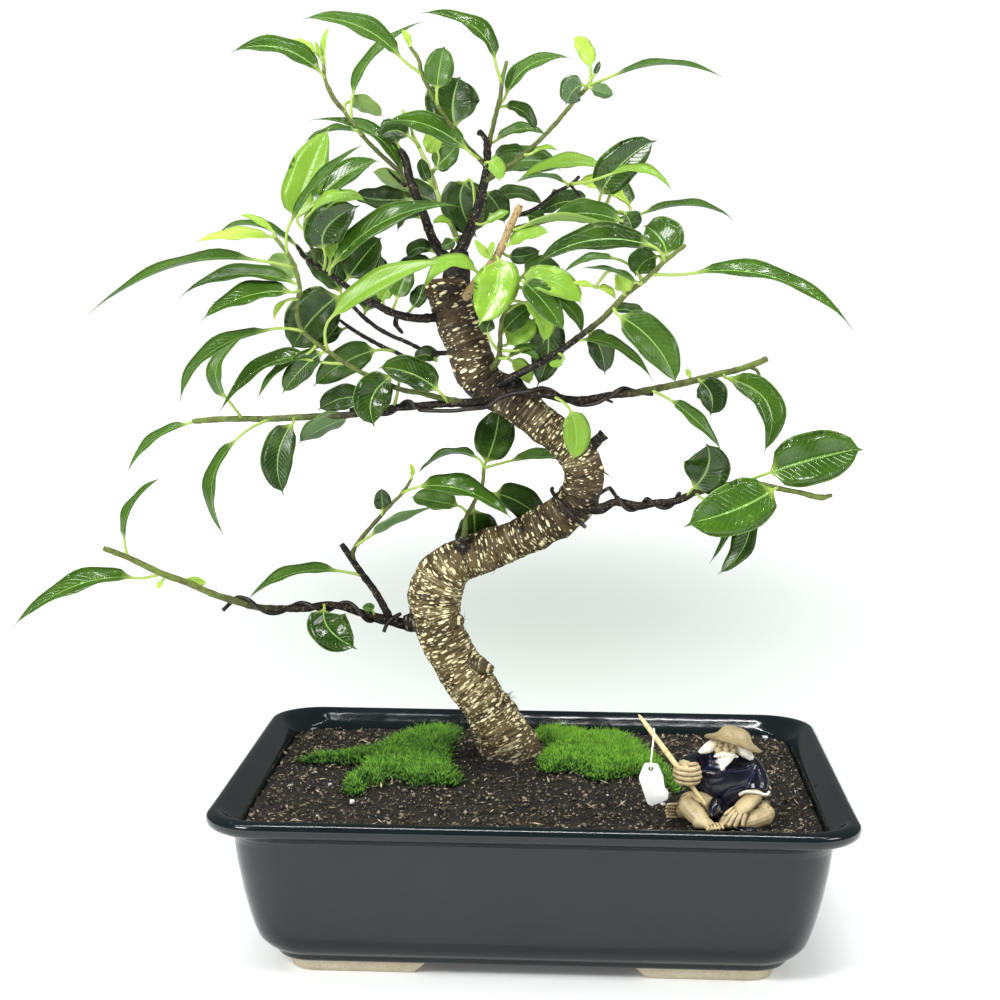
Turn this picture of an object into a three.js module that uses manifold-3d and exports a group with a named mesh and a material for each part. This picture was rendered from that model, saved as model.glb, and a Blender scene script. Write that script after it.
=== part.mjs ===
import * as THREE from 'three';
import { mergeVertices } from 'three/addons/utils/BufferGeometryUtils.js';
import ManifoldModule from 'manifold-3d';

// A ficus bonsai in a low black pot, in millimetres, +Z up and the front towards -Y.
// Everything is set out from a place on the table 2 mm in front of the middle of the pot.

// Pot
const rimHalfLength = 130.7;
const rimHalfWidth = 101.1;
const rimHeight = 68;
const footHeight = 4.8;
const floorTop = 11;
const footThickness = 10;
const drainX = 58;
const potY = 2;
const drainRadius = 9;

// Soil
const soilEdge = 59.5;
const soilMound = 6.5;
const soilMoundReach = 52;

// Running gap between pieces that touch
const gap = 0.3;

// Trunk foot
const trunkX = -13;
const trunkY = 26;

// Wire wound round the limbs, and how far it stands off the bark
const wireRadius = 0.8;
const wireStandOff = 0.38;

// Leaf blades
const ribThickness = 1.5;
const petioleWidth = 1.5;
const ribShare = 0.65;

// Places on the tree are given as x and z in one upright plane through the trunk.
// From there each is carried along the line of sight of the front view to its own depth.
const sightPlane = 24;
const sightPoint = new THREE.Vector3(18.8, -812.5, 284.7);

function sightScale(depth) {
  return (depth - sightPoint.y) / (sightPlane - sightPoint.y);
}

function seen(x, z, depth) {
  const scale = sightScale(depth);
  const px = sightPoint.x + (x - sightPoint.x) * scale;
  const pz = sightPoint.z + (z - sightPoint.z) * scale;
  return new THREE.Vector3(px, depth, pz);
}

const wasm = await ManifoldModule();
wasm.setup();

// A solid from rings of points, each joined to the next, with both ends closed by fans.
function skin(rings, looped = false) {
  const count = rings[0].length;
  const position = [];
  for (const ring of rings) {
    for (const point of ring) {
      position.push(point.x, point.y, point.z);
    }
  }
  const index = [];
  const last = looped ? rings.length : rings.length - 1;
  for (let i = 0; i < last; i += 1) {
    const a = i * count;
    const b = ((i + 1) % rings.length) * count;
    for (let j = 0; j < count; j += 1) {
      const k = (j + 1) % count;
      index.push(a + j, a + k, b + k);
      index.push(a + j, b + k, b + j);
    }
  }
  if (!looped) {
    const end = (rings.length - 1) * count;
    for (let j = 1; j < count - 1; j += 1) {
      index.push(0, j + 1, j);
      index.push(end, end + j, end + j + 1);
    }
  }
  const geometry = new THREE.BufferGeometry();
  geometry.setAttribute('position', new THREE.Float32BufferAttribute(position, 3));
  geometry.setIndex(index);
  return solid(geometry);
}

function signedVolume(position, index) {
  const a = new THREE.Vector3();
  const b = new THREE.Vector3();
  const c = new THREE.Vector3();
  let sum = 0;
  for (let i = 0; i < index.count; i += 3) {
    a.fromBufferAttribute(position, index.getX(i));
    b.fromBufferAttribute(position, index.getX(i + 1));
    c.fromBufferAttribute(position, index.getX(i + 2));
    sum += a.dot(b.cross(c));
  }
  return sum;
}

// A closed geometry as a solid that can be joined and cut, with its faces outward.
function solid(source) {
  let geometry = source.clone();
  geometry.deleteAttribute('normal');
  geometry.deleteAttribute('uv');
  geometry = mergeVertices(geometry, 1e-5);
  const position = geometry.getAttribute('position');
  const index = geometry.getIndex();
  const order = Uint32Array.from(index.array);
  if (signedVolume(position, index) < 0) {
    for (let i = 0; i < order.length; i += 3) {
      const keep = order[i + 1];
      order[i + 1] = order[i + 2];
      order[i + 2] = keep;
    }
  }
  const shape = new wasm.Mesh({
    numProp: 3,
    vertProperties: Float32Array.from(position.array),
    triVerts: order,
  });
  return new wasm.Manifold(shape);
}

function join(solids) {
  let sum = solids[0];
  for (const next of solids.slice(1)) {
    sum = sum.add(next);
  }
  return sum;
}

const group = new THREE.Group();
const nodes = {};

function addNode(name, shape, color, roughness, metalness = 0) {
  const parts = shape.decompose();
  parts.sort((a, b) => b.volume() - a.volume());
  const out = parts[0].getMesh();
  const geometry = new THREE.BufferGeometry();
  geometry.setAttribute('position', new THREE.BufferAttribute(out.vertProperties, 3));
  geometry.setIndex(new THREE.BufferAttribute(out.triVerts, 1));
  geometry.computeVertexNormals();
  const material = new THREE.MeshStandardMaterial({ color, roughness, metalness });
  const mesh = new THREE.Mesh(geometry, material);
  mesh.name = name;
  group.add(mesh);
  nodes[name] = parts[0];
}

// Directions square to a path at each of its points, carried along it without twist.
function frames(points) {
  const result = [];
  let side = null;
  for (let i = 0; i < points.length; i += 1) {
    const before = points[Math.max(i - 1, 0)];
    const after = points[Math.min(i + 1, points.length - 1)];
    const along = after.clone().sub(before).normalize();
    if (!side) {
      side = new THREE.Vector3(0, 1, 0);
      if (Math.abs(along.y) > 0.9) {
        side = new THREE.Vector3(1, 0, 0);
      }
    }
    side = side.clone().addScaledVector(along, -side.dot(along)).normalize();
    result.push({ along, side, up: along.clone().cross(side) });
  }
  return result;
}

// A round stem along points with a radius at each; ripple makes it knobbly.
function stem(points, radii, sides, ripple = 0) {
  const around = frames(points);
  const rings = points.map((point, i) => {
    const ring = [];
    for (let j = 0; j < sides; j += 1) {
      const angle = (2 * Math.PI * j) / sides;
      const wave = Math.sin(3 * angle + 0.9 * i) + Math.sin(5 * angle - 1.7 * i);
      const radius = radii[i] * (1 + ripple * wave);
      const spot = point.clone();
      spot.addScaledVector(around[i].side, radius * Math.cos(angle));
      spot.addScaledVector(around[i].up, radius * Math.sin(angle));
      ring.push(spot);
    }
    return ring;
  });
  return skin(rings);
}

// A stem from rows of x, z, depth, radius in the sight plane.
function seenStem(rows, sides, ripple = 0) {
  const points = rows.map(([x, z, depth]) => seen(x, z, depth));
  const radii = rows.map((row) => row[3] * sightScale(row[2]));
  return stem(points, radii, sides, ripple);
}

function quadratic(a, b, c, t) {
  const point = a.clone().multiplyScalar((1 - t) * (1 - t));
  point.addScaledVector(b, 2 * t * (1 - t));
  point.addScaledVector(c, t * t);
  return point;
}

// How wide a blade is along its length, as shares of its length and of its full width.
const narrowShape = [
  [0, 0.12],
  [0.18, 0.76],
  [0.45, 1],
  [0.77, 0.68],
  [1, 0.04],
];
const roundShape = [
  [0, 0.14],
  [0.13, 0.72],
  [0.45, 1],
  [0.81, 0.76],
  [1, 0.06],
];
const smallBladeShape = [
  [0, 0.12],
  [0.42, 1],
  [1, 0.06],
];
const smallBlade = 16;
const roundFrom = 0.36;
const mostSag = 0.16;
const longStalk = 7;

// One leaf: a thin stalk from its root in the stem, then a pointed blade folded along its rib.
// Turn is how far the blade is rolled from facing the front view, in degrees.
function leaf(root, row) {
  const [, , baseX, baseZ, midX, midZ, tipX, tipZ, width, turn, nearBase, nearTip] = row;
  const base = seen(baseX, baseZ, root.depth + nearBase);
  const tip = seen(tipX, tipZ, root.depth + nearTip);
  const middle = seen(midX, midZ, root.depth + 0.5 * (nearBase + nearTip));
  const wide = width * sightScale(root.depth + nearBase);
  const length = base.distanceTo(tip);
  const chord = base.clone().lerp(tip, 0.5);
  const sag = middle.distanceTo(chord);
  middle.lerp(chord, 1 - Math.min(1, (mostSag * length * length) / (wide * sag)));
  const bend = middle.clone().multiplyScalar(2);
  bend.addScaledVector(base, -0.5).addScaledVector(tip, -0.5);
  let shape = wide / length > roundFrom ? roundShape : narrowShape;
  if (length < smallBlade) {
    shape = smallBladeShape;
  }
  const stalk = root.point.distanceTo(base);
  const leave = base.clone().sub(bend).normalize();
  const turnIn = base.clone().addScaledVector(leave, 0.45 * stalk);
  const line = [{ point: root.point, half: petioleWidth / 2, thick: petioleWidth }];
  if (stalk > longStalk) {
    const half = quadratic(root.point, turnIn, base, 0.55);
    line.push({ point: half, half: petioleWidth / 2, thick: petioleWidth });
  }
  for (const [share, part] of shape) {
    const half = Math.max((wide * part) / 2, share < 0.5 ? petioleWidth / 2 : 0.35);
    const thick = share === 1 ? 0.7 : ribThickness;
    line.push({ point: quadratic(base, bend, tip, share), half, thick });
  }
  const roll = THREE.MathUtils.degToRad(turn);
  const sight = middle.clone().sub(sightPoint).normalize();
  const run = tip.clone().sub(base);
  const across = run.clone().cross(sight).normalize();
  const sign = across.z < 0 ? -1 : 1;
  const rings = line.map((spot, i) => {
    const before = line[Math.max(i - 1, 0)].point;
    const after = line[Math.min(i + 1, line.length - 1)].point;
    const along = after.clone().sub(before).normalize();
    const up = along.clone().cross(sight).normalize().multiplyScalar(sign);
    const front = up.clone().cross(along).normalize();
    if (front.dot(sight) > 0) {
      front.negate();
    }
    const normal = front.multiplyScalar(Math.cos(roll)).addScaledVector(up, Math.sin(roll));
    const side = normal.clone().cross(along).normalize();
    const right = spot.point.clone().addScaledVector(side, spot.half);
    const left = spot.point.clone().addScaledVector(side, -spot.half);
    const under = spot.point.clone().addScaledVector(normal, -ribShare * spot.thick);
    right.addScaledVector(normal, (1 - ribShare) * spot.thick);
    left.addScaledVector(normal, (1 - ribShare) * spot.thick);
    return [under, right, left];
  });
  return skin(rings);
}

// The place on the given stems that lies nearest to x, z in the sight plane.
function nearestOn(stems, x, z) {
  let best = null;
  for (const rows of stems) {
    for (let i = 0; i + 1 < rows.length; i += 1) {
      const [ax, az, ad] = rows[i];
      const [bx, bz, bd] = rows[i + 1];
      const dx = bx - ax;
      const dz = bz - az;
      const share = THREE.MathUtils.clamp(
        ((x - ax) * dx + (z - az) * dz) / (dx * dx + dz * dz), 0, 1);
      const nx = ax + share * dx;
      const nz = az + share * dz;
      const away = Math.hypot(x - nx, z - nz);
      if (!best || away < best.away) {
        const depth = ad + share * (bd - ad);
        best = { away, depth, point: seen(nx, nz, depth) };
      }
    }
  }
  return best;
}

// Stout limbs have more sides than thin shoots.
function limbSides(rows) {
  const stout = Math.max(...rows.map((row) => row[3]));
  if (stout > 1.6) {
    return 6;
  }
  return stout > 1.15 ? 5 : 4;
}

// A limb with its twigs and leaves grown together, cut back to stand clear of the trunk.
function addLimb(name, stems, leaves, color) {
  const solids = stems.map((rows) => seenStem(rows, limbSides(rows)));
  for (const row of leaves) {
    solids.push(leaf(nearestOn(stems, row[0], row[1]), row));
  }
  addNode(name, join(solids).subtract(trunkRoom), color, 0.5);
}

// Pot: rows of half length, half width, corner radius, height, up the outside and down the inside.
const potProfile = [
  [101, 77.5, 13, footHeight],
  [103.8, 80.2, 14.6, footHeight + 0.8],
  [104.4, 80.8, 15, 8],
  [106.8, 82.4, 16, 8.9],
  [111.6, 85.4, 18, 13.5],
  [115, 87.5, 19, 24],
  [119.6, 90.4, 20, 46],
  [120.9, 91.3, 20, 57],
  [126.6, 97, 21.6, 60.4],
  [129.6, 100, 22.6, 62],
  [rimHalfLength, rimHalfWidth, 23, 64.6],
  [129.8, 100.2, 22.4, 67],
  [127.4, 97.8, 21.4, rimHeight],
  [125.4, 95.8, 20.6, 67.2],
  [118.8, 89.2, 17.2, 60.8],
  [118, 88.4, 16.6, 58.8],
  [116.2, 86.6, 15.6, 52],
  [110.6, 81.4, 14, 22],
  [104.2, 75.2, 12, floorTop],
];

// A rectangle with rounded corners as a ring of points.
const cornerSteps = 4;
function roundedRing(halfLength, halfWidth, radius, z) {
  const ring = [];
  for (let corner = 0; corner < 4; corner += 1) {
    const cx = (corner === 0 || corner === 3 ? 1 : -1) * (halfLength - radius);
    const cy = (corner < 2 ? 1 : -1) * (halfWidth - radius);
    for (let step = 0; step <= cornerSteps; step += 1) {
      const angle = (Math.PI / 2) * (corner + step / cornerSteps);
      const x = cx + radius * Math.cos(angle);
      const y = potY + cy + radius * Math.sin(angle);
      ring.push(new THREE.Vector3(x, y, z));
    }
  }
  return ring;
}

// Feet: one round each corner, slanted where it meets the gap along each side.
const footRadius = 10;
const footSlant = 2.4;
function foot(sx, sy) {
  const ring = (inset, slant, z) => {
    const x0 = sx * (44.6 + slant);
    const x1 = sx * (99.8 - inset);
    const y0 = potY + sy * (38 + slant);
    const y1 = potY + sy * (78.6 - inset);
    const xc = x1 - sx * footRadius;
    const yc = y1 - sy * footRadius;
    const points = [new THREE.Vector3(x0, y1, z)];
    for (let step = 0; step <= 4; step += 1) {
      const angle = (Math.PI / 2) * (1 - step / 4);
      const px = xc + sx * footRadius * Math.cos(angle);
      const py = yc + sy * footRadius * Math.sin(angle);
      points.push(new THREE.Vector3(px, py, z));
    }
    points.push(new THREE.Vector3(x1, y0, z));
    points.push(new THREE.Vector3(x1 - sx * footThickness, y0, z));
    points.push(new THREE.Vector3(x1 - sx * footThickness, y1 - sy * footThickness, z));
    points.push(new THREE.Vector3(x0, y1 - sy * footThickness, z));
    return points;
  };
  const low = ring(2.4, footSlant, 0);
  const high = ring(-0.6, -footSlant - 1, footHeight + 1.2);
  const position = [...low, ...high].flatMap((point) => [point.x, point.y, point.z]);
  const flat = low.map((point) => new THREE.Vector2(point.x, point.y));
  const handed = THREE.ShapeUtils.area(flat) > 0 ? 1 : -1;
  const count = low.length;
  const index = [];
  for (const [a, b, c] of THREE.ShapeUtils.triangulateShape(flat, [])) {
    const same = THREE.ShapeUtils.area([flat[a], flat[b], flat[c]]) * handed > 0;
    const [p, q] = same ? [b, c] : [c, b];
    index.push(a, q, p);
    index.push(count + a, count + p, count + q);
  }
  for (let j = 0; j < count; j += 1) {
    const k = (j + 1) % count;
    index.push(j, k, count + k);
    index.push(j, count + k, count + j);
  }
  const geometry = new THREE.BufferGeometry();
  geometry.setAttribute('position', new THREE.Float32BufferAttribute(position, 3));
  geometry.setIndex(index);
  return solid(geometry);
}

function drain(x, radius, low, high) {
  const geometry = new THREE.CylinderGeometry(radius, radius, high - low, 20);
  geometry.rotateX(Math.PI / 2);
  geometry.translate(x, potY, (low + high) / 2);
  return solid(geometry);
}

let pot = skin(potProfile.map(([a, b, r, z]) => roundedRing(a, b, r, z)));
pot = join([pot, foot(1, 1), foot(-1, 1), foot(1, -1), foot(-1, -1)]);
pot = pot.subtract(drain(-drainX, drainRadius, -1, floorTop + 1));
pot = pot.subtract(drain(drainX, drainRadius, -1, floorTop + 1));
addNode('pot', pot, 0x23282a, 0.25);

// Plastic screens that lie over the drain holes and keep the soil in: bars both ways.
function screen(x) {
  const size = 26;
  const bars = [];
  for (let k = -1.5; k <= 1.5; k += 1) {
    const one = new THREE.BoxGeometry(1.8, size, 0.8);
    one.translate(x + k * 6, potY, floorTop + gap + 0.4);
    const two = new THREE.BoxGeometry(size, 1.8, 0.8);
    two.translate(x, potY + k * 6, floorTop + gap + 0.6);
    bars.push(solid(one), solid(two));
  }
  return join(bars);
}
addNode('drain_screen_left', screen(-drainX), 0x2c2f2c, 0.6);
addNode('drain_screen_right', screen(drainX), 0x2c2f2c, 0.6);

// Soil fills the pot to below the rim and rises towards the trunk.
function soilHeight(x, y) {
  const away = (x - trunkX) ** 2 + (y - trunkY) ** 2;
  return soilEdge + soilMound * Math.exp(-away / soilMoundReach ** 2);
}
const soilFloor = floorTop + gap + 1.3;
const soilRings = [
  roundedRing(104.6 - gap, 75.6 - gap, 12, soilFloor),
  roundedRing(110.3 - gap, 81.1 - gap, 13.8, 22),
  roundedRing(115.8 - gap, 86.2 - gap, 15.4, 52),
  roundedRing(117.5 - gap, 87.9 - gap, 16.3, soilEdge - 0.6),
];
for (const share of [1, 0.86, 0.7, 0.54, 0.38, 0.22, 0.08]) {
  const ring = roundedRing((117.1 - gap) * share, (87.5 - gap) * share, 16 * share, 0);
  for (const point of ring) {
    point.x += trunkX * (1 - share);
    point.y += (trunkY - potY) * (1 - share);
    point.z = soilHeight(point.x, point.y);
  }
  soilRings.push(ring);
}

// Trunk: rows of x, z, depth, radius from the roots to the sawn top.
const trunkRows = [
  [-8, 36, 26, 9],
  [-9, 50, 26, 12.5],
  [-10.5, 59, 26, 15.2],
  [-12.5, 66, 26, 14.6],
  [-15.5, 73, 26, 12.8],
  [-19, 80, 26, 11.4],
  [-25.5, 90.5, 26, 10.5],
  [-33.2, 101, 27, 10.5],
  [-40, 113, 28, 10.6],
  [-44, 121.4, 28, 10.8],
  [-46.6, 129.5, 29, 11.4],
  [-46.8, 138, 29, 11.9],
  [-44, 146.5, 29, 11.2],
  [-38, 152.6, 28, 9.8],
  [-29.9, 156, 28, 9],
  [-19.7, 159.8, 27, 8.8],
  [-9.5, 164.2, 26, 8.6],
  [0.7, 169.4, 24, 8.8],
  [10.8, 175.6, 22, 9.2],
  [17, 183.2, 20, 9],
  [18.9, 192.4, 19, 8.7],
  [16.6, 201, 19, 8.6],
  [9.6, 208.4, 20, 8],
  [2, 214.2, 21, 8.1],
  [-4.9, 220, 22, 8.1],
  [-14, 226.4, 23, 8.4],
  [-23, 231.4, 24, 9],
  [-29.4, 239, 24, 9.5],
  [-33.2, 251, 24, 9.4],
  [-38.6, 264.8, 25, 9.8],
  [-41.6, 273.6, 25, 9.6],
  [-42.2, 279, 25, 8.8],
];
// Leader stump, pruning stubs and knots: rows like the trunk's.
const trunkStubs = [
  [[-38, 268, 25, 6], [-38, 278, 25, 6.2], [-37.2, 286, 25, 5.2], [-36.4, 291, 25, 3.8]],
  [[17, 200, 19, 5], [21.5, 205, 18, 3.1], [25, 208.4, 17, 2.4], [27.8, 211.2, 17, 2.6]],
  [[-48, 127, 28, 7], [-56, 125.6, 27, 4.8], [-60.5, 124.6, 26.5, 3.4]],
  [[-34.4, 155, 26, 6], [-34.2, 162, 22, 3.6], [-34, 165, 21, 2.2]],
  [[-30, 107, 24, 6], [-23, 105, 20, 2.8], [-20.6, 104.6, 19, 1.6]],
  [[-24, 94, 24, 6], [-15.4, 91.4, 20, 2.6], [-13.6, 91.6, 19, 1.4]],
  [[-42, 126, 26, 7], [-36, 126.4, 21, 3], [-34.4, 126.4, 20, 1.6]],
  [[-24, 156, 25, 6], [-21.5, 151.6, 21, 2.8], [-20.6, 149.8, 20, 1.6]],
  [[-16, 226, 22, 6], [-12, 232.2, 17, 4.2], [-10.4, 233.6, 15, 2.8]],
];
const trunkSides = 12;
const trunkLump = join([
  seenStem(trunkRows, trunkSides, 0.022),
  ...trunkStubs.map((rows) => seenStem(rows, 7, 0.04)),
]);
const grown = (rows) => rows.map(([x, z, depth, radius]) => [x, z, depth, radius + gap]);
const trunkRoom = join([
  seenStem(grown(trunkRows), trunkSides, 0.022),
  ...trunkStubs.map((rows) => seenStem(grown(rows), 7, 0.04)),
]);
addNode('soil', skin(soilRings).subtract(trunkRoom), 0x2a221c, 0.95);
addNode('trunk', trunkLump, 0x7a6248, 0.85);

// Moss cushions on the soil: an outline of x, y and a tufted top.
function moss(outline, high) {
  const shape = new THREE.CatmullRomCurve3(
    outline.map(([x, y]) => new THREE.Vector3(x, y, 0)), true, 'centripetal');
  const edge = shape.getPoints(Math.round(outline.length * 1.6)).slice(0, -1);
  const centre = new THREE.Vector3();
  for (const point of edge) {
    centre.addScaledVector(point, 1 / edge.length);
  }
  const rings = [];
  const low = edge.map((point) => {
    return new THREE.Vector3(point.x, point.y, soilHeight(point.x, point.y) + gap);
  });
  const inner = low.map((point) => {
    const spot = point.clone().lerp(centre, 0.4);
    spot.z = soilHeight(spot.x, spot.y) + gap;
    return spot;
  });
  const core = low.map((point) => {
    const spot = point.clone().lerp(centre, 0.75);
    spot.z = soilHeight(spot.x, spot.y) + gap;
    return spot;
  });
  rings.push(core, inner, low);
  const steps = [[0.02, 0.55], [0.12, 0.9], [0.35, 1], [0.6, 1], [0.85, 1]];
  for (const [share, rise] of steps) {
    rings.push(edge.map((point, j) => {
      const spot = point.clone().lerp(centre, share);
      const tuft = 0.8 * Math.sin(0.9 * spot.x + 1.3 * j) + 0.7 * Math.sin(0.7 * spot.y + 2 * share * j);
      spot.z = soilHeight(spot.x, spot.y) + gap + Math.max(high * rise + tuft, 1);
      return spot;
    }));
  }
  return skin(rings);
}
const mossLeft = [
  [-106, 25], [-93, 34], [-79, 40], [-70, 60], [-59, 79], [-46, 84], [-40, 78],
  [-39, 40], [-38, 9], [-33, -10], [-38, -19], [-52, -18], [-63, -8], [-75, -29],
  [-82, -18], [-82, 2], [-80, 16],
];
const mossRight = [
  [-1, 60], [3, 82], [12, 84], [24, 78], [36, 79], [46, 64], [54, 40], [60, 12],
  [62, -10], [54, -3], [40, 4], [26, -4], [6, -2], [0, 16], [4, 40],
];
addNode('moss_left', moss(mossLeft, 4.2).subtract(trunkRoom), 0x3f8f1f, 0.9);
addNode('moss_right', moss(mossRight, 4.6).subtract(trunkRoom), 0x3f8f1f, 0.9);

// Limbs. A stem has rows of x, z, depth, radius in the sight plane. A leaf has one row:
// root x, z; blade base x, z; middle x, z; tip x, z; width, turn, depth of base and of tip
// from the root's own depth. Each leaf grows out of the stem nearest to its root.

const lowerLeftStems = [
  [
    [-46, 127, 29, 2.6], [-58, 124.6, 27, 2.5], [-67, 126, 25, 1.8], [-73, 127.6, 24, 1.5],
    [-81, 129.6, 22, 1.4], [-89, 132.2, 21, 1.35], [-97, 132.6, 20, 1.3], [-105, 131, 19, 1.3],
    [-115, 130.7, 18, 1.25], [-126, 131, 16, 1.2], [-137, 133.9, 14, 1.2], [-146, 136.5, 13, 1.15],
    [-158, 141.6, 12, 1.1], [-170, 145.8, 10, 1.1], [-185.6, 153, 8, 1], [-196.5, 157, 6, 0.9],
  ],
  [[-66.5, 126, 25, 1.9], [-73, 138, 23, 1.7], [-80.3, 148, 21, 1.6], [-88.7, 160.4, 19, 1.5]],
  [
    [-83.6, 153, 20, 1.2], [-82.8, 159, 19, 1], [-73.2, 171, 16, 0.95], [-66.9, 178.3, 14, 0.9],
    [-61.3, 184, 13, 0.85], [-57.4, 190.4, 12, 0.8],
  ],
];
const lowerLeftLeaves = [
  [-170, 145.8, -183, 143.6, -211, 139, -239.8, 119.9, 15, 55, -2, -9],
  [-185, 153, -186.9, 161, -183, 177, -168.9, 190.2, 10, 74, 1, 4],
  [-161, 143, -160, 141.8, -155, 142, -149.5, 141.8, 5, 20, 2, 4],
  [-168, 145, -170, 142.4, -171, 140.6, -171.6, 138.6, 3, 30, -1, -2],
  [-79, 146, -90, 148.2, -113, 146, -131.5, 134.6, 12, 64, -3, -12],
  [-97, 132.6, -96.8, 130.5, -98.5, 120.6, -81.6, 112.7, 19, 14, -5, -12],
  [-74.2, 128.2, -75, 130.6, -76.6, 131.6, -79.8, 131.8, 4.8, 10, -3, -5],
  [-70.6, 174, -70.4, 176, -70.6, 180.6, -71, 186.2, 8, 12, -1, -3],
  [-82.4, 160, -75.6, 164.4, -62, 172, -46.8, 178.2, 8, 128, -3, -5],
  [-61.6, 183.6, -54, 186.6, -33, 185, -12, 172.6, 16, 50, -3, -10],
  [-57.4, 190, -57.4, 191.4, -57.2, 194, -58.2, 197.6, 2.6, 30, -0.5, -1],
];

const trunkShootStems = [
  [
    [-34, 158, 26, 1.6], [-34, 164, 21, 1.5], [-33.5, 168.5, 19, 1.2], [-33.2, 173, 18.5, 1],
    [-30.1, 179, 18, 0.95], [-26.1, 187, 18, 0.95], [-25.3, 196, 18, 0.9],
  ],
];
const trunkShootLeaves = [
  [-25.4, 195.4, -28.4, 200, -42, 201.6, -55.5, 192, 12, 80, 1, 6],
  [-25.4, 195.4, -14, 198.6, 10, 200, 33.4, 191.2, 12, 70, 6, 24],
  [-25.3, 195.8, -24.4, 198, -20.4, 209.5, -18.4, 223, 18, 10, 7, 24],
  [-32.8, 174.8, -36.9, 178.4, -47.5, 180.4, -58.1, 182.2, 12, 38, 2, 7],
  [-29.6, 180, -29.6, 176.6, -29, 166, -28, 152, 20, 14, 12, 25],
  [-27, 185.4, -20, 184, -8, 179.4, 6, 169, 15, 20, 10, 25],
];

const lowerRightStems = [
  [
    [16, 179, 19, 2.4], [26, 177.8, 12.5, 2.1], [32.3, 180.8, 10, 1.5], [37.4, 180.5, 9, 1.4],
    [44, 179.4, 7, 1.35], [50, 180.6, 5, 1.3], [57.5, 181.4, 3, 1.3], [63.4, 183.2, 1, 1.3],
    [67.8, 185.6, 0, 1.25], [72.2, 186.8, -1, 1.2], [80, 188.5, -4, 1.1], [87.4, 190, -6, 1],
    [94, 190.2, -8, 0.9], [104.8, 188, -11, 0.8], [112.8, 186.5, -13, 0.75], [120, 184.8, -14, 0.9],
    [124, 184.2, -15, 0.9], [128.4, 185.4, -16, 0.4],
  ],
];
const lowerRightLeaves = [
  [88, 190, 101, 195, 121.4, 201.6, 141.8, 206.4, 24, 12, -2, -9],
  [104.6, 188, 102.6, 187.4, 85.5, 178, 63.6, 171.6, 24, 16, -3, -13],
  [64.6, 183.8, 67.5, 187.8, 76.2, 197.4, 72.6, 208, 21, 8, -3, -9],
  [68.5, 185.8, 73, 182.8, 76.6, 181.2, 78.7, 177, 4, 40, -4, -6],
  [84.4, 189.4, 84, 181, 82.6, 167, 75, 154.6, 7, 50, 7, 9],
  [94, 190.2, 93, 181, 90.4, 162, 78.5, 149.3, 13, 35, 7, 8],
  [78, 188.2, 79, 187, 81, 185.4, 84, 182.4, 2.5, 30, -2, -3],
];

const middleLeftStems = [
  [
    [-20, 228, 22, 2], [-27.3, 224.6, 15, 1.7], [-34, 224.2, 14, 1.6], [-41, 223.8, 15, 1.4],
    [-48.8, 223.2, 16, 1.3], [-57.7, 222.3, 17, 1.3], [-69, 221.2, 19, 1.25], [-84.6, 218.4, 21, 1.2],
    [-93.5, 217.9, 23, 1.15], [-108.4, 216.9, 25, 1.1], [-121.3, 216.1, 27, 1.05], [-133, 216, 29, 1],
    [-144.3, 215.6, 31, 1], [-155, 214.6, 33, 0.9],
  ],
  [
    [-34, 224.4, 14, 1.5], [-41, 225.6, 13, 1.3], [-48.8, 227.2, 13, 1.3], [-54.7, 228.6, 12, 1.2],
    [-63, 230, 12, 1.2], [-72.6, 234.4, 11, 1.1], [-79.8, 237.2, 10, 1.1], [-86.9, 241.1, 9, 1.1],
    [-93.5, 245.7, 9, 1.1], [-99.5, 249.6, 8, 1], [-105.4, 254.8, 8, 1], [-108.2, 261, 7, 1],
    [-108, 268, 6, 1], [-107, 275, 5, 1], [-110.5, 286, 3, 0.95], [-118.4, 297, 1, 0.85],
  ],
];
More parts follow.
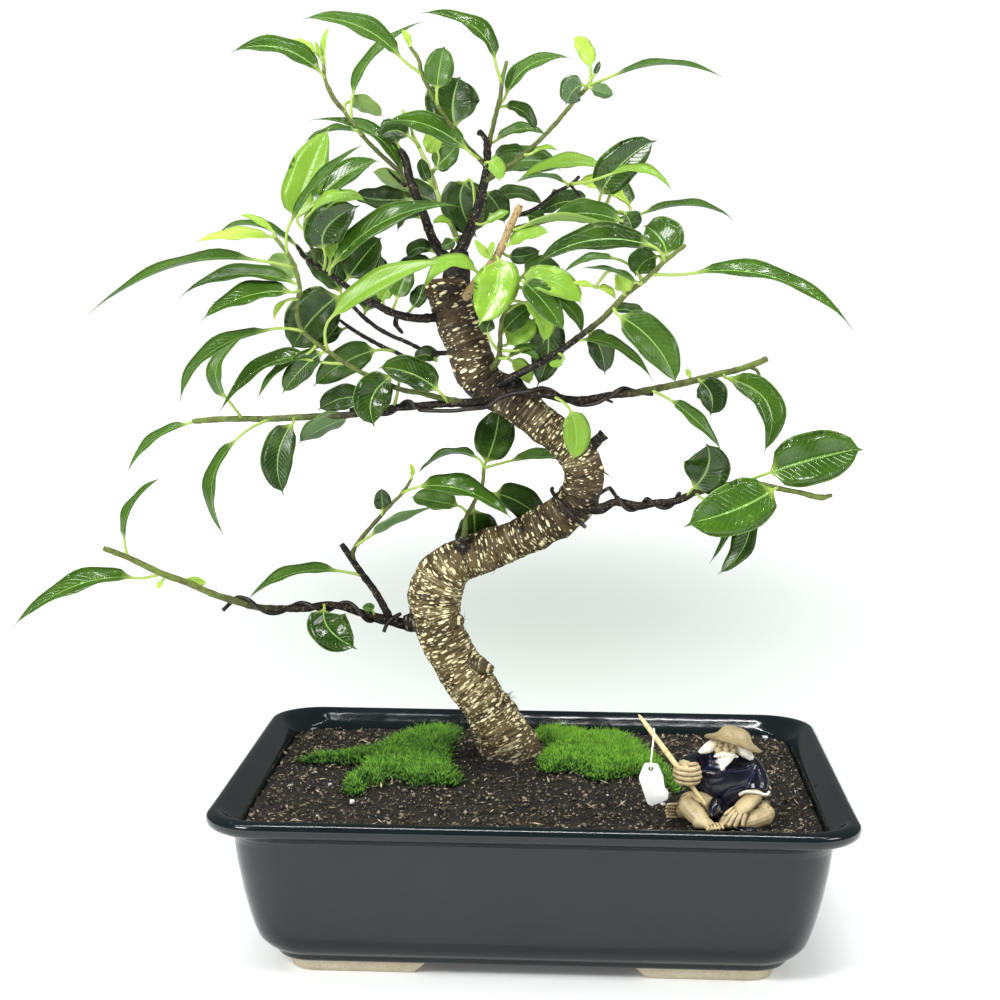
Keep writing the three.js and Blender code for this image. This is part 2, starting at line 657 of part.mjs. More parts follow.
const middleLeftLeaves = [
  [-155, 214.6, -157.4, 213.6, -174, 205.5, -185.5, 190.8, 8, 60, 0, -2],
  [-120, 216.2, -135.5, 207, -147, 185.5, -141, 162.4, 11, 60, -3, -5],
  [-110, 216.8, -110.6, 214, -117.2, 198.4, -114.3, 182.2, 15, 12, -4, -8],
  [-133, 216, -140, 225, -143.6, 240.5, -127, 256.4, 9, 42, -4, -2],
  [-65.5, 221.8, -66.6, 235.4, -80.6, 227, -73.8, 213.2, 17, 6, -8, -13],
  [-76, 220, -79, 226, -89, 225.4, -99.3, 220.4, 12, 20, 5, 6],
  [-82, 218.8, -86, 217.4, -97.6, 212.4, -108.2, 205.5, 12, 138, 2, 4],
  [-41, 223.8, -46.1, 229.8, -58, 237, -72.6, 239.6, 15, 26, -6, -8],
  [-105.6, 255, -119.7, 255.8, -148.5, 244, -160.8, 223.4, 13, 68, -3, -8],
  [-86.9, 241.1, -102.9, 242.4, -124.4, 238.8, -144.3, 217.4, 13, 58, 3, 12],
  [-99.5, 249.6, -106, 244, -118, 236.6, -126.3, 224.8, 7, 60, 5, 7],
  [-93.5, 245.7, -97.4, 245.6, -106.4, 238.4, -115.2, 227.2, 12, 25, 2, 5],
  [-94.6, 246.5, -92.9, 261.4, -69, 278.4, -41, 286.7, 12, 38, -6, -16],
  [-108, 269, -113, 268.4, -117, 264.6, -118.4, 259.4, 3, 30, -2, -3],
  [-109.6, 283, -126.6, 286.2, -164, 283, -202, 262, 14, 72, -4, -12],
  [-106.9, 275.6, -109, 276, -135, 279.6, -160.7, 270.4, 13, 58, 2, -2],
  [-107.2, 273, -110.8, 272.2, -131.4, 270, -151.2, 259.6, 14, 50, -4, -9],
  [-118, 296.5, -120, 296.2, -137, 296.6, -153.8, 293.8, 9, 52, 0, -3],
  [-117.6, 296, -118.6, 298.4, -126, 303.4, -133.6, 305.8, 5, 50, -1, -2],
  [-107.6, 277, -109, 279, -115, 283.4, -121.4, 286.6, 12, 150, 5, 8],
  [-112.2, 289, -111, 302.5, -96.6, 322.6, -78.5, 337, 9, 64, -3, -9],
];

const backLeftStems = [
  [
    [-36, 247, 26, 1.3], [-45, 246, 30, 1.1], [-51.2, 246.8, 33, 1], [-59.5, 250.6, 36, 1],
    [-66.7, 253.6, 39, 1], [-72.6, 256.8, 41, 1], [-78.6, 261.3, 43, 1], [-83.4, 266, 45, 0.9],
    [-88, 270, 46, 0.9],
  ],
  [
    [-44, 246.2, 29.6, 1.1], [-53, 242.9, 32, 1], [-60.1, 244.1, 34, 1], [-64.9, 246.4, 36, 1],
    [-70.8, 248.8, 38, 1], [-78.6, 253, 40, 0.95], [-84.6, 256.6, 42, 0.9], [-89.3, 260.1, 43, 0.8],
  ],
];
const backLeftLeaves = [
  [-64.9, 246.4, -73.8, 246.9, -87.4, 241.4, -101.6, 230.6, 14, 20, -2, -5],
  [-87, 269, -90, 270.5, -101.5, 260.5, -111, 246.5, 23, 10, 1, 4],
  [-47.6, 245.4, -46.8, 242.6, -50.4, 246.6, -57, 243.6, 8, 24, -1, 1.4],
  [-88, 270, -89, 272.6, -96, 283, -105, 290, 14, 20, 3, 8],
  [-78.6, 261.3, -78, 264, -74, 276, -71, 290, 14, 20, 6, 14],
  [-84.6, 256.6, -88, 256, -98, 252, -108, 251, 13, 40, 6, 12],
];

const upperLeftStems = [
  [
    [-38, 262, 26, 2.4], [-49.4, 261.4, 21, 2.1], [-54.7, 261.2, 21, 2], [-60.7, 262, 21, 1.9],
    [-66.7, 263.8, 21, 1.8], [-72.6, 266.7, 22, 1.7], [-78.6, 269.9, 22, 1.6], [-84.3, 273.4, 22, 1.4],
    [-89, 276.9, 22, 1.3], [-95, 280.9, 23, 1.2], [-99.7, 283.8, 23, 1.2], [-105, 287.9, 23, 1.1],
    [-108.4, 292.8, 23, 1],
  ],
  [
    [-99.9, 284, 23, 1.1], [-101, 290, 22, 0.95], [-103.8, 297, 21, 0.9], [-104.6, 303, 20, 0.8],
    [-103.2, 307.6, 19, 0.7],
  ],
  [[-64, 262.6, 21, 1.2], [-64.5, 258.4, 20, 1.1], [-61.5, 254.5, 19, 0.7]],
];
const upperLeftLeaves = [
  [-104.2, 299, -108, 304.4, -103.4, 322, -93, 345.2, 18.5, 12, 2, 5],
  [-104.3, 304, -101.8, 309.4, -87.4, 322.8, -71, 330.2, 13, 35, 0, -2],
  [-104.5, 302.4, -102.2, 306.4, -89.5, 313, -77.3, 312, 10, 48, -5, -12],
  [-96.5, 281.9, -96.4, 291.4, -94.2, 301.4, -80, 310.6, 18, 10, -6, -12],
  [-95, 280.9, -93.5, 286.6, -90.4, 297, -81, 310, 7, 30, -2, -4],
  [-93.5, 279.9, -92.8, 283.4, -68, 304.2, -34.5, 311, 14, 42, -4, -16],
  [-87.6, 275.8, -85.6, 278.6, -79, 287.5, -70.5, 297, 15, 12, 4, 7],
  [-104.6, 287.6, -108, 292.4, -127, 301.6, -143.1, 298.2, 9, 72, 2, 4],
  [-66.7, 263.8, -64, 270, -61.5, 277, -58, 284.4, 11, 15, 4, 7],
  [-70, 265.6, -70.2, 269, -69, 272.4, -65, 277.6, 7, 15, 5, 7],
  [-60.7, 262, -57, 266, -54, 271, -52.4, 277, 8, 20, 4, 6],
];

const crownLeftStems = [
  [
    [-38, 283, 25, 2.6], [-41.6, 287, 25, 2.6], [-45.9, 291.4, 26, 2.4], [-49.5, 298.4, 28, 2.2],
    [-52.4, 306.5, 30, 2.1], [-56, 315.2, 32, 2], [-58.9, 323.4, 34, 1.9], [-60.3, 330, 36, 1.8],
    [-63.2, 334.4, 37, 1.5],
  ],
  [
    [-57.6, 319.6, 33, 1.3], [-60.7, 321.6, 34, 1.1], [-64, 325.6, 35, 1], [-70.1, 331, 37, 1],
    [-77.3, 338, 39, 0.95], [-83.8, 345.8, 41, 0.95], [-87.4, 350.8, 43, 0.95], [-91.8, 356, 44, 1.15],
    [-95.6, 364.6, 46, 0.85], [-96, 371.4, 47, 0.7],
  ],
  [[-60.2, 318.5, 33, 0.9], [-64, 321.5, 35, 0.7], [-68, 325.4, 36, 0.6]],
];
const crownLeftLeaves = [
  [-95.6, 364.4, -97.4, 367, -115.6, 377.4, -137.3, 375.8, 13, 50, -2, -9],
  [-84, 346, -83.4, 357.6, -73.4, 375.6, -52, 390, 9, 58, 3, 8],
  [-96, 371, -95.9, 373, -95.8, 381, -93.2, 386.6, 2.8, 30, 0, 1],
  [-96, 370.6, -97.2, 373, -98.6, 377, -100, 381, 2.4, 30, -1, -1],
  [-95.8, 368, -99.6, 375.4, -105, 378.6, -111, 380.8, 5, 30, 4, 6],
  [-86.6, 349.8, -85, 354.5, -78, 353, -70, 348.2, 8.5, 150, 4, 6],
  [-60.6, 321.6, -61.8, 323.8, -75.8, 341.8, -102.6, 347.4, 11, 48, 4, 10],
  [-79.2, 340, -82.4, 342.4, -93.5, 342.6, -104.8, 337.2, 8, 78, -2, -5],
  [-55.2, 313, -59, 313, -72, 312.6, -84, 314.8, 13, 38, 4, 8],
  [-58.6, 322, -60.8, 318, -67, 321.4, -75.3, 325, 9, 150, 7, 9],
  [-46.4, 292, -49, 290.6, -55, 292, -60, 287.6, 8, 30, 3, 5],
  [-44, 289.6, -49, 286.8, -56, 285, -63.5, 286.6, 8, 25, 5, 8],
  [-61.4, 332, -64, 337, -67, 342.5, -70.5, 347.4, 9, 15, 5, 8],
  [-51, 302.6, -54, 305, -60, 304.8, -64, 299, 9, 60, 6, 12],
];

const crownCentreStems = [
  [
    [-37.4, 286, 25, 2.8], [-36, 291, 25, 2.8], [-34.2, 295, 25, 2.7], [-32.3, 299.4, 25, 2.5],
    [-29.2, 307.7, 24, 2.3], [-26.8, 316.8, 23, 2.1], [-24.9, 326, 22, 1.9], [-24.8, 333, 22, 1.7],
    [-25, 339.4, 22, 1.6],
  ],
  [
    [-24.7, 332.6, 22, 1.2], [-23.3, 340.2, 22, 1.1], [-21.3, 349, 21, 1.05], [-19.3, 356.9, 20, 1],
    [-18.4, 364.7, 20, 0.95], [-16.6, 372.2, 19, 0.9],
  ],
  [
    [-25.4, 327.6, 22, 1.2], [-28, 330.4, 20, 1.15], [-34.2, 336.4, 17, 1.1], [-41.2, 345.4, 13, 1.05],
    [-46.3, 353, 9, 1], [-50.6, 360.8, 6, 1], [-53.5, 367.2, 4, 0.95], [-55, 373, 2, 0.9],
    [-58.5, 378, 0, 0.8],
  ],
  [
    [-36.6, 294, 26, 1.3], [-40, 301, 30, 1.25], [-43.4, 308.4, 33, 1.2], [-46.3, 315.4, 36, 1.15],
    [-49.5, 324.6, 40, 1.1], [-54.6, 335.6, 43, 1], [-57.5, 341, 44, 0.8],
  ],
  [
    [-25.6, 321, 22, 1.5], [-21, 324, 19, 1.3], [-16.4, 326.7, 17, 1.2], [-11.4, 330, 15, 1.1],
    [-5.5, 335.4, 12, 1.05], [0.5, 341.3, 10, 1], [6.4, 347.6, 8, 1], [11.4, 353.7, 6, 0.95],
    [16.4, 359.2, 5, 0.95], [18.9, 361.9, 4, 0.9],
  ],
  [[-25, 338, 22, 1.3], [-27.6, 341.8, 21, 1.1], [-29, 340.6, 21, 0.8]],
];
const crownCentreLeaves = [
  [-53.4, 366.8, -62.9, 373.8, -81.6, 387, -105.8, 390.3, 13, 48, -3, -10],
  [-46.6, 353.4, -46.8, 360.4, -45.6, 369.6, -43.5, 379, 13, 6, -4, -6],
  [-58.4, 377.8, -58.8, 379, -60, 382, -62.2, 385.6, 3.6, 30, 0, -1],
  [-41.2, 345.2, -38.6, 344.4, -39.6, 355, -36.6, 366.2, 24, 8, 5, 11],
  [-28, 330.4, -33.6, 334.4, -51.6, 345, -69.4, 346, 12, 32, -6, -14],
  [-49.4, 324.4, -47.4, 326.4, -42.4, 331.4, -36.6, 338, 11, 20, -3, -6],
  [-49.2, 323.6, -46.4, 333.4, -49, 337.6, -52.2, 341.6, 10, 20, -5, -8],
  [-54.2, 335, -59, 340, -66, 343.4, -71.8, 339, 9, 22, -4, -6],
  [-57.4, 340.8, -58, 343.4, -60, 347.6, -62.2, 351.8, 4, 30, -1, -2],
  [-18.6, 363, -21.9, 373.2, -31.6, 386.9, -54.6, 393.3, 12, 50, -3, -10],
  [-20.2, 353, -16.8, 357.8, -6.4, 370.4, 11.9, 374.2, 10, 50, 2, 0],
  [-20.6, 351.6, -17.4, 353, -9, 350.4, -3.7, 342.2, 8, 45, 3, 4],
  [-23.7, 337.8, -21, 338.4, -10, 343.2, 1.2, 340.8, 8, 55, 5, 8],
  [-24.9, 329, -21.6, 331.4, -14.4, 334.4, -8, 333.4, 7, 50, 6, 8],
  [-25.4, 327.6, -24, 329, -20.6, 327, -19.4, 320.6, 8, 20, -5, -8],
  [-30, 305.6, -34.2, 320.6, -36, 310.6, -29, 296.6, 19, 10, 5, 12],
  [-27.6, 313.4, -25, 316, -20, 310, -17, 303, 11, 20, 5, 8],
  [-26.8, 316.8, -22, 312.8, -11, 315.6, 0.5, 310.4, 9, 48, 8, 14],
  [-30.8, 303.4, -25, 303, -19.6, 306, -14.4, 308, 5, 40, -4, -6],
  [-37.4, 295.4, -39, 295.6, -42, 292.4, -45, 293.2, 6, 20, -4, -5],
  [-40.2, 301.4, -41, 302.4, -44.4, 304, -48.5, 302.4, 5, 50, -4, -6],
  [-47, 317.4, -50, 320.4, -53, 326, -53.4, 331, 6, 20, -3, -4],
  [-8.6, 332.6, -5.4, 333, 0.6, 335.4, 6, 334.4, 4, 60, -3, -4],
  [18.8, 361.8, 19.4, 370, 16.4, 377.6, 11.9, 382.4, 8, 24, 0, -1],
  [18.9, 361.9, 21.2, 366.6, 22.6, 369.4, 23.5, 372.5, 2.6, 20, 0, 0],
  [17.4, 360.4, 16.2, 362.2, 11.8, 361, 9, 353.6, 12, 160, -3, -7],
  [18.6, 361.6, 20, 360.8, 24.4, 359.4, 30, 358, 7, 150, -2, -4],
  [18.9, 361.8, 29.3, 366.2, 53, 371.6, 76.9, 365.8, 8, 78, -1, -6],
  [-33.2, 297.4, -36, 301, -30, 311, -38, 322, 14, 30, 22, 38],
  [-26, 321, -21, 324, -8, 330, 8, 326, 14, 40, 18, 34],
  [-43, 307.4, -46, 311, -58, 316, -72, 318, 14, 40, 16, 30],
];

const rightUpperStems = [
  [
    [-36, 268, 20, 2.1], [-28, 279, 15, 2], [-20.8, 287.6, 12, 1.9], [-17.5, 294.3, 11, 1.8],
    [-15, 300.4, 10, 1.8], [-12.2, 306.5, 10, 1.7], [-10.2, 310.8, 10, 1.6],
  ],
  [
    [-15, 299.6, 10, 1.3], [-5, 302.6, 12, 1.1], [4, 304.6, 14, 1], [14, 306.4, 18, 1],
    [24, 308.2, 22, 1], [34, 307.6, 26, 0.9], [40.4, 307.4, 28, 0.9],
  ],
  [
    [-12.4, 306, 10, 1.1], [-7, 307.6, 13, 1], [-1, 311, 16, 0.95], [4.5, 315.7, 18, 0.9],
    [11.4, 319.6, 20, 0.85], [15.4, 323.2, 21, 0.8],
  ],
  [[3.6, 314.9, 17.6, 1], [5, 317.4, 17, 1.1]],
  [[11.4, 319.6, 20, 0.8], [15.6, 314.8, 20, 0.6]],
];
const rightUpperLeaves = [
  [-14.6, 299.8, -10, 301, 16, 304.4, 43.6, 293.4, 7, 118, -1, -5],
  [30, 307.9, 33.4, 304.2, 18, 307.4, 3, 304.8, 13, 40, -6, -16],
  [32, 307.7, 35.6, 307.4, 37.4, 304, 38.8, 299.8, 11, 16, -3, -5],
  [40.2, 307.4, 42.4, 307.4, 64, 311.6, 82.8, 305.5, 9, 76, -2, -10],
  [23.6, 308.1, 24.9, 315.8, 33.4, 328.4, 49, 339.8, 17, 14, -2, -12],
  [12, 319.6, 28.3, 324, 43.8, 325.8, 56, 317.1, 8, 62, -14, -22],
  [26, 308.2, 25, 327.6, 6, 328.6, -12.4, 320.8, 10, 50, 4, 3],
  [10.4, 319, 9.4, 320.6, -1, 323.6, -13, 320.4, 7, 82, -3, -6],
  [12, 319.8, 15, 320.6, 27, 318.4, 39.2, 309.3, 9, 45, 5, 6],
  [-8.6, 307, -7, 306.4, -3, 305.4, 0.8, 304.4, 8, 20, 4, 6],
  [-16.9, 295.5, -15, 293.6, -7, 297.8, 3, 299, 9, 50, -2, -6],
  [-18.5, 292.3, -15, 288.6, -8, 288.8, -1, 291.5, 8, 20, 4, 5],
  [-20.8, 287.6, -19.6, 287, -20.4, 274.6, -28.3, 258.4, 20, 6, -5, -9],
  [-26.6, 280.6, -28.9, 281.6, -42, 285.4, -53, 272.4, 9, 50, -4, -10],
  [-21.6, 286.6, -23.4, 287.8, -27, 291.4, -30.5, 296.5, 4, 20, -2, -3],
  [-21.2, 287.2, -22.6, 289, -22.6, 292, -21.4, 295.4, 3, 20, -2, -3],
  [34, 307.6, 37, 311, 30, 318, 18, 322, 12, 40, 14, 30],
  [20, 307.6, 18, 311, 8, 312, -4, 306, 12, 40, 12, 30],
];

const rightRisingStems = [
  [
    [-22, 230, 21, 2.2], [-16.7, 233.7, 13, 2.1], [-12.6, 236, 11, 1.9], [-5.7, 239.6, 8, 1.7],
    [0.8, 243.4, 6, 1.6], [8.5, 248, 4, 1.5], [13.7, 251.9, 2, 1.5], [20, 256.7, 0, 1.4],
    [26.7, 262.2, -2, 1.4], [32.4, 268.4, -4, 1.3], [36.5, 272.6, -5, 1.2], [43.2, 277.8, -7, 1.2],
    [47.8, 281.9, -8, 1.15], [53.3, 287.1, -10, 1.05], [61.8, 294.1, -12, 0.95],
  ],
  [[40.4, 275.7, -6, 0.85], [34, 281.5, -3, 0.8], [28.3, 282.3, -2, 0.75], [23, 275.5, -2, 0.7]],
];
const rightRisingLeaves = [
  [53, 286.8, 47.4, 293.4, 20, 295.6, -5, 284, 16, 42, -4, -10],
  [47.2, 281.4, 65.6, 281.9, 103, 279.6, 136.3, 258.8, 14, 60, -3, -12],
  [54, 287.8, 53.5, 290, 50.8, 297, 43.6, 302.6, 20, 10, 3, 9],
  [51.6, 285.6, 49.4, 289, 42.8, 286.4, 40.3, 280.4, 13, 15, 5, 5],
  [36.2, 272.3, 35.4, 273.4, 37.2, 277.4, 31, 281.4, 9, 20, -3, -5],
  [43, 277.7, 41, 277.8, 30, 283, 16.3, 284, 7, 78, -5, -8],
  [43.6, 278.2, 31, 288, 19, 287.4, 8.6, 281.5, 7, 60, 8, 12],
  [23, 275.5, 21.6, 276, 17.6, 276.6, 12.6, 277.6, 4, 45, 0, 0],
  [23, 275.5, 24.4, 275.4, 28.4, 274, 32, 270.3, 5, 45, 0, -1],
  [31, 266.8, 33.8, 263, 49.2, 251, 59.3, 232.9, 17, 14, -3, -10],
  [27.6, 263.2, 31, 265.6, 39.6, 265, 46, 259.8, 8, 45, 4, 6],
  [8.5, 248, 17.4, 252.4, 33.8, 249, 49.3, 235, 9, 58, -3, -9],
  [20, 256.7, 20.4, 256, 25.6, 248.4, 27.7, 237.3, 12, 14, 6, 10],
  [6.6, 246.9, 8.8, 243.2, 6, 241.8, 2.8, 242.2, 3.6, 8, -4, -5],
];

const middleRightStems = [
  [
    [-19, 229, 21, 2], [-11.4, 229.6, 14, 1.7], [-4.4, 229, 10.5, 1.5], [2.1, 228.2, 9, 1.4],
    [8.5, 226.7, 9, 1.35], [16.3, 226, 10, 1.35], [24.1, 227, 11, 1.3], [30.6, 228.4, 12, 1.3],
    [35.7, 228.9, 14, 1.3], [40.3, 229.2, 15, 1.25], [46.1, 230.6, 17, 1.2], [52.6, 231.9, 19, 1.2],
    [60.5, 233.6, 22, 1.2], [67, 235.2, 24, 1.15], [72.2, 236.6, 26, 1.1], [78, 238.2, 28, 1.1],
    [83.9, 239.5, 30, 1], [90.5, 241.6, 32, 1], [98.4, 245, 34, 1],
  ],
  [[90.2, 241.4, 32, 0.8], [94, 239.9, 31, 0.7], [95.8, 235.8, 30, 0.65], [97.4, 233.9, 30, 0.5]],
  [[26.4, 227.4, 11, 0.8], [31.4, 225, 10, 0.6]],
];
const middleRightLeaves = [
  [68.8, 235.7, 69.4, 235, 78.6, 229.4, 74, 219.8, 14, 18, -3, -7],
  [66, 235, 65, 236.6, 64, 238.6, 63.3, 240.6, 2.6, 30, 0, 0],
  [79.6, 238.5, 81, 236.4, 99.6, 224.4, 97.3, 202.6, 14, 30, -3, -12],
  [47.5, 230.9, 57, 226.2, 68.6, 217, 80, 204.4, 9, 45, -3, -6],
  [4.6, 227.6, 12.8, 221, 15.6, 210.6, 14, 199.6, 12.5, 6, -5, -6],
];

const centreStems = [
  [
    [-26, 236, 23, 1.6], [-19.6, 243, 13, 1.4], [-18.6, 250, 9, 1.1], [-18.4, 257, 7, 1],
    [-16, 266, 6, 0.95], [-12.2, 275, 6, 0.9], [-10, 279.4, 6, 0.8],
  ],
];
const centreLeaves = [
  [-10.4, 278.8, -9, 279.6, 6, 277, 17.5, 268, 13, 16, -1, -6],
  [-10.6, 278, -8.6, 277.6, 0.4, 269, 10.2, 255.4, 12, 18, -4, -8],
  [-12, 275.4, 3, 271.6, 13, 265, 17.4, 254.6, 8, 35, 4, 3],
  [-16.6, 264, -2, 266, 2.8, 250, -2.5, 231.2, 16, 10, 9, 12],
  [-14.6, 269.4, -7.8, 268.4, 0.8, 262.4, 0.2, 250.6, 10, 10, 1, 0],
  [-18.5, 249.6, -15.2, 250.4, -8.6, 256, -2.5, 260.4, 12, 12, 3, 6],
  [-18.4, 254, -17.2, 255.6, -11.6, 262, -5, 267, 11, 14, 4, 7],
  [-19.4, 244.6, -15, 244.6, -8, 248, -1.5, 249.2, 7, 62, -4, -6],
  [-19, 245.6, -13.4, 243, -8, 238.4, -5.4, 232.6, 8, 20, 5, 8],
  [-18.8, 247.6, -10, 247.6, -6, 247, -1, 243.4, 5, 40, -3, -9],
  [-18.9, 247.4, -24, 255, -25, 258.6, -21.6, 261.2, 7, 15, -4, -3],
  [-11.4, 276.6, -8, 281, 0, 284.6, 8.5, 280.2, 9, 30, 5, 8],
];

const leafGreen = 0x3d7524;
addLimb('limb_lower_left', lowerLeftStems, lowerLeftLeaves, leafGreen);
addLimb('shoot_on_trunk', trunkShootStems, trunkShootLeaves, leafGreen);
addLimb('limb_lower_right', lowerRightStems, lowerRightLeaves, leafGreen);
addLimb('limb_middle_left', middleLeftStems, middleLeftLeaves, leafGreen);
addLimb('limb_back_left', backLeftStems, backLeftLeaves, leafGreen);
addLimb('limb_upper_left', upperLeftStems, upperLeftLeaves, leafGreen);
addLimb('limb_crown_left', crownLeftStems, crownLeftLeaves, leafGreen);
addLimb('limb_crown_centre', crownCentreStems, crownCentreLeaves, leafGreen);
addLimb('limb_upper_right', rightUpperStems, rightUpperLeaves, leafGreen);
addLimb('limb_rising_right', rightRisingStems, rightRisingLeaves, leafGreen);
addLimb('limb_middle_right', middleRightStems, middleRightLeaves, leafGreen);
addLimb('shoot_centre', centreStems, centreLeaves, leafGreen);

// Wire wound round a limb: from one share of its length to another, in a given number of turns.
function coil(rows, from, to, turns, phase) {
  const centre = rows.map(([x, z, depth]) => seen(x, z, depth));
  const radii = rows.map((row) => row[3] * sightScale(row[2]));
  const around = frames(centre);
  const points = [];
  const steps = Math.round(Math.abs(turns) * 8);
  for (let k = 0; k <= steps; k += 1) {
    const at = (from + ((to - from) * k) / steps) * (rows.length - 1);
    const i = Math.min(Math.floor(at), rows.length - 2);
    const share = at - i;
    const point = centre[i].clone().lerp(centre[i + 1], share);
    const radius = THREE.MathUtils.lerp(radii[i], radii[i + 1], share) + wireStandOff + wireRadius;
    const side = around[i].side.clone().lerp(around[i + 1].side, share).normalize();
    const up = around[i].up.clone().lerp(around[i + 1].up, share).normalize();
    const angle = phase + (2 * Math.PI * turns * k) / steps;
    point.addScaledVector(side, radius * Math.cos(angle));
    point.addScaledVector(up, radius * Math.sin(angle));
    points.push(point);
  }
  return points;
}

function wire(points) {
  return stem(points, points.map(() => wireRadius), 5);
}

const wireLowerLeft = [
  seen(-69.8, 120.8, 20.4),
  seen(-68.4, 124.2, 20.8),
  seen(-65.4, 127.4, 21.2),
  seen(-62.6, 129, 24.8),
  seen(-65, 127.6, 29),
  seen(-69.4, 125, 28.2),
  ...coil(lowerLeftStems[0], 0.2, 0.643, 2.62, 0.8),
  seen(-135.4, 135.6, 16.4),
  seen(-138, 133.8, 17.2),
  seen(-142.6, 129.4, 15),
];
addNode('wire_lower_left', wire(wireLowerLeft), 0x2a2320, 0.5, 0.4);

// Turn of wire round the trunk: out from its middle at an angle from the left edge, past the front.
function trunkTurn(reach, from, to, drift, steps) {
  const middle = seen(13.4, 179.4, 21);
  const across = new THREE.Vector3(-0.76, 0, 0.65);
  const along = new THREE.Vector3(0.65, 0, 0.76);
  const points = [];
  for (let k = 0; k <= steps; k += 1) {
    const angle = THREE.MathUtils.degToRad(from + ((to - from) * k) / steps);
    const point = middle.clone().addScaledVector(across, reach * Math.cos(angle));
    point.y -= reach * Math.sin(angle);
    point.addScaledVector(along, (drift * k) / steps);
    points.push(point);
  }
  return points;
}

const wireLowerRight = [
  ...trunkTurn(11, -10, 230, -4, 12),
  seen(20, 177, 33),
  seen(25, 183.6, 31),
  seen(30, 187, 24),
  seen(31.4, 186.2, 16),
  ...coil(lowerRightStems[0], 0.135, 0.4, 2, 1.6),
];
addNode('wire_lower_right', wire(wireLowerRight), 0x2a2320, 0.5, 0.4);

const wireMiddle = [
  ...coil(middleLeftStems[0], 0.54, 0.34, -1.5, 5.1),
  seen(-40, 220.6, 12),
  seen(-33, 221.4, 10.8),
  seen(-24, 222.6, 11.4),
  seen(-18.4, 226.6, 10.6),
  seen(-12, 228.6, 10),
  seen(-5.4, 229.8, 7.2),
  ...coil(middleRightStems[0], 0.14, 0.58, -1.5, 1.75),
];
addNode('wire_middle', wire(wireMiddle), 0x2a2320, 0.5, 0.4);

// Figurine of a seated fisherman, modelled and fired in one piece.
const figureBase = soilEdge + gap + 0.1;

// A rounded lump from rows of x, y, z, half width, half height, seen across its own length.
function limbLump(rows, sides = 6) {
  const points = rows.map(([x, y, z]) => new THREE.Vector3(x, y, z));
  const around = frames(points);
  const rings = points.map((point, i) => {
    const ring = [];
    const along = around[i].along;
    const level = new THREE.Vector3(0, 0, 1).addScaledVector(along, -along.z);
    if (level.lengthSq() < 0.05) {
      level.set(0, 1, 0).addScaledVector(along, -along.y);
    }
    level.normalize();
    const wide = along.clone().cross(level);
    for (let j = 0; j < sides; j += 1) {
      const angle = (2 * Math.PI * (j + 0.5)) / sides;
      const spot = point.clone();
      spot.addScaledVector(wide, rows[i][3] * Math.cos(angle));
      spot.addScaledVector(level, rows[i][4] * Math.sin(angle));
      ring.push(spot);
    }
    return ring;
  });
  return skin(rings);
}

function ball(x, y, z, rx, ry, rz) {
  const geometry = new THREE.SphereGeometry(1, 8, 6);
  geometry.scale(rx, rz, ry);
  geometry.rotateX(Math.PI / 2);
  geometry.translate(x, y, z);
  return solid(geometry);
}

function hat() {
  const profile = [
    [0, -0.6], [7, -0.7], [12.4, -1.9], [12.9, -1], [8.4, 1], [6.8, 2.2], [6.2, 5], [4, 6.8], [0, 7.2],
  ];
  const geometry = new THREE.LatheGeometry(profile.map(([r, h]) => new THREE.Vector2(r, h)), 16);
  geometry.rotateX(Math.PI / 2);
  geometry.rotateY(THREE.MathUtils.degToRad(17));
  geometry.rotateX(THREE.MathUtils.degToRad(-9));
  geometry.translate(80.6, -53.5, 93.4);
  return solid(geometry);
}

let figure = join([
  limbLump([[79, -47, 57, 16, 11.5], [79.5, -47, 66, 16.5, 12], [79.5, -48, 75, 15, 10.5],
    [79, -48.5, 81.5, 15.5, 8.8], [79, -49.5, 85.5, 9, 6.5], [78.8, -50.5, 88, 4.6, 4.4]], 12),
  ball(78.6, -52.5, 91, 6, 6.2, 6.6),
  limbLump([[77.8, -57, 90.2, 4.6, 3], [77.3, -60, 87.8, 4, 2.2], [76.7, -61.4, 84.6, 1.2, 0.8]], 7),
  ball(71, -53.2, 90, 3.9, 3.4, 2.6),
  ball(86, -53.4, 88.6, 4.2, 3.6, 2.9),
  hat(),
  limbLump([[68, -48, 82.4, 5, 5], [62, -53, 82.2, 5.2, 4.8], [61.4, -57.8, 82, 4.3, 4.1],
    [61.8, -61, 82, 3.6, 3.2]]),
  ball(62.2, -62.6, 81.9, 6, 4.4, 4.3),
  limbLump([[89.6, -48, 80, 5.2, 5.2], [92, -52, 76, 5.2, 5], [91, -56.6, 72.8, 5, 4.6],
    [89.2, -59.6, 71.2, 4, 3.2]]),
  limbLump([[89.8, -58.6, 71.2, 4, 2.8], [85.6, -63.4, 68.8, 4.2, 2.5], [81.6, -67, 65.2, 3.2, 1.8],
    [79, -68.8, 62.8, 1.6, 1.2]]),
  limbLump([[76, -52, 64.6, 6, 5.6], [64.4, -58, 68, 5.6, 5.6], [61.9, -60, 68.6, 3, 3.4]]),
  limbLump([[63.6, -58.4, 67.6, 5.4, 5], [67.6, -64.6, 64.6, 4.4, 4], [71.2, -69, 62.6, 3.6, 3.2]]),
  limbLump([[67.8, -66.6, 62.8, 3.4, 3], [72.2, -71, 61.8, 4.6, 2.4], [75.4, -73.2, 60.8, 3.4, 1.2]]),
  limbLump([[84, -52, 64, 7, 5.6], [92.8, -56.8, 64.6, 5.6, 5.2], [95.6, -58.4, 64.2, 3.4, 3.6]]),
  limbLump([[93.8, -58.4, 63.8, 5, 4.6], [85.4, -64.4, 62.4, 4.4, 3.6], [78, -62, 61.8, 4, 3.2]]),
  limbLump([[66, -52, 61.8, 4, 3.4], [60, -50.4, 61.8, 4.2, 3], [56.6, -50, 61.4, 3, 1.8]]),
]);
const underFigure = new THREE.BoxGeometry(80, 60, 20);
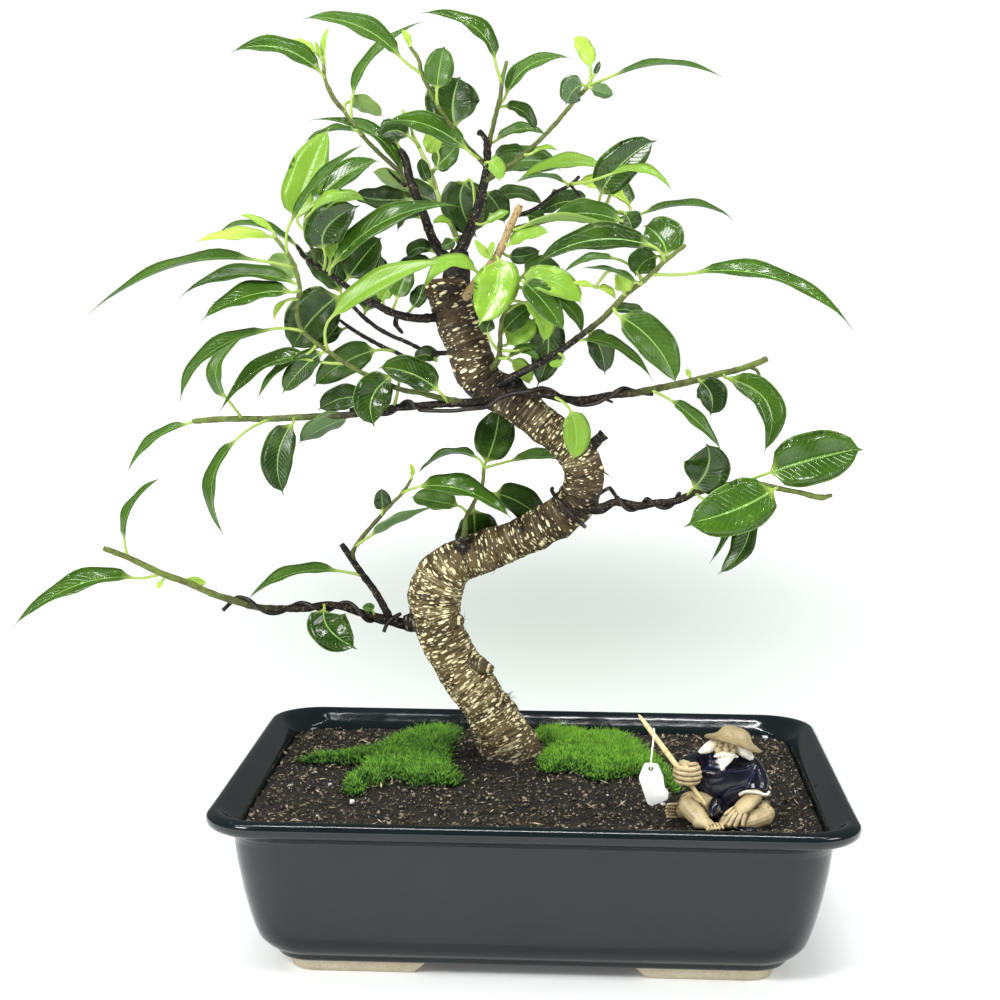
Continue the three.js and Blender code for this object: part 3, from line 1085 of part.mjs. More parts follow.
underFigure.translate(79, -58, figureBase - 10);
figure = figure.subtract(solid(underFigure));

// Rod through the raised fist, and the hole that leaves it free there.
const rodTop = new THREE.Vector3(42.4, -62.2, 105.4);
const rodFist = new THREE.Vector3(60.4, -63, 81.7);
const rodEnd = new THREE.Vector3(69, -63.4, 70.4);
const rodPath = [
  rodTop, rodTop.clone().lerp(rodFist, 0.2), rodTop.clone().lerp(rodFist, 0.6), rodFist, rodEnd,
];
const rodRadii = [0.5, 1.15, 1.3, 1.1, 0.9];
const rodRoom = stem(
  [rodTop, rodFist, rodEnd.clone().lerp(rodFist, -0.25)], [1.7, 1.6, 1.6], 8);
addNode('figurine', figure.subtract(rodRoom), 0xb79a78, 0.6);
addNode('fishing_rod', stem(rodPath, rodRadii, 7), 0xc9b27c, 0.6);

// Blank tag hung from the rod on a loop of thread through its eye.
const tagCentre = new THREE.Vector3(47.8, -66.4, 78.2);
const tagOutline = [
  [-2.8, 8.4], [2.2, 8.4], [4.6, 3.4], [5.4, -1.6], [7, -3.4], [6.6, -6.4], [0.4, -9.2],
  [-1.4, -8.4], [-5.2, 2.4],
];
const tagShape = new THREE.Shape(tagOutline.map(([x, z]) => new THREE.Vector2(x, z)));
const eyeHeight = 6.2;
const tagBlank = new THREE.ExtrudeGeometry(tagShape, { depth: 0.8, bevelEnabled: false });
tagBlank.rotateX(Math.PI / 2);
tagBlank.translate(tagCentre.x, tagCentre.y, tagCentre.z);
const tagEye = new THREE.CylinderGeometry(1, 1, 6, 8);
const eyeX = tagCentre.x - 0.4;
tagEye.translate(eyeX, tagCentre.y, tagCentre.z + eyeHeight);
addNode('tag', solid(tagBlank).subtract(solid(tagEye)), 0xf2f2ee, 0.6);

const threadRadius = 0.3;
const hangPoint = rodTop.clone().lerp(rodFist, 0.33);
const threadTop = hangPoint.z + 1.9;
const eyeZ = tagCentre.z + eyeHeight;
const threadLoop = [
  new THREE.Vector3(hangPoint.x + 0.2, hangPoint.y, threadTop + 0.3),
  new THREE.Vector3(hangPoint.x + 0.3, hangPoint.y - 1.9, threadTop - 1.8),
  new THREE.Vector3(eyeX + 0.1, tagCentre.y - 1.2, eyeZ + 3.6),
  new THREE.Vector3(eyeX, tagCentre.y - 1.3, eyeZ + 0.6),
  new THREE.Vector3(eyeX, tagCentre.y - 0.4, eyeZ + 0.1),
  new THREE.Vector3(eyeX, tagCentre.y + 0.6, eyeZ + 0.6),
  new THREE.Vector3(eyeX + 0.1, tagCentre.y + 0.6, eyeZ + 3.6),
  new THREE.Vector3(hangPoint.x + 0.3, hangPoint.y + 1.9, threadTop - 1.8),
];
const threadCurve = new THREE.CatmullRomCurve3(threadLoop, true, 'centripetal');
function threadRing(share) {
  const point = threadCurve.getPointAt(share);
  const along = threadCurve.getTangentAt(share);
  const side = new THREE.Vector3(1, 0, 0).addScaledVector(along, -along.x).normalize();
  const up = along.clone().cross(side);
  const ring = [];
  for (let j = 0; j < 4; j += 1) {
    const angle = (Math.PI / 2) * j;
    const spot = point.clone().addScaledVector(side, threadRadius * Math.cos(angle));
    ring.push(spot.addScaledVector(up, threadRadius * Math.sin(angle)));
  }
  return ring;
}
const threadRings = [];
for (let k = 0; k < 20; k += 1) {
  threadRings.push(threadRing(k / 20));
}
addNode('tag_thread', skin(threadRings, true), 0xe6e2d8, 0.8);

// The part stands over the origin: the middle of its box, in x and y.
const box = new THREE.Box3().setFromObject(group);
const middle = box.getCenter(new THREE.Vector3());
for (const mesh of group.children) {
  mesh.geometry.translate(-middle.x, -middle.y, 0);
}

export default group;
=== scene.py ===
import bpy
import math
import numpy as np
from mathutils import Matrix, Vector
from mathutils.geometry import delaunay_2d_cdt


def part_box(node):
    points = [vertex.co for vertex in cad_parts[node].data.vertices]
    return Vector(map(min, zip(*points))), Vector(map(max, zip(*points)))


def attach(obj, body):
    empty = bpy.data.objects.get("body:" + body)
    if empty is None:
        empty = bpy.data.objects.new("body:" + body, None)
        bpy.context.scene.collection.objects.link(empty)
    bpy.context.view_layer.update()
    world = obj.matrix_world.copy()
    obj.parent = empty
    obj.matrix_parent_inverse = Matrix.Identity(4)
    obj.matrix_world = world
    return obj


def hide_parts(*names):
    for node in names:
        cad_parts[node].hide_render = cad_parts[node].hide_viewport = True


# A ficus bonsai in a low black pot. Sizes below are in millimetres from the middle of the
# pot's underside on the table, with the front towards -Y; makeMesh turns them into metres.

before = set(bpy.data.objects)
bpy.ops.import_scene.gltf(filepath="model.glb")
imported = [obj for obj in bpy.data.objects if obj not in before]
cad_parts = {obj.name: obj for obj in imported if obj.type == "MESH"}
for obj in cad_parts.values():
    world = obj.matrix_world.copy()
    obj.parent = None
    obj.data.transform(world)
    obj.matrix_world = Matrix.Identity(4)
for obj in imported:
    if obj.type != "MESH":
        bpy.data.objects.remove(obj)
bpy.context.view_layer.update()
potLow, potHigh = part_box("pot")
potMiddle = (potLow + potHigh) / 2 * 1000
potDepth = 2.0
shift = np.array([potMiddle.x, potMiddle.y - potDepth, 0.0])
fullTurn = 2 * math.pi
noQuads = np.zeros((0, 4), int)

# Places on the tree are read as x and z in one upright plane through the trunk, and are
# carried along the line of sight of the front view to their own depth.
sight = {
    "plane": 24.0,
    "eye": np.array([18.8, -812.5, 284.7]),
    "lens": 68.4,
    "yaw": -0.044,
    "pitch": 0.123,
    "roll": 0.008,
}


def sightScale(depth):
    return (depth - sight["eye"][1]) / (sight["plane"] - sight["eye"][1])


def seen(x, z, depth):
    # eye + (place in the plane - eye) * scale
    x, z, depth = np.broadcast_arrays(np.asarray(x, float), z, depth)
    eye, scale = sight["eye"], sightScale(depth)
    return np.stack([eye[0] + (x - eye[0]) * scale, depth, eye[2] + (z - eye[2]) * scale], axis=-1)


def seenRows(rows):
    # rows of x, z and depth
    return seen(*np.asarray(rows, float)[:, :3].T)


def seenStem(rows):
    # rows of x, z, depth and radius
    rows = np.asarray(rows, float)
    return seenRows(rows), rows[:, 3] * sightScale(rows[:, 2])


def unit(v):
    return v / np.maximum(np.linalg.norm(v, axis=-1, keepdims=True), 1e-9)


def smoothStep(low, high, x):
    # 3t^2 - 2t^3 with t running from 0 at low to 1 at high
    t = np.clip((x - low) / (high - low), 0, 1)
    return t * t * (3 - 2 * t)


def smoothPath(rows, steps):
    # Catmull-Rom through every row, all columns alike:
    # half of 2b + (c-a)t + (2a-5b+4c-d)t^2 + (3b-a-3c+d)t^3
    rows = np.asarray(rows, float)
    p = np.vstack([2 * rows[:1] - rows[1:2], rows, 2 * rows[-1:] - rows[-2:-1]])
    a, b, c, d = p[:-3, None], p[1:-2, None], p[2:-1, None], p[3:, None]
    t = np.linspace(0, 1, steps, endpoint=False)[None, :, None]
    curve = 2 * b + (c - a) * t + (2 * a - 5 * b + 4 * c - d) * t**2
    curve = 0.5 * (curve + (3 * b - a - 3 * c + d) * t**3)
    return np.vstack([curve.reshape(-1, rows.shape[1]), rows[-1:]])


def smoothLoop(rows, steps):
    # the same round a closed loop
    rows = np.asarray(rows, float)
    return smoothPath(np.vstack([rows[-1:], rows, rows[:2]]), steps)[steps:-steps - 1]


def curve3(a, b, c, t):
    # quadratic (1-t)^2 a + 2t(1-t) b + t^2 c
    t = t[:, None]
    return (1 - t) ** 2 * a + 2 * t * (1 - t) * b + t**2 * c


def waveNoise(points, size, seed):
    # sum of sine waves of random direction and phase, about -1 to 1, lumps of the given size
    count = 24
    draw = np.random.default_rng(seed)
    way = unit(draw.normal(size=(count, 3))) * draw.uniform(0.6, 1.6, (count, 1))
    phase = draw.uniform(0, fullTurn, count)
    return np.sin(points @ way.T * fullTurn / size + phase).sum(axis=-1) / math.sqrt(count)


def runLength(points):
    return np.append(0, np.cumsum(np.linalg.norm(np.diff(points, axis=0), axis=1)))


def onLine(spots, line):
    # share along each straight run of the line that lies nearest to each spot, and how far off
    a, d = line[:-1], np.diff(line, axis=0)
    way = spots[:, None] - a
    share = np.clip((way * d).sum(-1) / (d**2).sum(-1), 0, 1)
    return share, np.linalg.norm(way - share[..., None] * d, axis=-1)


def roundAngles(count):
    return np.arange(count) * fullTurn / count


def around(angle, side, up):
    # cos(a) side + sin(a) up, for every path point and every angle
    return np.cos(angle)[None, :, None] * side[:, None] + np.sin(angle)[None, :, None] * up[:, None]


def redColour(red):
    return np.stack([red, 0 * red, 0 * red, 0 * red + 1], axis=-1)


def gridFaces(rows, columns, closed=False):
    # quads between neighbours of a rows by columns grid whose columns close round
    index = np.arange(rows * columns).reshape(rows, columns)
    right = np.roll(index, -1, axis=1)
    quads = np.stack([index, right, np.roll(right, -1, axis=0), np.roll(index, -1, axis=0)], axis=-1)
    return quads[: rows if closed else rows - 1].reshape(-1, 4)


def ringShape(rings, uv=None, capped=True):
    # rings (n, m, 3) joined to one skin, with a middle point closing each end
    n, m = rings.shape[:2]
    points = rings.reshape(-1, 3)
    tris = np.zeros((0, 3), int)
    if uv is None:
        uv = np.stack(np.meshgrid(np.arange(m) / m, np.arange(n) / max(n - 1, 1)), axis=-1)
    uv = uv.reshape(-1, 2)
    if capped:
        points = np.vstack([points, rings[0].mean(axis=0), rings[-1].mean(axis=0)])
        uv = np.vstack([uv, uv[:1], uv[-1:]])
        j = np.arange(m)
        k = (j + 1) % m
        last = (n - 1) * m
        start = np.stack([k, j, np.full(m, n * m)], axis=-1)
        end = np.stack([last + j, last + k, np.full(m, n * m + 1)], axis=-1)
        tris = np.vstack([start, end])
    return outward({"points": points, "quads": gridFaces(n, m), "tris": tris, "uv": uv})


def turnRound(shape):
    shape["quads"], shape["tris"] = shape["quads"][:, ::-1], shape["tris"][:, ::-1]


def outward(shape):
    # signed volume by tetrahedra from the origin; turned round if it is negative
    p, quads = shape["points"], shape["quads"]
    t = np.vstack([p[quads[:, [0, 1, 2]]], p[quads[:, [0, 2, 3]]], p[shape["tris"]]])
    if np.einsum("ij,ij->i", t[:, 0], np.cross(t[:, 1], t[:, 2])).sum() < 0:
        turnRound(shape)
    return shape


def joinShapes(shapes):
    # one shape from many, with face numbers moved on past the points before them
    counts = np.cumsum([0] + [len(s["points"]) for s in shapes])
    out = {}
    for key in shapes[0]:
        if key in ("quads", "tris"):
            out[key] = np.vstack([s[key] + c for s, c in zip(shapes, counts)])
        else:
            out[key] = np.concatenate([s[key] for s in shapes])
    return out


def holeWall(low, high):
    # the wall of a round hole faces its own middle
    wall = ringShape(np.stack([low, high]), capped=False)
    p = wall["points"]
    a, b, c = (p[wall["quads"][:, k]] for k in range(3))
    if (np.cross(b - a, c - a) * (a - p.mean(axis=0))).sum() > 0:
        turnRound(wall)
    return wall


def flatFaces(outline, holes, up):
    # the inside of a flat outline by constrained triangles, its round holes left out; every
    # face has its corners the same way round, anticlockwise for up
    edges, start = [], 0
    for loop in (outline, *holes):
        edges += [(start + i, start + (i + 1) % len(loop)) for i in range(len(loop))]
        start += len(loop)
    found = delaunay_2d_cdt([Vector(p) for p in np.vstack([outline, *holes])], edges, [], 1, 1e-4)
    spots = np.array([tuple(v) for v in found[0]])
    tris = np.array([face for face in found[2] if len(face) == 3])
    for hole in holes:
        middle = hole.mean(axis=0)
        far = np.linalg.norm(spots[tris].mean(axis=1) - middle, axis=1)
        tris = tris[far > 0.985 * np.linalg.norm(hole[0] - middle)]
    a, b, c = (spots[tris[:, k]] for k in range(3))
    facing = (b[:, 0] - a[:, 0]) * (c[:, 1] - a[:, 1]) - (b[:, 1] - a[:, 1]) * (c[:, 0] - a[:, 0])
    flip = (facing > 0) != up
    tris[flip] = tris[flip][:, ::-1]
    return spots, tris


def pathFrames(points):
    # unit tangents, and a side direction carried along the path without twist
    along = unit(np.gradient(points, axis=0))
    side = np.array([0.0, 1, 0])
    if abs(along[0] @ side) > 0.9:
        side = np.array([1.0, 0, 0])
    sides = []
    for t in along:
        side = side - t * (side @ t)
        side = side / np.linalg.norm(side)
        sides.append(side)
    return np.array(sides), np.cross(along, sides)


def tube(points, radii, sides, ripple=None):
    side, up = pathFrames(points)
    angle = roundAngles(sides)
    out = around(angle, side, up)
    radius = np.asarray(radii)[:, None, None] * np.ones((1, sides, 1))
    rings = points[:, None] + out * radius
    if ripple is not None:
        rings = rings + out * ripple(rings)[..., None]
    length = runLength(points)
    u, v = np.meshgrid(np.arange(sides) / sides, length)
    shape = ringShape(rings, np.stack([u, v], axis=-1))
    # unrolled place on the stem: radius * (cos a, sin a) and the length along it
    turn = np.stack([np.cos(angle), np.sin(angle)], axis=-1)[None] * radius
    grain = np.concatenate([turn, v[..., None], np.ones_like(v)[..., None]], axis=-1).reshape(-1, 4)
    shape["grain"] = np.vstack([grain, [0, 0, 0, 1], [0, 0, length[-1], 1]])
    return shape


def makeMesh(name, shape, colours=None):
    # points in metres by foreach_set; colours is a dictionary of per point RGBA arrays
    mesh = bpy.data.meshes.new(name)
    points = (shape["points"] + shift) / 1000
    mesh.vertices.add(len(points))
    mesh.vertices.foreach_set("co", points.astype(np.float32).ravel())
    corners = np.concatenate([shape["quads"].ravel(), shape["tris"].ravel()]).astype(np.int32)
    nq, nt = len(shape["quads"]), len(shape["tris"])
    starts = np.concatenate([np.arange(nq) * 4, nq * 4 + np.arange(nt) * 3]).astype(np.int32)
    mesh.loops.add(len(corners))
    mesh.loops.foreach_set("vertex_index", corners)
    mesh.polygons.add(nq + nt)
    mesh.polygons.foreach_set("loop_start", starts)
    mesh.update(calc_edges=True)
    if "uv" in shape:
        layer = mesh.uv_layers.new(name="UVMap")
        layer.data.foreach_set("uv", shape["uv"][corners].astype(np.float32).ravel())
    for key, values in (colours or {}).items():
        layer = mesh.attributes.new(key, "FLOAT_COLOR", "POINT")
        layer.data.foreach_set("color", values.astype(np.float32).ravel())
    mesh.validate()
    mesh.shade_smooth()
    piece = bpy.data.objects.new(name, mesh)
    bpy.context.scene.collection.objects.link(piece)
    return piece


def makeObject(name, shape, material, nodes, colours=None, sharpAngle=None):
    piece = makeMesh(name, shape, colours)
    if sharpAngle is not None:
        piece.data.set_sharp_from_angle(angle=math.radians(sharpAngle))
    piece.data.materials.append(material)
    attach(piece, "root")
    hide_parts(*nodes)
    return piece


def weld(piece):
    # neighbours that were made apart share their points, so the shading runs over them
    piece.modifiers.new("weld", "WELD").merge_threshold = 0.00001


# Shader helpers. A value is a number, a colour or another node's output.

def feed(socket, value):
    if isinstance(value, bpy.types.NodeSocket):
        socket.id_data.links.new(value, socket)
    else:
        socket.default_value = value


def newNode(tree, kind, inputs=(), **settings):
    # inputs by name or number, after the node's own settings
    node = tree.nodes.new("ShaderNode" + kind)
    for key, value in settings.items():
        setattr(node, key, value)
    for key, value in dict(inputs).items():
        feed(node.inputs[key], value)
    return node


def treeOf(*values):
    return next(value.id_data for value in values if isinstance(value, bpy.types.NodeSocket))


def mathNode(operation, *values, clamp=False):
    inputs = dict(enumerate(values))
    return newNode(treeOf(*values), "Math", inputs, operation=operation, use_clamp=clamp).outputs[0]


def times(a, b, clamp=False):
    return mathNode("MULTIPLY", a, b, clamp=clamp)


def plus(a, b):
    return mathNode("ADD", a, b)


def minus(a, b):
    return mathNode("SUBTRACT", a, b)


def timesPlus(a, b, c):
    return mathNode("MULTIPLY_ADD", a, b, c)


def mix(factor, a, b):
    a, b = (v if isinstance(v, bpy.types.NodeSocket) else (*v, 1) for v in (a, b))
    return newNode(treeOf(factor, a, b), "Mix", {0: factor, 6: a, 7: b}, data_type="RGBA").outputs[2]


def ramp(value, low, high):
    # 0 at low and 1 at high, eased at both ends
    inputs = {"Value": value, "From Min": low, "From Max": high}
    return newNode(treeOf(value), "MapRange", inputs, interpolation_type="SMOOTHSTEP").outputs[0]


def noise(vector, scale, detail=3.0):
    inputs = {"Vector": vector, "Scale": scale, "Detail": detail, "Roughness": 0.55}
    return newNode(treeOf(vector), "TexNoise", inputs).outputs["Fac"]


def attribute(tree, name):
    return newNode(tree, "Attribute", attribute_name=name).outputs


def channels(tree, name):
    return newNode(tree, "SeparateColor", {0: attribute(tree, name)["Color"]}).outputs


def objectPlace(tree):
    return newNode(tree, "TexCoord").outputs["Object"]


def scaledVector(vector, scale):
    return newNode(treeOf(vector), "VectorMath", {0: vector, 1: scale}, operation="MULTIPLY").outputs[0]


def distanceTo(tree, spot, stretch=(1.0, 1.0, 1.0)):
    # from a place on the piece, in metres, to a spot given in millimetres
    spot = (np.array(spot) + shift) / 1000 * np.array(stretch)
    inputs = {0: scaledVector(objectPlace(tree), stretch), 1: spot}
    return newNode(tree, "VectorMath", inputs, operation="DISTANCE").outputs["Value"]


def makeGroup(name, inputs, outputs):
    # a shader node group with named sockets: a vector, then numbers with their usual values
    tree = bpy.data.node_groups.new(name, "ShaderNodeTree")
    for label, value in inputs.items():
        kind = "NodeSocketVector" if value is None else "NodeSocketFloat"
        socket = tree.interface.new_socket(name=label, in_out="INPUT", socket_type=kind)
        if value is not None:
            socket.default_value = value
    for label in outputs:
        tree.interface.new_socket(name=label, in_out="OUTPUT", socket_type="NodeSocketFloat")
    return tree, tree.nodes.new("NodeGroupInput").outputs, tree.nodes.new("NodeGroupOutput").inputs


def useGroup(tree, group, **values):
    return newNode(tree, "Group", values, node_tree=group).outputs


def newMaterial(name):
    material = bpy.data.materials.new(name)
    material.use_nodes = True
    tree = material.node_tree
    return material, tree, tree.nodes["Principled BSDF"]


def dress(shader, colour, roughness, specular=0.5):
    feed(shader.inputs["Base Color"], colour)
    feed(shader.inputs["Roughness"], roughness)
    feed(shader.inputs["Specular IOR Level"], specular)


def bump(shader, height, strength, distance):
    inputs = {"Strength": strength, "Distance": distance, "Height": height}
    feed(shader.inputs["Normal"], newNode(shader.id_data, "Bump", inputs).outputs[0])


# Mottle: coarse and fine noise mixed, as a mask that varies over the surface
mottleGroup, groupIn, groupOut = makeGroup(
    "mottle", {"Vector": None, "Scale": 100.0, "Fine": 0.35}, ["Mask"])
coarse, fine = (
    newNode(mottleGroup, "TexNoise", {"Vector": groupIn["Vector"], "Scale": scale, "Detail": 4.0}).outputs[0]
    for scale in (groupIn["Scale"], times(groupIn["Scale"], 6.0)))
feed(groupOut["Mask"], plus(times(coarse, minus(1.0, groupIn["Fine"])), times(fine, groupIn["Fine"])))

# Lenticels: pale lens shaped marks across a stem. The vector is (r cos a, r sin a, along) in
# millimetres, so it has no seam; each Voronoi cell holds one mark where its random green is
# below Amount, with a radius of 0.2 + 0.36 * random red cells.
lenticelGroup, groupIn, groupOut = makeGroup(
    "lenticels", {"Vector": None, "Amount": 0.5, "Across": 0.33, "Along": 0.8}, ["Mask"])
warp = newNode(lenticelGroup, "TexNoise", {"Vector": groupIn["Vector"], "Scale": 0.36, "Detail": 2.0})
inputs = {0: warp.outputs["Color"], 1: (1.6, 1.6, 0.9), 2: groupIn["Vector"]}
warped = newNode(lenticelGroup, "VectorMath", inputs, operation="MULTIPLY_ADD")
axes = newNode(lenticelGroup, "SeparateXYZ", {0: warped.outputs[0]}).outputs
axes = {axis: times(axes[axis], groupIn[size])
        for axis, size in (("X", "Across"), ("Y", "Across"), ("Z", "Along"))}
cellPlace = newNode(lenticelGroup, "CombineXYZ", axes).outputs[0]
cells = newNode(lenticelGroup, "TexVoronoi", {"Vector": cellPlace, "Scale": 1.0}).outputs
chance = newNode(lenticelGroup, "SeparateColor", {0: cells["Color"]}).outputs
inside = times(minus(timesPlus(chance[0], 0.36, 0.2), cells["Distance"]), 11.0, clamp=True)
chosen = times(minus(groupIn["Amount"], chance[1]), 12.0, clamp=True)
feed(groupOut["Mask"], times(inside, chosen))

# Veins: the rib along the middle, side veins slanting to the tip, and a painted highlight along the rim of
# the blade. U runs
# 0 to 1 across and V along; side veins are where fract(V * Count - |U - 0.5| * Slant) is near a half.
veinGroup, groupIn, groupOut = makeGroup(
    "leafVeins", {"U": 0.5, "V": 0.5, "Count": 15.0, "Slant": 7.0}, ["Rib", "Side", "Rim"])
away = mathNode("ABSOLUTE", minus(groupIn["U"], 0.5))
ribbed = minus(1.0, mathNode("DIVIDE", away, timesPlus(groupIn["V"], -0.02, 0.034)))
feed(groupOut["Rib"], times(ribbed, 2.0, clamp=True))
feed(groupOut["Rim"], ramp(away, 0.455, 0.497))
step = mathNode("FRACT", minus(times(groupIn["V"], groupIn["Count"]), times(away, groupIn["Slant"])))
feed(groupOut["Side"], ramp(mathNode("ABSOLUTE", minus(step, 0.5)), 0.16, 0.03))


def mottled(tree, scale, fine):
    return useGroup(tree, mottleGroup, Vector=objectPlace(tree), Scale=scale, Fine=fine)["Mask"]


def mottledMaterial(name, low, high, scale, fine, reach=None, rough=0.6, relief=None):
    # two colours by the mottle, which also gives the roughness its slope and start, and the bump
    # its strength and distance, where they are asked for
    material, tree, shader = newMaterial(name)
    mottle = mottled(tree, scale, fine)
    colour = mix(ramp(mottle, *reach) if reach else mottle, low, high)
    dress(shader, colour, timesPlus(mottle, *rough) if isinstance(rough, tuple) else rough)
    if relief:
        bump(shader, mottle, *relief)
    return material


def makeCamera():
    # forward from yaw and pitch, then the picture rolled about it
    data = bpy.data.cameras.new("frontCamera")
    data.sensor_width = 36
    data.lens = sight["lens"]
    data.clip_start, data.clip_end = 0.05, 20
    yaw, pitch, roll = sight["yaw"], sight["pitch"], sight["roll"]
    level = math.cos(pitch)
    forward = np.array([math.sin(yaw) * level, math.cos(yaw) * level, -math.sin(pitch)])
    right = np.array([math.cos(yaw), -math.sin(yaw), 0])
    up = np.cross(right, forward)
    matrix = np.eye(4)
    matrix[:3, 0] = right * math.cos(roll) + up * math.sin(roll)
    matrix[:3, 1] = up * math.cos(roll) - right * math.sin(roll)
    matrix[:3, 2] = -forward
    matrix[:3, 3] = (sight["eye"] + shift) / 1000
    camera = bpy.data.objects.new("frontCamera", data)
    bpy.context.scene.collection.objects.link(camera)
    camera.matrix_world = Matrix(matrix.tolist())
    bpy.context.scene.camera = camera


# Wood of the limbs.

wood = {
    "dark": (0.006, 0.0045, 0.004),
    "darkHigh": (0.022, 0.016, 0.012),
    "darkMark": (0.34, 0.27, 0.15),
    "green": (0.13, 0.19, 0.035),
    "greenBrown": (0.085, 0.075, 0.03),
    "tan": (0.34, 0.24, 0.11),
    "tanMark": (0.09, 0.06, 0.03),
    "pale": (0.36, 0.44, 0.14),
    "roughness": 0.55,
    "nodeEvery": 9.0,
    "nodeSwell": 0.14,
    "wireBite": 0.42,
}

# Colour weights along a stem, from its root to its tip: green, tan, pale
barkTints = {
    "k": ((0, 0, 0), (0, 0, 0)),
    "K": ((0, 0, 0), (0.9, 0, 0)),
    "g": ((0.45, 0, 0), (1, 0, 0)),
    "t": ((0, 1, 0), (0, 1, 0)),
    "p": ((0.6, 0, 0.7), (0.6, 0, 1)),
}


def stemShape(rows, bark, seed, wired=False):
    # Catmull-Rom path with bumps every few millimetres where old leaves stood; a limb that
    # carries wire has grown out to it
    points, radii = seenStem(smoothPath(rows, 7))
    length = runLength(points)
    swell = np.exp(-(((length / wood["nodeEvery"]) % 1 - 0.5) / 0.09) ** 2)
    radii = radii * (0.94 + wood["nodeSwell"] * swell)
    radii[-1] *= 0.8
    if wired:
        radii = radii + wood["wireBite"]
    sides = 12 if radii.max() > 1.3 else 8
    shape = tube(points, radii, sides, lambda p: 0.09 * waveNoise(p, 3.2, seed))
    share = np.append(np.repeat(length / length[-1], sides), [0, 1])[:, None]
    if bark == "K":
        share = smoothStep(0.42, 0.72, share)
    first, last = np.array(barkTints[bark], float)
    shape["tint"] = np.hstack([first + (last - first) * share, np.ones((len(share), 1))])
    return shape


def makeBarkMaterial():
    material, tree, shader = newMaterial("limbBark")
    tint = channels(tree, "woodTint")
    mottle = mottled(tree, 260.0, 0.4)
    dashes = useGroup(tree, lenticelGroup, Vector=attribute(tree, "woodGrain")["Vector"],
                      Amount=0.5, Across=0.9, Along=0.95)["Mask"]
    dark = mix(ramp(mottle, 0.42, 0.66), wood["dark"], wood["darkHigh"])
    dark = mix(times(dashes, 0.35), dark, wood["darkMark"])
    colour = mix(tint[0], dark, mix(ramp(mottle, 0.35, 0.6), wood["greenBrown"], wood["green"]))
    colour = mix(tint[1], colour, mix(dashes, wood["tan"], wood["tanMark"]))
    dress(shader, mix(tint[2], colour, wood["pale"]), wood["roughness"], 0.2)
    bump(shader, plus(mottle, dashes), 0.5, 0.0004)
    return material


# Leaves.

leaf = {
    "bladeStations": 18,
    "stalkStations": 5,
    "stalkRadius": 0.62,
    "thickness": 0.42,
    "ribSwell": 0.55,
    "fold": 0.3,
    "wave": 0.12,
    "mostSag": 0.16,
    "tipShare": 0.12,
    "hook": 0.05,
    "hookWay": np.array([0.15, 0.2, 1.0]),
    # dark, middle and bright: leaf greens, partly the leaf's own and partly painted shade and light
    "dark": (0.009, 0.027, 0.003),
    "middle": (0.034, 0.090, 0.007),
    "bright": (0.15, 0.31, 0.022),
    "young": (0.36, 0.52, 0.06),
    "under": (0.085, 0.15, 0.065),
    "rib": (0.24, 0.42, 0.10),
    "stalk": (0.30, 0.42, 0.08),
    "beads": 32,
    "beadRings": [(0.92, -0.15), (1.0, 0.15), (0.85, 0.55), (0.4, 0.85)],
}

# Tone (dark to bright), youth (yellow) and wetness of each letter in the leaf rows; the tone is partly the
# leaf's own green and partly painted shade and light, dark for shaded leaves deep in the crown and bright
# for lit ones
leafShadeAndTone = {
    "d": (0.12, 0.0, 0.0),
    "m": (0.42, 0.0, 0.0),
    "b": (0.85, 0.15, 0.0),
    "y": (0.95, 0.95, 0.0),
    "p": (0.9, 0.55, 0.0),
    "g": (0.45, 0.0, 0.0),
    "w": (0.38, 0.0, 1.0),
    "W": (0.1, 0.0, 1.0),
    "B": (0.9, 0.2, 1.0),
}

# Columns across a leaf's section: over the top from left to right, then back underneath
sectionColumns = np.array([-1, -0.6, -0.16, 0, 0.16, 0.6, 1, 0.6, 0.16, 0, -0.16, -0.6])
isUnder = np.array([0.5, 0, 0, 0, 0, 0, 0.5, 1, 1, 1, 1, 1])


def nearestOnStems(stems, x, z):
    # the place on the stems that looks nearest to x, z, and its depth
    best = (1e9, None)
    for rows in stems:
        rows = np.asarray(rows, float)[:, :3]
        share, away = onLine(np.array([[x, z]]), rows[:, :2])
        k = away[0].argmin()
        if away[0, k] < best[0]:
            best = (away[0, k], rows[k] + share[0, k] * (rows[k + 1] - rows[k]))
    return seen(*best[1]), best[1][2]


def bladeProfile(t, stout):
    # share of the half width, ~ t^a (1-t)^b with a short drawn-out tip, blunter in stout leaves
    blunt = smoothStep(0.22, 0.5, stout)
    power = 1.05 - 0.5 * blunt
    peak = 0.4 + 0.07 * blunt
    body = np.clip(t / (1 - 0.5 * leaf["tipShare"]), 0, 1)
    profile = (body / peak) ** (power * peak / (1 - peak)) * ((1 - body) / (1 - peak)) ** power
    drawn = 0.13 * smoothStep(1.02, 1 - 1.8 * leaf["tipShare"], t)
    return np.maximum(profile, drawn * smoothStep(0.5, 0.9, t))


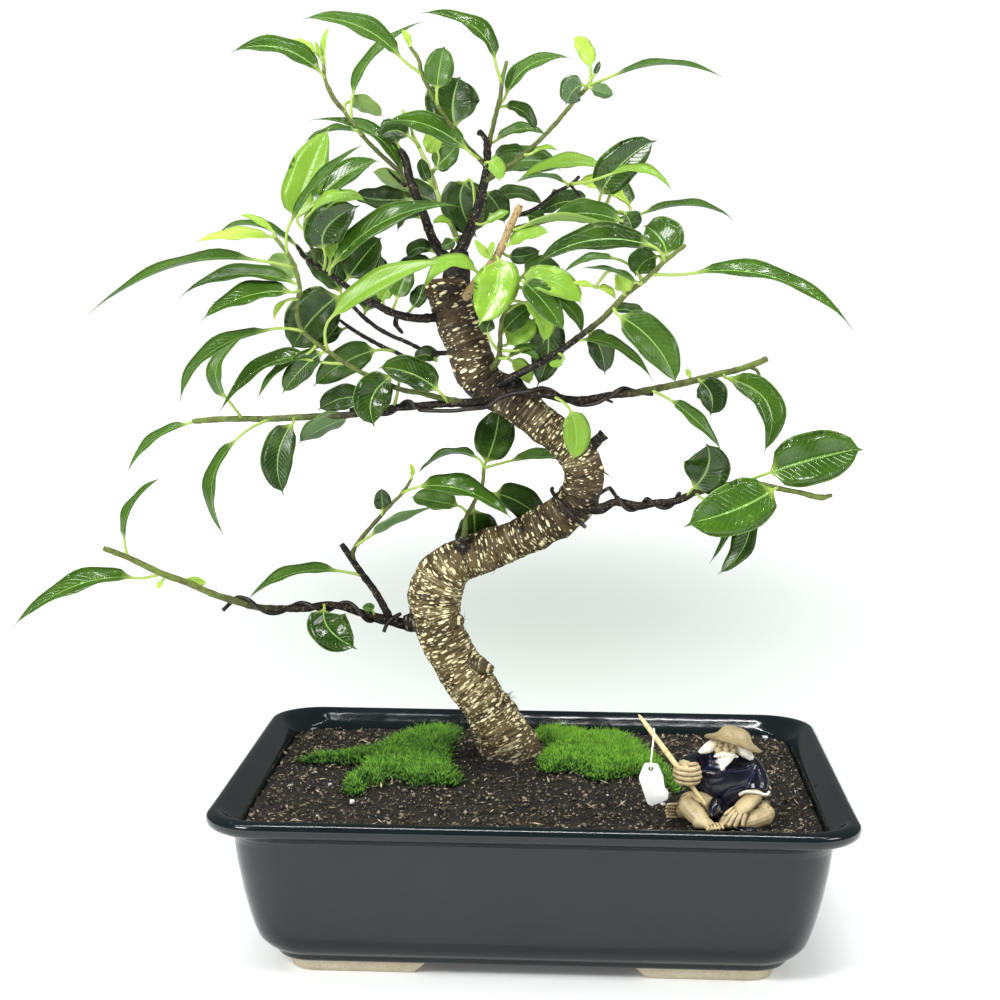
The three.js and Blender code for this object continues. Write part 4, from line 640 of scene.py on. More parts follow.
def leafShape(root, depth, row, seed):
    # stalk: quadratic from the root to the blade's base; blade: quadratic base, middle, tip,
    # edges lifted by fold * |s| and waved by sin along the length
    # normal = cos(twist) * front + sin(twist) * up
    _, _, bx, bz, mx, mz, tx, tz, width, turn, nearBase, nearTip, letter = row
    draw = np.random.default_rng(seed)
    tone, youth, wet = leafShadeAndTone[letter]
    base = seen(bx, bz, depth + nearBase)
    tip = seen(tx, tz, depth + nearTip)
    middle = seen(mx, mz, depth + (nearBase + nearTip) / 2)
    wide = width * sightScale(depth + nearBase) / 2
    long = np.linalg.norm(tip - base)
    chord = (base + tip) / 2
    sag = np.linalg.norm(middle - chord)
    middle = chord + (middle - chord) * min(1, leaf["mostSag"] * long**2 / (2 * wide * sag))
    bend = 2 * middle - chord
    stalkLong = np.linalg.norm(root - base)
    stalkBend = base + unit(base - bend) * 0.45 * stalkLong
    stalkCount = leaf["stalkStations"] if stalkLong > 2 else 2
    stalkT = np.linspace(0, 1, stalkCount + 1)[:-1]
    bladeT = np.linspace(0, 1, leaf["bladeStations"]) ** 1.05
    path = np.vstack([curve3(root, stalkBend, base, stalkT), curve3(base, bend, tip, bladeT)])
    onBlade = np.append(np.zeros(stalkCount), np.ones(len(bladeT)))
    t = np.append(np.zeros(stalkCount), bladeT)
    drop = leaf["hook"] * long * draw.uniform(0.3, 1.4) * smoothStep(0.86, 1.1, t) ** 1.3 * onBlade
    path = path - drop[:, None] * leaf["hookWay"]
    half = np.maximum(wide * bladeProfile(t, 2 * wide / long) * onBlade, 0.02)
    along = unit(np.gradient(path, axis=0))
    line = unit(middle - sight["eye"])
    up = unit(np.cross(along, line))
    if np.cross(tip - base, line)[2] < 0:
        up = -up
    front = unit(np.cross(up, along))
    front = np.where((front @ line)[:, None] > 0, -front, front)
    twist = (math.radians(turn) + 0.12 * draw.normal() * t)[:, None]
    normal = np.cos(twist) * front + np.sin(twist) * up
    side = np.cross(normal, along)
    # every station's section: a round stalk that flattens to the blade
    s = sectionColumns
    ripple = np.sin(fullTurn * 2.3 * t[:, None] + draw.uniform(0, 6.3) + 1.3 * np.sign(s))
    wave = leaf["wave"] * ripple * s**2 * smoothStep(0.02, 0.25, t)[:, None]
    lift = half[:, None] * (leaf["fold"] * np.abs(s) + wave)
    thick = leaf["thickness"] + leaf["ribSwell"] * np.exp(-((s / 0.12) ** 2)) * (1 - 0.7 * t[:, None])
    thick = thick * smoothStep(1.03, 0.8, t)[:, None]
    blade = np.stack([half[:, None] * s, lift - thick * (isUnder > 0.6)])
    angle = math.pi - roundAngles(len(s))
    radius = leaf["stalkRadius"] * (1 + 0.5 * np.exp(-np.arange(len(t)) / 0.8))[:, None]
    stalk = np.minimum(radius, 0.35 * width) * np.stack([np.cos(angle), np.sin(angle)])[:, None]
    flat = (smoothStep(0, 0.1, t) * onBlade)[:, None]
    across, high = (stalk + (blade - stalk) * flat)[..., None]
    rings = path[:, None] + across * side[:, None] + high * normal[:, None]
    along = np.where(onBlade > 0, t, -0.2)[:, None]
    shape = ringShape(rings, np.stack(np.broadcast_arrays((s + 1) / 2, along), axis=-1))
    count = len(shape["points"])
    change = draw.uniform(-0.08, 0.08)
    shape["tint"] = np.tile([np.clip(tone + change, 0, 1), youth, wet, 1.0], (count, 1))
    part = np.stack(np.broadcast_arrays(1 - flat, isUnder), axis=-1).reshape(-1, 2)
    part = np.vstack([part, part[:1], part[-1:]])
    shape["part"] = np.hstack([part, np.full((count, 1), draw.uniform()), np.ones((count, 1))])
    beads = None
    if wet > 0.5:
        beads = beadShapes(rings, normal, stalkCount, half, draw, long, 2.4 if tone > 0.8 else 0.8)
    return shape, beads


def beadShapes(rings, normal, first, half, draw, long, largest):
    # water beads on the blade: dome point = place + r * (cos a * side + sin a * along) + h * normal
    count = int(leaf["beads"] * min(long / 55, 1.2))
    i = draw.integers(first + 2, len(rings) - 3, count)
    j = draw.uniform(0.3, 5.7, count)
    low = np.floor(j).astype(int)
    slopeA, slopeB = rings[i, low + 1] - rings[i, low], rings[i + 1, low] - rings[i, low]
    share = (j - low)[:, None]
    places = rings[i, low] * (1 - share) + rings[i, low + 1] * share
    nextPlaces = rings[i + 1, low] * (1 - share) + rings[i + 1, low + 1] * share
    places = places + (nextPlaces - places) * draw.uniform(0, 1, (count, 1))
    out = unit(np.cross(slopeA, slopeB))
    out = np.where((out * normal[i]).sum(1, keepdims=True) < 0, -out, out)
    size = 0.26 + largest * draw.uniform(size=count) ** 2
    size = np.minimum(size, half[i] * 0.25 + 0.1)
    shapes = []
    for place, n, r, slope in zip(places, out, size, slopeA):
        a = unit(slope - n * (slope @ n))
        ring = around(roundAngles(8), a[None], np.cross(n, a)[None])[0]
        shapes.append(ringShape(np.stack([place + ring * r * w + n * r * h for w, h in leaf["beadRings"]])))
    return joinShapes(shapes)


def makeLeafMaterial():
    material, tree, shader = newMaterial("leafBlade")
    tint, part = channels(tree, "leafTint"), channels(tree, "leafPart")
    uv = newNode(tree, "UVMap", uv_map="UVMap").outputs[0]
    uv = newNode(tree, "SeparateXYZ", {0: uv}).outputs
    veins = useGroup(tree, veinGroup, U=uv["X"], V=uv["Y"])
    mottle = mottled(tree, 90.0, 0.3)
    # tone from the leaf rows: partly the leaf's own green, partly painted shade and light
    colour = mix(ramp(tint[0], 0.0, 0.5), leaf["dark"], leaf["middle"])
    colour = mix(ramp(tint[0], 0.42, 1.0), colour, leaf["bright"])
    colour = mix(tint[1], colour, leaf["young"])
    lighter = mix(0.45, colour, leaf["bright"])
    colour = mix(times(ramp(mottle, 0.4, 0.68), 0.35), colour, lighter)
    colour = mix(times(veins["Side"], 0.22), colour, lighter)
    # painted highlight along the blade's edge
    colour = mix(times(veins["Rim"], 0.65), colour, leaf["rib"])
    colour = mix(ramp(part[1], 0.55, 0.8), colour, mix(0.4, leaf["under"], colour))
    colour = mix(times(veins["Rib"], 0.75), colour, leaf["rib"])
    colour = mix(part[0], colour, leaf["stalk"])
    dry = plus(timesPlus(mottle, 0.25, 0.15), times(part[1], 0.2))
    dress(shader, colour, minus(dry, times(tint[2], 0.14)), 0.38)
    relief = plus(times(veins["Side"], -0.5), veins["Rib"])
    bump(shader, plus(relief, times(mottle, 0.6)), 0.35, 0.0003)
    return material


def makeWaterMaterial():
    material, tree, shader = newMaterial("waterBead")
    shader.inputs["Transmission Weight"].default_value = 1.0
    shader.inputs["IOR"].default_value = 1.33
    dress(shader, (1, 1, 1, 1), times(noise(objectPlace(tree), 900.0), 0.05))
    # a bead throws no shadow on the leaf under it
    rays = newNode(tree, "LightPath").outputs
    feed(shader.inputs["Alpha"], minus(1.0, rays["Is Shadow Ray"]))
    return material


barkMaterial = makeBarkMaterial()
leafMaterial = makeLeafMaterial()
waterMaterial = makeWaterMaterial()


def makeLimb(limb, seed):
    node = limb["node"]
    wired = node in ("limb_lower_left", "limb_lower_right", "limb_middle_left", "limb_middle_right")
    stems = joinShapes([stemShape(rows, bark, seed * 31 + k, wired and k == 0)
                        for k, (rows, bark) in enumerate(zip(limb["stems"], limb["bark"]))])
    colours = {"woodTint": stems["tint"], "woodGrain": stems["grain"]}
    makeObject(node + "_wood", stems, barkMaterial, (node,), colours)
    made = [leafShape(*nearestOnStems(limb["stems"], row[0], row[1]), row, seed * 1000 + k)
            for k, row in enumerate(limb["leaves"])]
    blades = joinShapes([blade for blade, beads in made])
    colours = {"leafTint": blades["tint"], "leafPart": blades["part"]}
    makeObject(node + "_leaves", blades, leafMaterial, (node,), colours)
    beads = [beads for blade, beads in made if beads]
    if beads:
        makeObject(node + "_beads", joinShapes(beads), waterMaterial, (node,))
    print("made", node, len(made), "leaves")


# The limbs. A stem row is x, z, depth and radius. A leaf row is x and z of the stalk's foot, of
# the blade's base, middle and tip, its width, its turn in degrees, how far its base and its tip
# lie behind the stem, and the letter of its tone.

lowerLeftLimb = {"node": "limb_lower_left", "bark": "Kkg", "stems": [
    [(-46, 127, 29, 2.6), (-58, 124.6, 27, 2.5), (-67, 126, 25, 1.8), (-73, 127.6, 24, 1.5),
     (-81, 129.6, 22, 1.4), (-89, 132.2, 21, 1.35), (-97, 132.6, 20, 1.3), (-105, 131, 19, 1.3),
     (-115, 130.7, 18, 1.25), (-126, 131, 16, 1.2), (-137, 133.9, 14, 1.2), (-146, 136.5, 13, 1.15),
     (-158, 141.6, 12, 1.1), (-170, 145.8, 10, 1.1), (-185.6, 153, 8, 1), (-196.5, 157, 6, 0.9)],
    [(-66.5, 126, 25, 1.9), (-73, 138, 23, 1.7), (-80.3, 148, 21, 1.6), (-88.7, 160.4, 19, 1.5)],
    [(-83.6, 153, 20, 1.2), (-82.8, 159, 19, 1), (-73.2, 171, 16, 0.95), (-66.9, 178.3, 14, 0.9),
     (-61.3, 184, 13, 0.85), (-57.4, 190.4, 12, 0.8)],
], "leaves": [
    (-170, 145.8, -183, 143.6, -211, 139, -239.8, 119.9, 15, 55, -2, -9, "w"),
    (-185, 153, -186.9, 161, -183, 177, -168.9, 190.2, 10, 74, 1, 4, "m"),
    (-161, 143, -160, 141.8, -155, 142, -149.5, 141.8, 5, 20, 2, 4, "p"),
    (-168, 145, -170, 142.4, -171, 140.6, -171.6, 138.6, 3, 30, -1, -2, "y"),
    (-79, 146, -90, 148.2, -113, 146, -131.5, 134.6, 12, 64, -3, -12, "m"),
    (-97, 132.6, -96.8, 130.5, -98.5, 120.6, -81.6, 112.7, 19, 14, -5, -12, "W"),
    (-74.2, 128.2, -75, 130.6, -76.6, 131.6, -79.8, 131.8, 4.8, 10, -3, -5, "m"),
    (-70.6, 174, -70.4, 176, -70.6, 180.6, -71, 186.2, 8, 12, -1, -3, "d"),
    (-82.4, 160, -75.6, 164.4, -62, 172, -46.8, 178.2, 8, 128, -3, -5, "g"),
    (-61.6, 183.6, -54, 186.6, -33, 185, -12, 172.6, 16, 50, -3, -10, "w"),
    (-57.4, 190, -57.4, 191.4, -57.2, 194, -58.2, 197.6, 2.6, 30, -0.5, -1, "y"),
]}
trunkShootLimb = {"node": "shoot_on_trunk", "bark": "g", "stems": [
    [(-34, 158, 26, 1.6), (-34, 164, 21, 1.5), (-33.5, 168.5, 19, 1.2), (-33.2, 173, 18.5, 1),
     (-30.1, 179, 18, 0.95), (-26.1, 187, 18, 0.95), (-25.3, 196, 18, 0.9)],
], "leaves": [
    (-25.4, 195.4, -28.4, 200, -42, 201.6, -55.5, 192, 12, 80, 1, 6, "m"),
    (-25.4, 195.4, -14, 198.6, 10, 200, 33.4, 191.2, 12, 70, 6, 24, "m"),
    (-25.3, 195.8, -24.4, 198, -20.4, 209.5, -18.4, 223, 18, 10, 7, 24, "d"),
    (-32.8, 174.8, -36.9, 178.4, -47.5, 180.4, -58.1, 182.2, 12, 38, 2, 7, "m"),
    (-29.6, 180, -29.6, 176.6, -29, 166, -28, 152, 20, 14, 12, 25, "d"),
    (-27, 185.4, -20, 184, -8, 179.4, 6, 169, 15, 20, 10, 25, "d"),
]}
lowerRightLimb = {"node": "limb_lower_right", "bark": "K", "stems": [
    [(16, 179, 19, 2.4), (26, 177.8, 12.5, 2.1), (32.3, 180.8, 10, 1.5), (37.4, 180.5, 9, 1.4),
     (44, 179.4, 7, 1.35), (50, 180.6, 5, 1.3), (57.5, 181.4, 3, 1.3), (63.4, 183.2, 1, 1.3),
     (67.8, 185.6, 0, 1.25), (72.2, 186.8, -1, 1.2), (80, 188.5, -4, 1.1), (87.4, 190, -6, 1),
     (94, 190.2, -8, 0.9), (104.8, 188, -11, 0.8), (112.8, 186.5, -13, 0.75), (120, 184.8, -14, 0.9),
     (124, 184.2, -15, 0.9), (128.4, 185.4, -16, 0.4)],
], "leaves": [
    (88, 190, 101, 195, 121.4, 201.6, 141.8, 206.4, 24, 12, -2, -9, "w"),
    (104.6, 188, 102.6, 187.4, 85.5, 178, 63.6, 171.6, 24, 16, -3, -13, "w"),
    (64.6, 183.8, 67.5, 187.8, 76.2, 197.4, 72.6, 208, 21, 8, -3, -9, "d"),
    (68.5, 185.8, 73, 182.8, 76.6, 181.2, 78.7, 177, 4, 40, -4, -6, "p"),
    (84.4, 189.4, 84, 181, 82.6, 167, 75, 154.6, 7, 50, 7, 9, "d"),
    (94, 190.2, 93, 181, 90.4, 162, 78.5, 149.3, 13, 35, 7, 8, "d"),
    (78, 188.2, 79, 187, 81, 185.4, 84, 182.4, 2.5, 30, -2, -3, "d"),
]}
middleLeftLimb = {"node": "limb_middle_left", "bark": "Kg", "stems": [
    [(-20, 228, 22, 2), (-27.3, 224.6, 15, 1.7), (-34, 224.2, 14, 1.6), (-41, 223.8, 15, 1.4),
     (-48.8, 223.2, 16, 1.3), (-57.7, 222.3, 17, 1.3), (-69, 221.2, 19, 1.25), (-84.6, 218.4, 21, 1.2),
     (-93.5, 217.9, 23, 1.15), (-108.4, 216.9, 25, 1.1), (-121.3, 216.1, 27, 1.05), (-133, 216, 29, 1),
     (-144.3, 215.6, 31, 1), (-155, 214.6, 33, 0.9)],
    [(-34, 224.4, 14, 1.5), (-41, 225.6, 13, 1.3), (-48.8, 227.2, 13, 1.3), (-54.7, 228.6, 12, 1.2),
     (-63, 230, 12, 1.2), (-72.6, 234.4, 11, 1.1), (-79.8, 237.2, 10, 1.1), (-86.9, 241.1, 9, 1.1),
     (-93.5, 245.7, 9, 1.1), (-99.5, 249.6, 8, 1), (-105.4, 254.8, 8, 1), (-108.2, 261, 7, 1),
     (-108, 268, 6, 1), (-107, 275, 5, 1), (-110.5, 286, 3, 0.95), (-118.4, 297, 1, 0.85)],
], "leaves": [
    (-155, 214.6, -157.4, 213.6, -174, 205.5, -185.5, 190.8, 8, 60, 0, -2, "m"),
    (-120, 216.2, -135.5, 207, -147, 185.5, -141, 162.4, 11, 60, -3, -5, "m"),
    (-110, 216.8, -110.6, 214, -117.2, 198.4, -114.3, 182.2, 15, 12, -4, -8, "d"),
    (-133, 216, -140, 225, -143.6, 240.5, -127, 256.4, 9, 42, -4, -2, "m"),
    (-65.5, 221.8, -66.6, 235.4, -80.6, 227, -73.8, 213.2, 17, 6, -8, -13, "W"),
    (-76, 220, -79, 226, -89, 225.4, -99.3, 220.4, 12, 20, 5, 6, "d"),
    (-82, 218.8, -86, 217.4, -97.6, 212.4, -108.2, 205.5, 12, 138, 2, 4, "g"),
    (-41, 223.8, -46.1, 229.8, -58, 237, -72.6, 239.6, 15, 26, -6, -8, "W"),
    (-105.6, 255, -119.7, 255.8, -148.5, 244, -160.8, 223.4, 13, 68, -3, -8, "m"),
    (-86.9, 241.1, -102.9, 242.4, -124.4, 238.8, -144.3, 217.4, 13, 58, 3, 12, "w"),
    (-99.5, 249.6, -106, 244, -118, 236.6, -126.3, 224.8, 7, 60, 5, 7, "m"),
    (-93.5, 245.7, -97.4, 245.6, -106.4, 238.4, -115.2, 227.2, 12, 25, 2, 5, "d"),
    (-94.6, 246.5, -92.9, 261.4, -69, 278.4, -41, 286.7, 12, 38, -6, -16, "b"),
    (-108, 269, -113, 268.4, -117, 264.6, -118.4, 259.4, 3, 30, -2, -3, "y"),
    (-109.6, 283, -126.6, 286.2, -164, 283, -202, 262, 14, 72, -4, -12, "m"),
    (-106.9, 275.6, -109, 276, -135, 279.6, -160.7, 270.4, 13, 58, 2, -2, "m"),
    (-107.2, 273, -110.8, 272.2, -131.4, 270, -151.2, 259.6, 14, 50, -4, -9, "w"),
    (-118, 296.5, -120, 296.2, -137, 296.6, -153.8, 293.8, 9, 52, 0, -3, "y"),
    (-117.6, 296, -118.6, 298.4, -126, 303.4, -133.6, 305.8, 5, 50, -1, -2, "p"),
    (-107.6, 277, -109, 279, -115, 283.4, -121.4, 286.6, 12, 150, 5, 8, "p"),
    (-112.2, 289, -111, 302.5, -96.6, 322.6, -78.5, 337, 9, 64, -3, -9, "m"),
]}
backLeftLimb = {"node": "limb_back_left", "bark": "kk", "stems": [
    [(-36, 247, 26, 1.3), (-45, 246, 30, 1.1), (-51.2, 246.8, 33, 1), (-59.5, 250.6, 36, 1),
     (-66.7, 253.6, 39, 1), (-72.6, 256.8, 41, 1), (-78.6, 261.3, 43, 1), (-83.4, 266, 45, 0.9),
     (-88, 270, 46, 0.9)],
    [(-44, 246.2, 29.6, 1.1), (-53, 242.9, 32, 1), (-60.1, 244.1, 34, 1), (-64.9, 246.4, 36, 1),
     (-70.8, 248.8, 38, 1), (-78.6, 253, 40, 0.95), (-84.6, 256.6, 42, 0.9), (-89.3, 260.1, 43, 0.8)],
], "leaves": [
    (-64.9, 246.4, -73.8, 246.9, -87.4, 241.4, -101.6, 230.6, 14, 20, -2, -5, "m"),
    (-87, 269, -90, 270.5, -101.5, 260.5, -111, 246.5, 23, 10, 1, 4, "d"),
    (-47.6, 245.4, -46.8, 242.6, -50.4, 246.6, -57, 243.6, 8, 24, -1, 1.4, "d"),
    (-88, 270, -89, 272.6, -96, 283, -105, 290, 14, 20, 3, 8, "d"),
    (-78.6, 261.3, -78, 264, -74, 276, -71, 290, 14, 20, 6, 14, "d"),
    (-84.6, 256.6, -88, 256, -98, 252, -108, 251, 13, 40, 6, 12, "d"),
]}
upperLeftLimb = {"node": "limb_upper_left", "bark": "kgk", "stems": [
    [(-38, 262, 26, 2.4), (-49.4, 261.4, 21, 2.1), (-54.7, 261.2, 21, 2), (-60.7, 262, 21, 1.9),
     (-66.7, 263.8, 21, 1.8), (-72.6, 266.7, 22, 1.7), (-78.6, 269.9, 22, 1.6), (-84.3, 273.4, 22, 1.4),
     (-89, 276.9, 22, 1.3), (-95, 280.9, 23, 1.2), (-99.7, 283.8, 23, 1.2), (-105, 287.9, 23, 1.1),
     (-108.4, 292.8, 23, 1)],
    [(-99.9, 284, 23, 1.1), (-101, 290, 22, 0.95), (-103.8, 297, 21, 0.9), (-104.6, 303, 20, 0.8),
     (-103.2, 307.6, 19, 0.7)],
    [(-64, 262.6, 21, 1.2), (-64.5, 258.4, 20, 1.1), (-61.5, 254.5, 19, 0.7)],
], "leaves": [
    (-104.2, 299, -108, 304.4, -103.4, 322, -93, 345.2, 18.5, 12, 2, 5, "b"),
    (-104.3, 304, -101.8, 309.4, -87.4, 322.8, -71, 330.2, 13, 35, 0, -2, "w"),
    (-104.5, 302.4, -102.2, 306.4, -89.5, 313, -77.3, 312, 10, 48, -5, -12, "b"),
    (-96.5, 281.9, -96.4, 291.4, -94.2, 301.4, -80, 310.6, 18, 10, -6, -12, "W"),
    (-95, 280.9, -93.5, 286.6, -90.4, 297, -81, 310, 7, 30, -2, -4, "b"),
    (-93.5, 279.9, -92.8, 283.4, -68, 304.2, -34.5, 311, 14, 42, -4, -16, "w"),
    (-87.6, 275.8, -85.6, 278.6, -79, 287.5, -70.5, 297, 15, 12, 4, 7, "d"),
    (-104.6, 287.6, -108, 292.4, -127, 301.6, -143.1, 298.2, 9, 72, 2, 4, "m"),
    (-66.7, 263.8, -64, 270, -61.5, 277, -58, 284.4, 11, 15, 4, 7, "m"),
    (-70, 265.6, -70.2, 269, -69, 272.4, -65, 277.6, 7, 15, 5, 7, "b"),
    (-60.7, 262, -57, 266, -54, 271, -52.4, 277, 8, 20, 4, 6, "d"),
]}
crownLeftLimb = {"node": "limb_crown_left", "bark": "kgk", "stems": [
    [(-38, 283, 25, 2.6), (-41.6, 287, 25, 2.6), (-45.9, 291.4, 26, 2.4), (-49.5, 298.4, 28, 2.2),
     (-52.4, 306.5, 30, 2.1), (-56, 315.2, 32, 2), (-58.9, 323.4, 34, 1.9), (-60.3, 330, 36, 1.8),
     (-63.2, 334.4, 37, 1.5)],
    [(-57.6, 319.6, 33, 1.3), (-60.7, 321.6, 34, 1.1), (-64, 325.6, 35, 1), (-70.1, 331, 37, 1),
     (-77.3, 338, 39, 0.95), (-83.8, 345.8, 41, 0.95), (-87.4, 350.8, 43, 0.95), (-91.8, 356, 44, 1.15),
     (-95.6, 364.6, 46, 0.85), (-96, 371.4, 47, 0.7)],
    [(-60.2, 318.5, 33, 0.9), (-64, 321.5, 35, 0.7), (-68, 325.4, 36, 0.6)],
], "leaves": [
    (-95.6, 364.4, -97.4, 367, -115.6, 377.4, -137.3, 375.8, 13, 50, -2, -9, "w"),
    (-84, 346, -83.4, 357.6, -73.4, 375.6, -52, 390, 9, 58, 3, 8, "m"),
    (-96, 371, -95.9, 373, -95.8, 381, -93.2, 386.6, 2.8, 30, 0, 1, "p"),
    (-96, 370.6, -97.2, 373, -98.6, 377, -100, 381, 2.4, 30, -1, -1, "p"),
    (-95.8, 368, -99.6, 375.4, -105, 378.6, -111, 380.8, 5, 30, 4, 6, "y"),
    (-86.6, 349.8, -85, 354.5, -78, 353, -70, 348.2, 8.5, 150, 4, 6, "p"),
    (-60.6, 321.6, -61.8, 323.8, -75.8, 341.8, -102.6, 347.4, 11, 48, 4, 10, "w"),
    (-79.2, 340, -82.4, 342.4, -93.5, 342.6, -104.8, 337.2, 8, 78, -2, -5, "m"),
    (-55.2, 313, -59, 313, -72, 312.6, -84, 314.8, 13, 38, 4, 8, "d"),
    (-58.6, 322, -60.8, 318, -67, 321.4, -75.3, 325, 9, 150, 7, 9, "p"),
    (-46.4, 292, -49, 290.6, -55, 292, -60, 287.6, 8, 30, 3, 5, "d"),
    (-44, 289.6, -49, 286.8, -56, 285, -63.5, 286.6, 8, 25, 5, 8, "d"),
    (-61.4, 332, -64, 337, -67, 342.5, -70.5, 347.4, 9, 15, 5, 8, "d"),
    (-51, 302.6, -54, 305, -60, 304.8, -64, 299, 9, 60, 6, 12, "d"),
]}
crownCentreLimb = {"node": "limb_crown_centre", "bark": "kggpgk", "stems": [
    [(-37.4, 286, 25, 2.8), (-36, 291, 25, 2.8), (-34.2, 295, 25, 2.7), (-32.3, 299.4, 25, 2.5),
     (-29.2, 307.7, 24, 2.3), (-26.8, 316.8, 23, 2.1), (-24.9, 326, 22, 1.9), (-24.8, 333, 22, 1.7),
     (-25, 339.4, 22, 1.6)],
    [(-24.7, 332.6, 22, 1.2), (-23.3, 340.2, 22, 1.1), (-21.3, 349, 21, 1.05), (-19.3, 356.9, 20, 1),
     (-18.4, 364.7, 20, 0.95), (-16.6, 372.2, 19, 0.9)],
    [(-25.4, 327.6, 22, 1.2), (-28, 330.4, 20, 1.15), (-34.2, 336.4, 17, 1.1), (-41.2, 345.4, 13, 1.05),
     (-46.3, 353, 9, 1), (-50.6, 360.8, 6, 1), (-53.5, 367.2, 4, 0.95), (-55, 373, 2, 0.9),
     (-58.5, 378, 0, 0.8)],
    [(-36.6, 294, 26, 1.3), (-40, 301, 30, 1.25), (-43.4, 308.4, 33, 1.2), (-46.3, 315.4, 36, 1.15),
     (-49.5, 324.6, 40, 1.1), (-54.6, 335.6, 43, 1), (-57.5, 341, 44, 0.8)],
    [(-25.6, 321, 22, 1.5), (-21, 324, 19, 1.3), (-16.4, 326.7, 17, 1.2), (-11.4, 330, 15, 1.1),
     (-5.5, 335.4, 12, 1.05), (0.5, 341.3, 10, 1), (6.4, 347.6, 8, 1), (11.4, 353.7, 6, 0.95),
     (16.4, 359.2, 5, 0.95), (18.9, 361.9, 4, 0.9)],
    [(-25, 338, 22, 1.3), (-27.6, 341.8, 21, 1.1), (-29, 340.6, 21, 0.8)],
], "leaves": [
    (-53.4, 366.8, -62.9, 373.8, -81.6, 387, -105.8, 390.3, 13, 48, -3, -10, "m"),
    (-46.6, 353.4, -46.8, 360.4, -45.6, 369.6, -43.5, 379, 13, 6, -4, -6, "m"),
    (-58.4, 377.8, -58.8, 379, -60, 382, -62.2, 385.6, 3.6, 30, 0, -1, "y"),
    (-41.2, 345.2, -38.6, 344.4, -39.6, 355, -36.6, 366.2, 24, 8, 5, 11, "d"),
    (-28, 330.4, -33.6, 334.4, -51.6, 345, -69.4, 346, 12, 32, -6, -14, "w"),
    (-49.4, 324.4, -47.4, 326.4, -42.4, 331.4, -36.6, 338, 11, 20, -3, -6, "m"),
    (-49.2, 323.6, -46.4, 333.4, -49, 337.6, -52.2, 341.6, 10, 20, -5, -8, "p"),
    (-54.2, 335, -59, 340, -66, 343.4, -71.8, 339, 9, 22, -4, -6, "d"),
    (-57.4, 340.8, -58, 343.4, -60, 347.6, -62.2, 351.8, 4, 30, -1, -2, "y"),
    (-18.6, 363, -21.9, 373.2, -31.6, 386.9, -54.6, 393.3, 12, 50, -3, -10, "w"),
    (-20.2, 353, -16.8, 357.8, -6.4, 370.4, 11.9, 374.2, 10, 50, 2, 0, "m"),
    (-20.6, 351.6, -17.4, 353, -9, 350.4, -3.7, 342.2, 8, 45, 3, 4, "d"),
    (-23.7, 337.8, -21, 338.4, -10, 343.2, 1.2, 340.8, 8, 55, 5, 8, "m"),
    (-24.9, 329, -21.6, 331.4, -14.4, 334.4, -8, 333.4, 7, 50, 6, 8, "d"),
    (-25.4, 327.6, -24, 329, -20.6, 327, -19.4, 320.6, 8, 20, -5, -8, "b"),
    (-30, 305.6, -34.2, 320.6, -36, 310.6, -29, 296.6, 19, 10, 5, 12, "d"),
    (-27.6, 313.4, -25, 316, -20, 310, -17, 303, 11, 20, 5, 8, "d"),
    (-26.8, 316.8, -22, 312.8, -11, 315.6, 0.5, 310.4, 9, 48, 8, 14, "d"),
    (-30.8, 303.4, -25, 303, -19.6, 306, -14.4, 308, 5, 40, -4, -6, "b"),
    (-37.4, 295.4, -39, 295.6, -42, 292.4, -45, 293.2, 6, 20, -4, -5, "d"),
    (-40.2, 301.4, -41, 302.4, -44.4, 304, -48.5, 302.4, 5, 50, -4, -6, "b"),
    (-47, 317.4, -50, 320.4, -53, 326, -53.4, 331, 6, 20, -3, -4, "d"),
    (-8.6, 332.6, -5.4, 333, 0.6, 335.4, 6, 334.4, 4, 60, -3, -4, "p"),
    (18.8, 361.8, 19.4, 370, 16.4, 377.6, 11.9, 382.4, 8, 24, 0, -1, "y"),
    (18.9, 361.9, 21.2, 366.6, 22.6, 369.4, 23.5, 372.5, 2.6, 20, 0, 0, "d"),
    (17.4, 360.4, 16.2, 362.2, 11.8, 361, 9, 353.6, 12, 160, -3, -7, "W"),
    (18.6, 361.6, 20, 360.8, 24.4, 359.4, 30, 358, 7, 150, -2, -4, "g"),
    (18.9, 361.8, 29.3, 366.2, 53, 371.6, 76.9, 365.8, 8, 78, -1, -6, "m"),
    (-33.2, 297.4, -36, 301, -30, 311, -38, 322, 14, 30, 22, 38, "d"),
    (-26, 321, -21, 324, -8, 330, 8, 326, 14, 40, 18, 34, "m"),
    (-43, 307.4, -46, 311, -58, 316, -72, 318, 14, 40, 16, 30, "d"),
]}
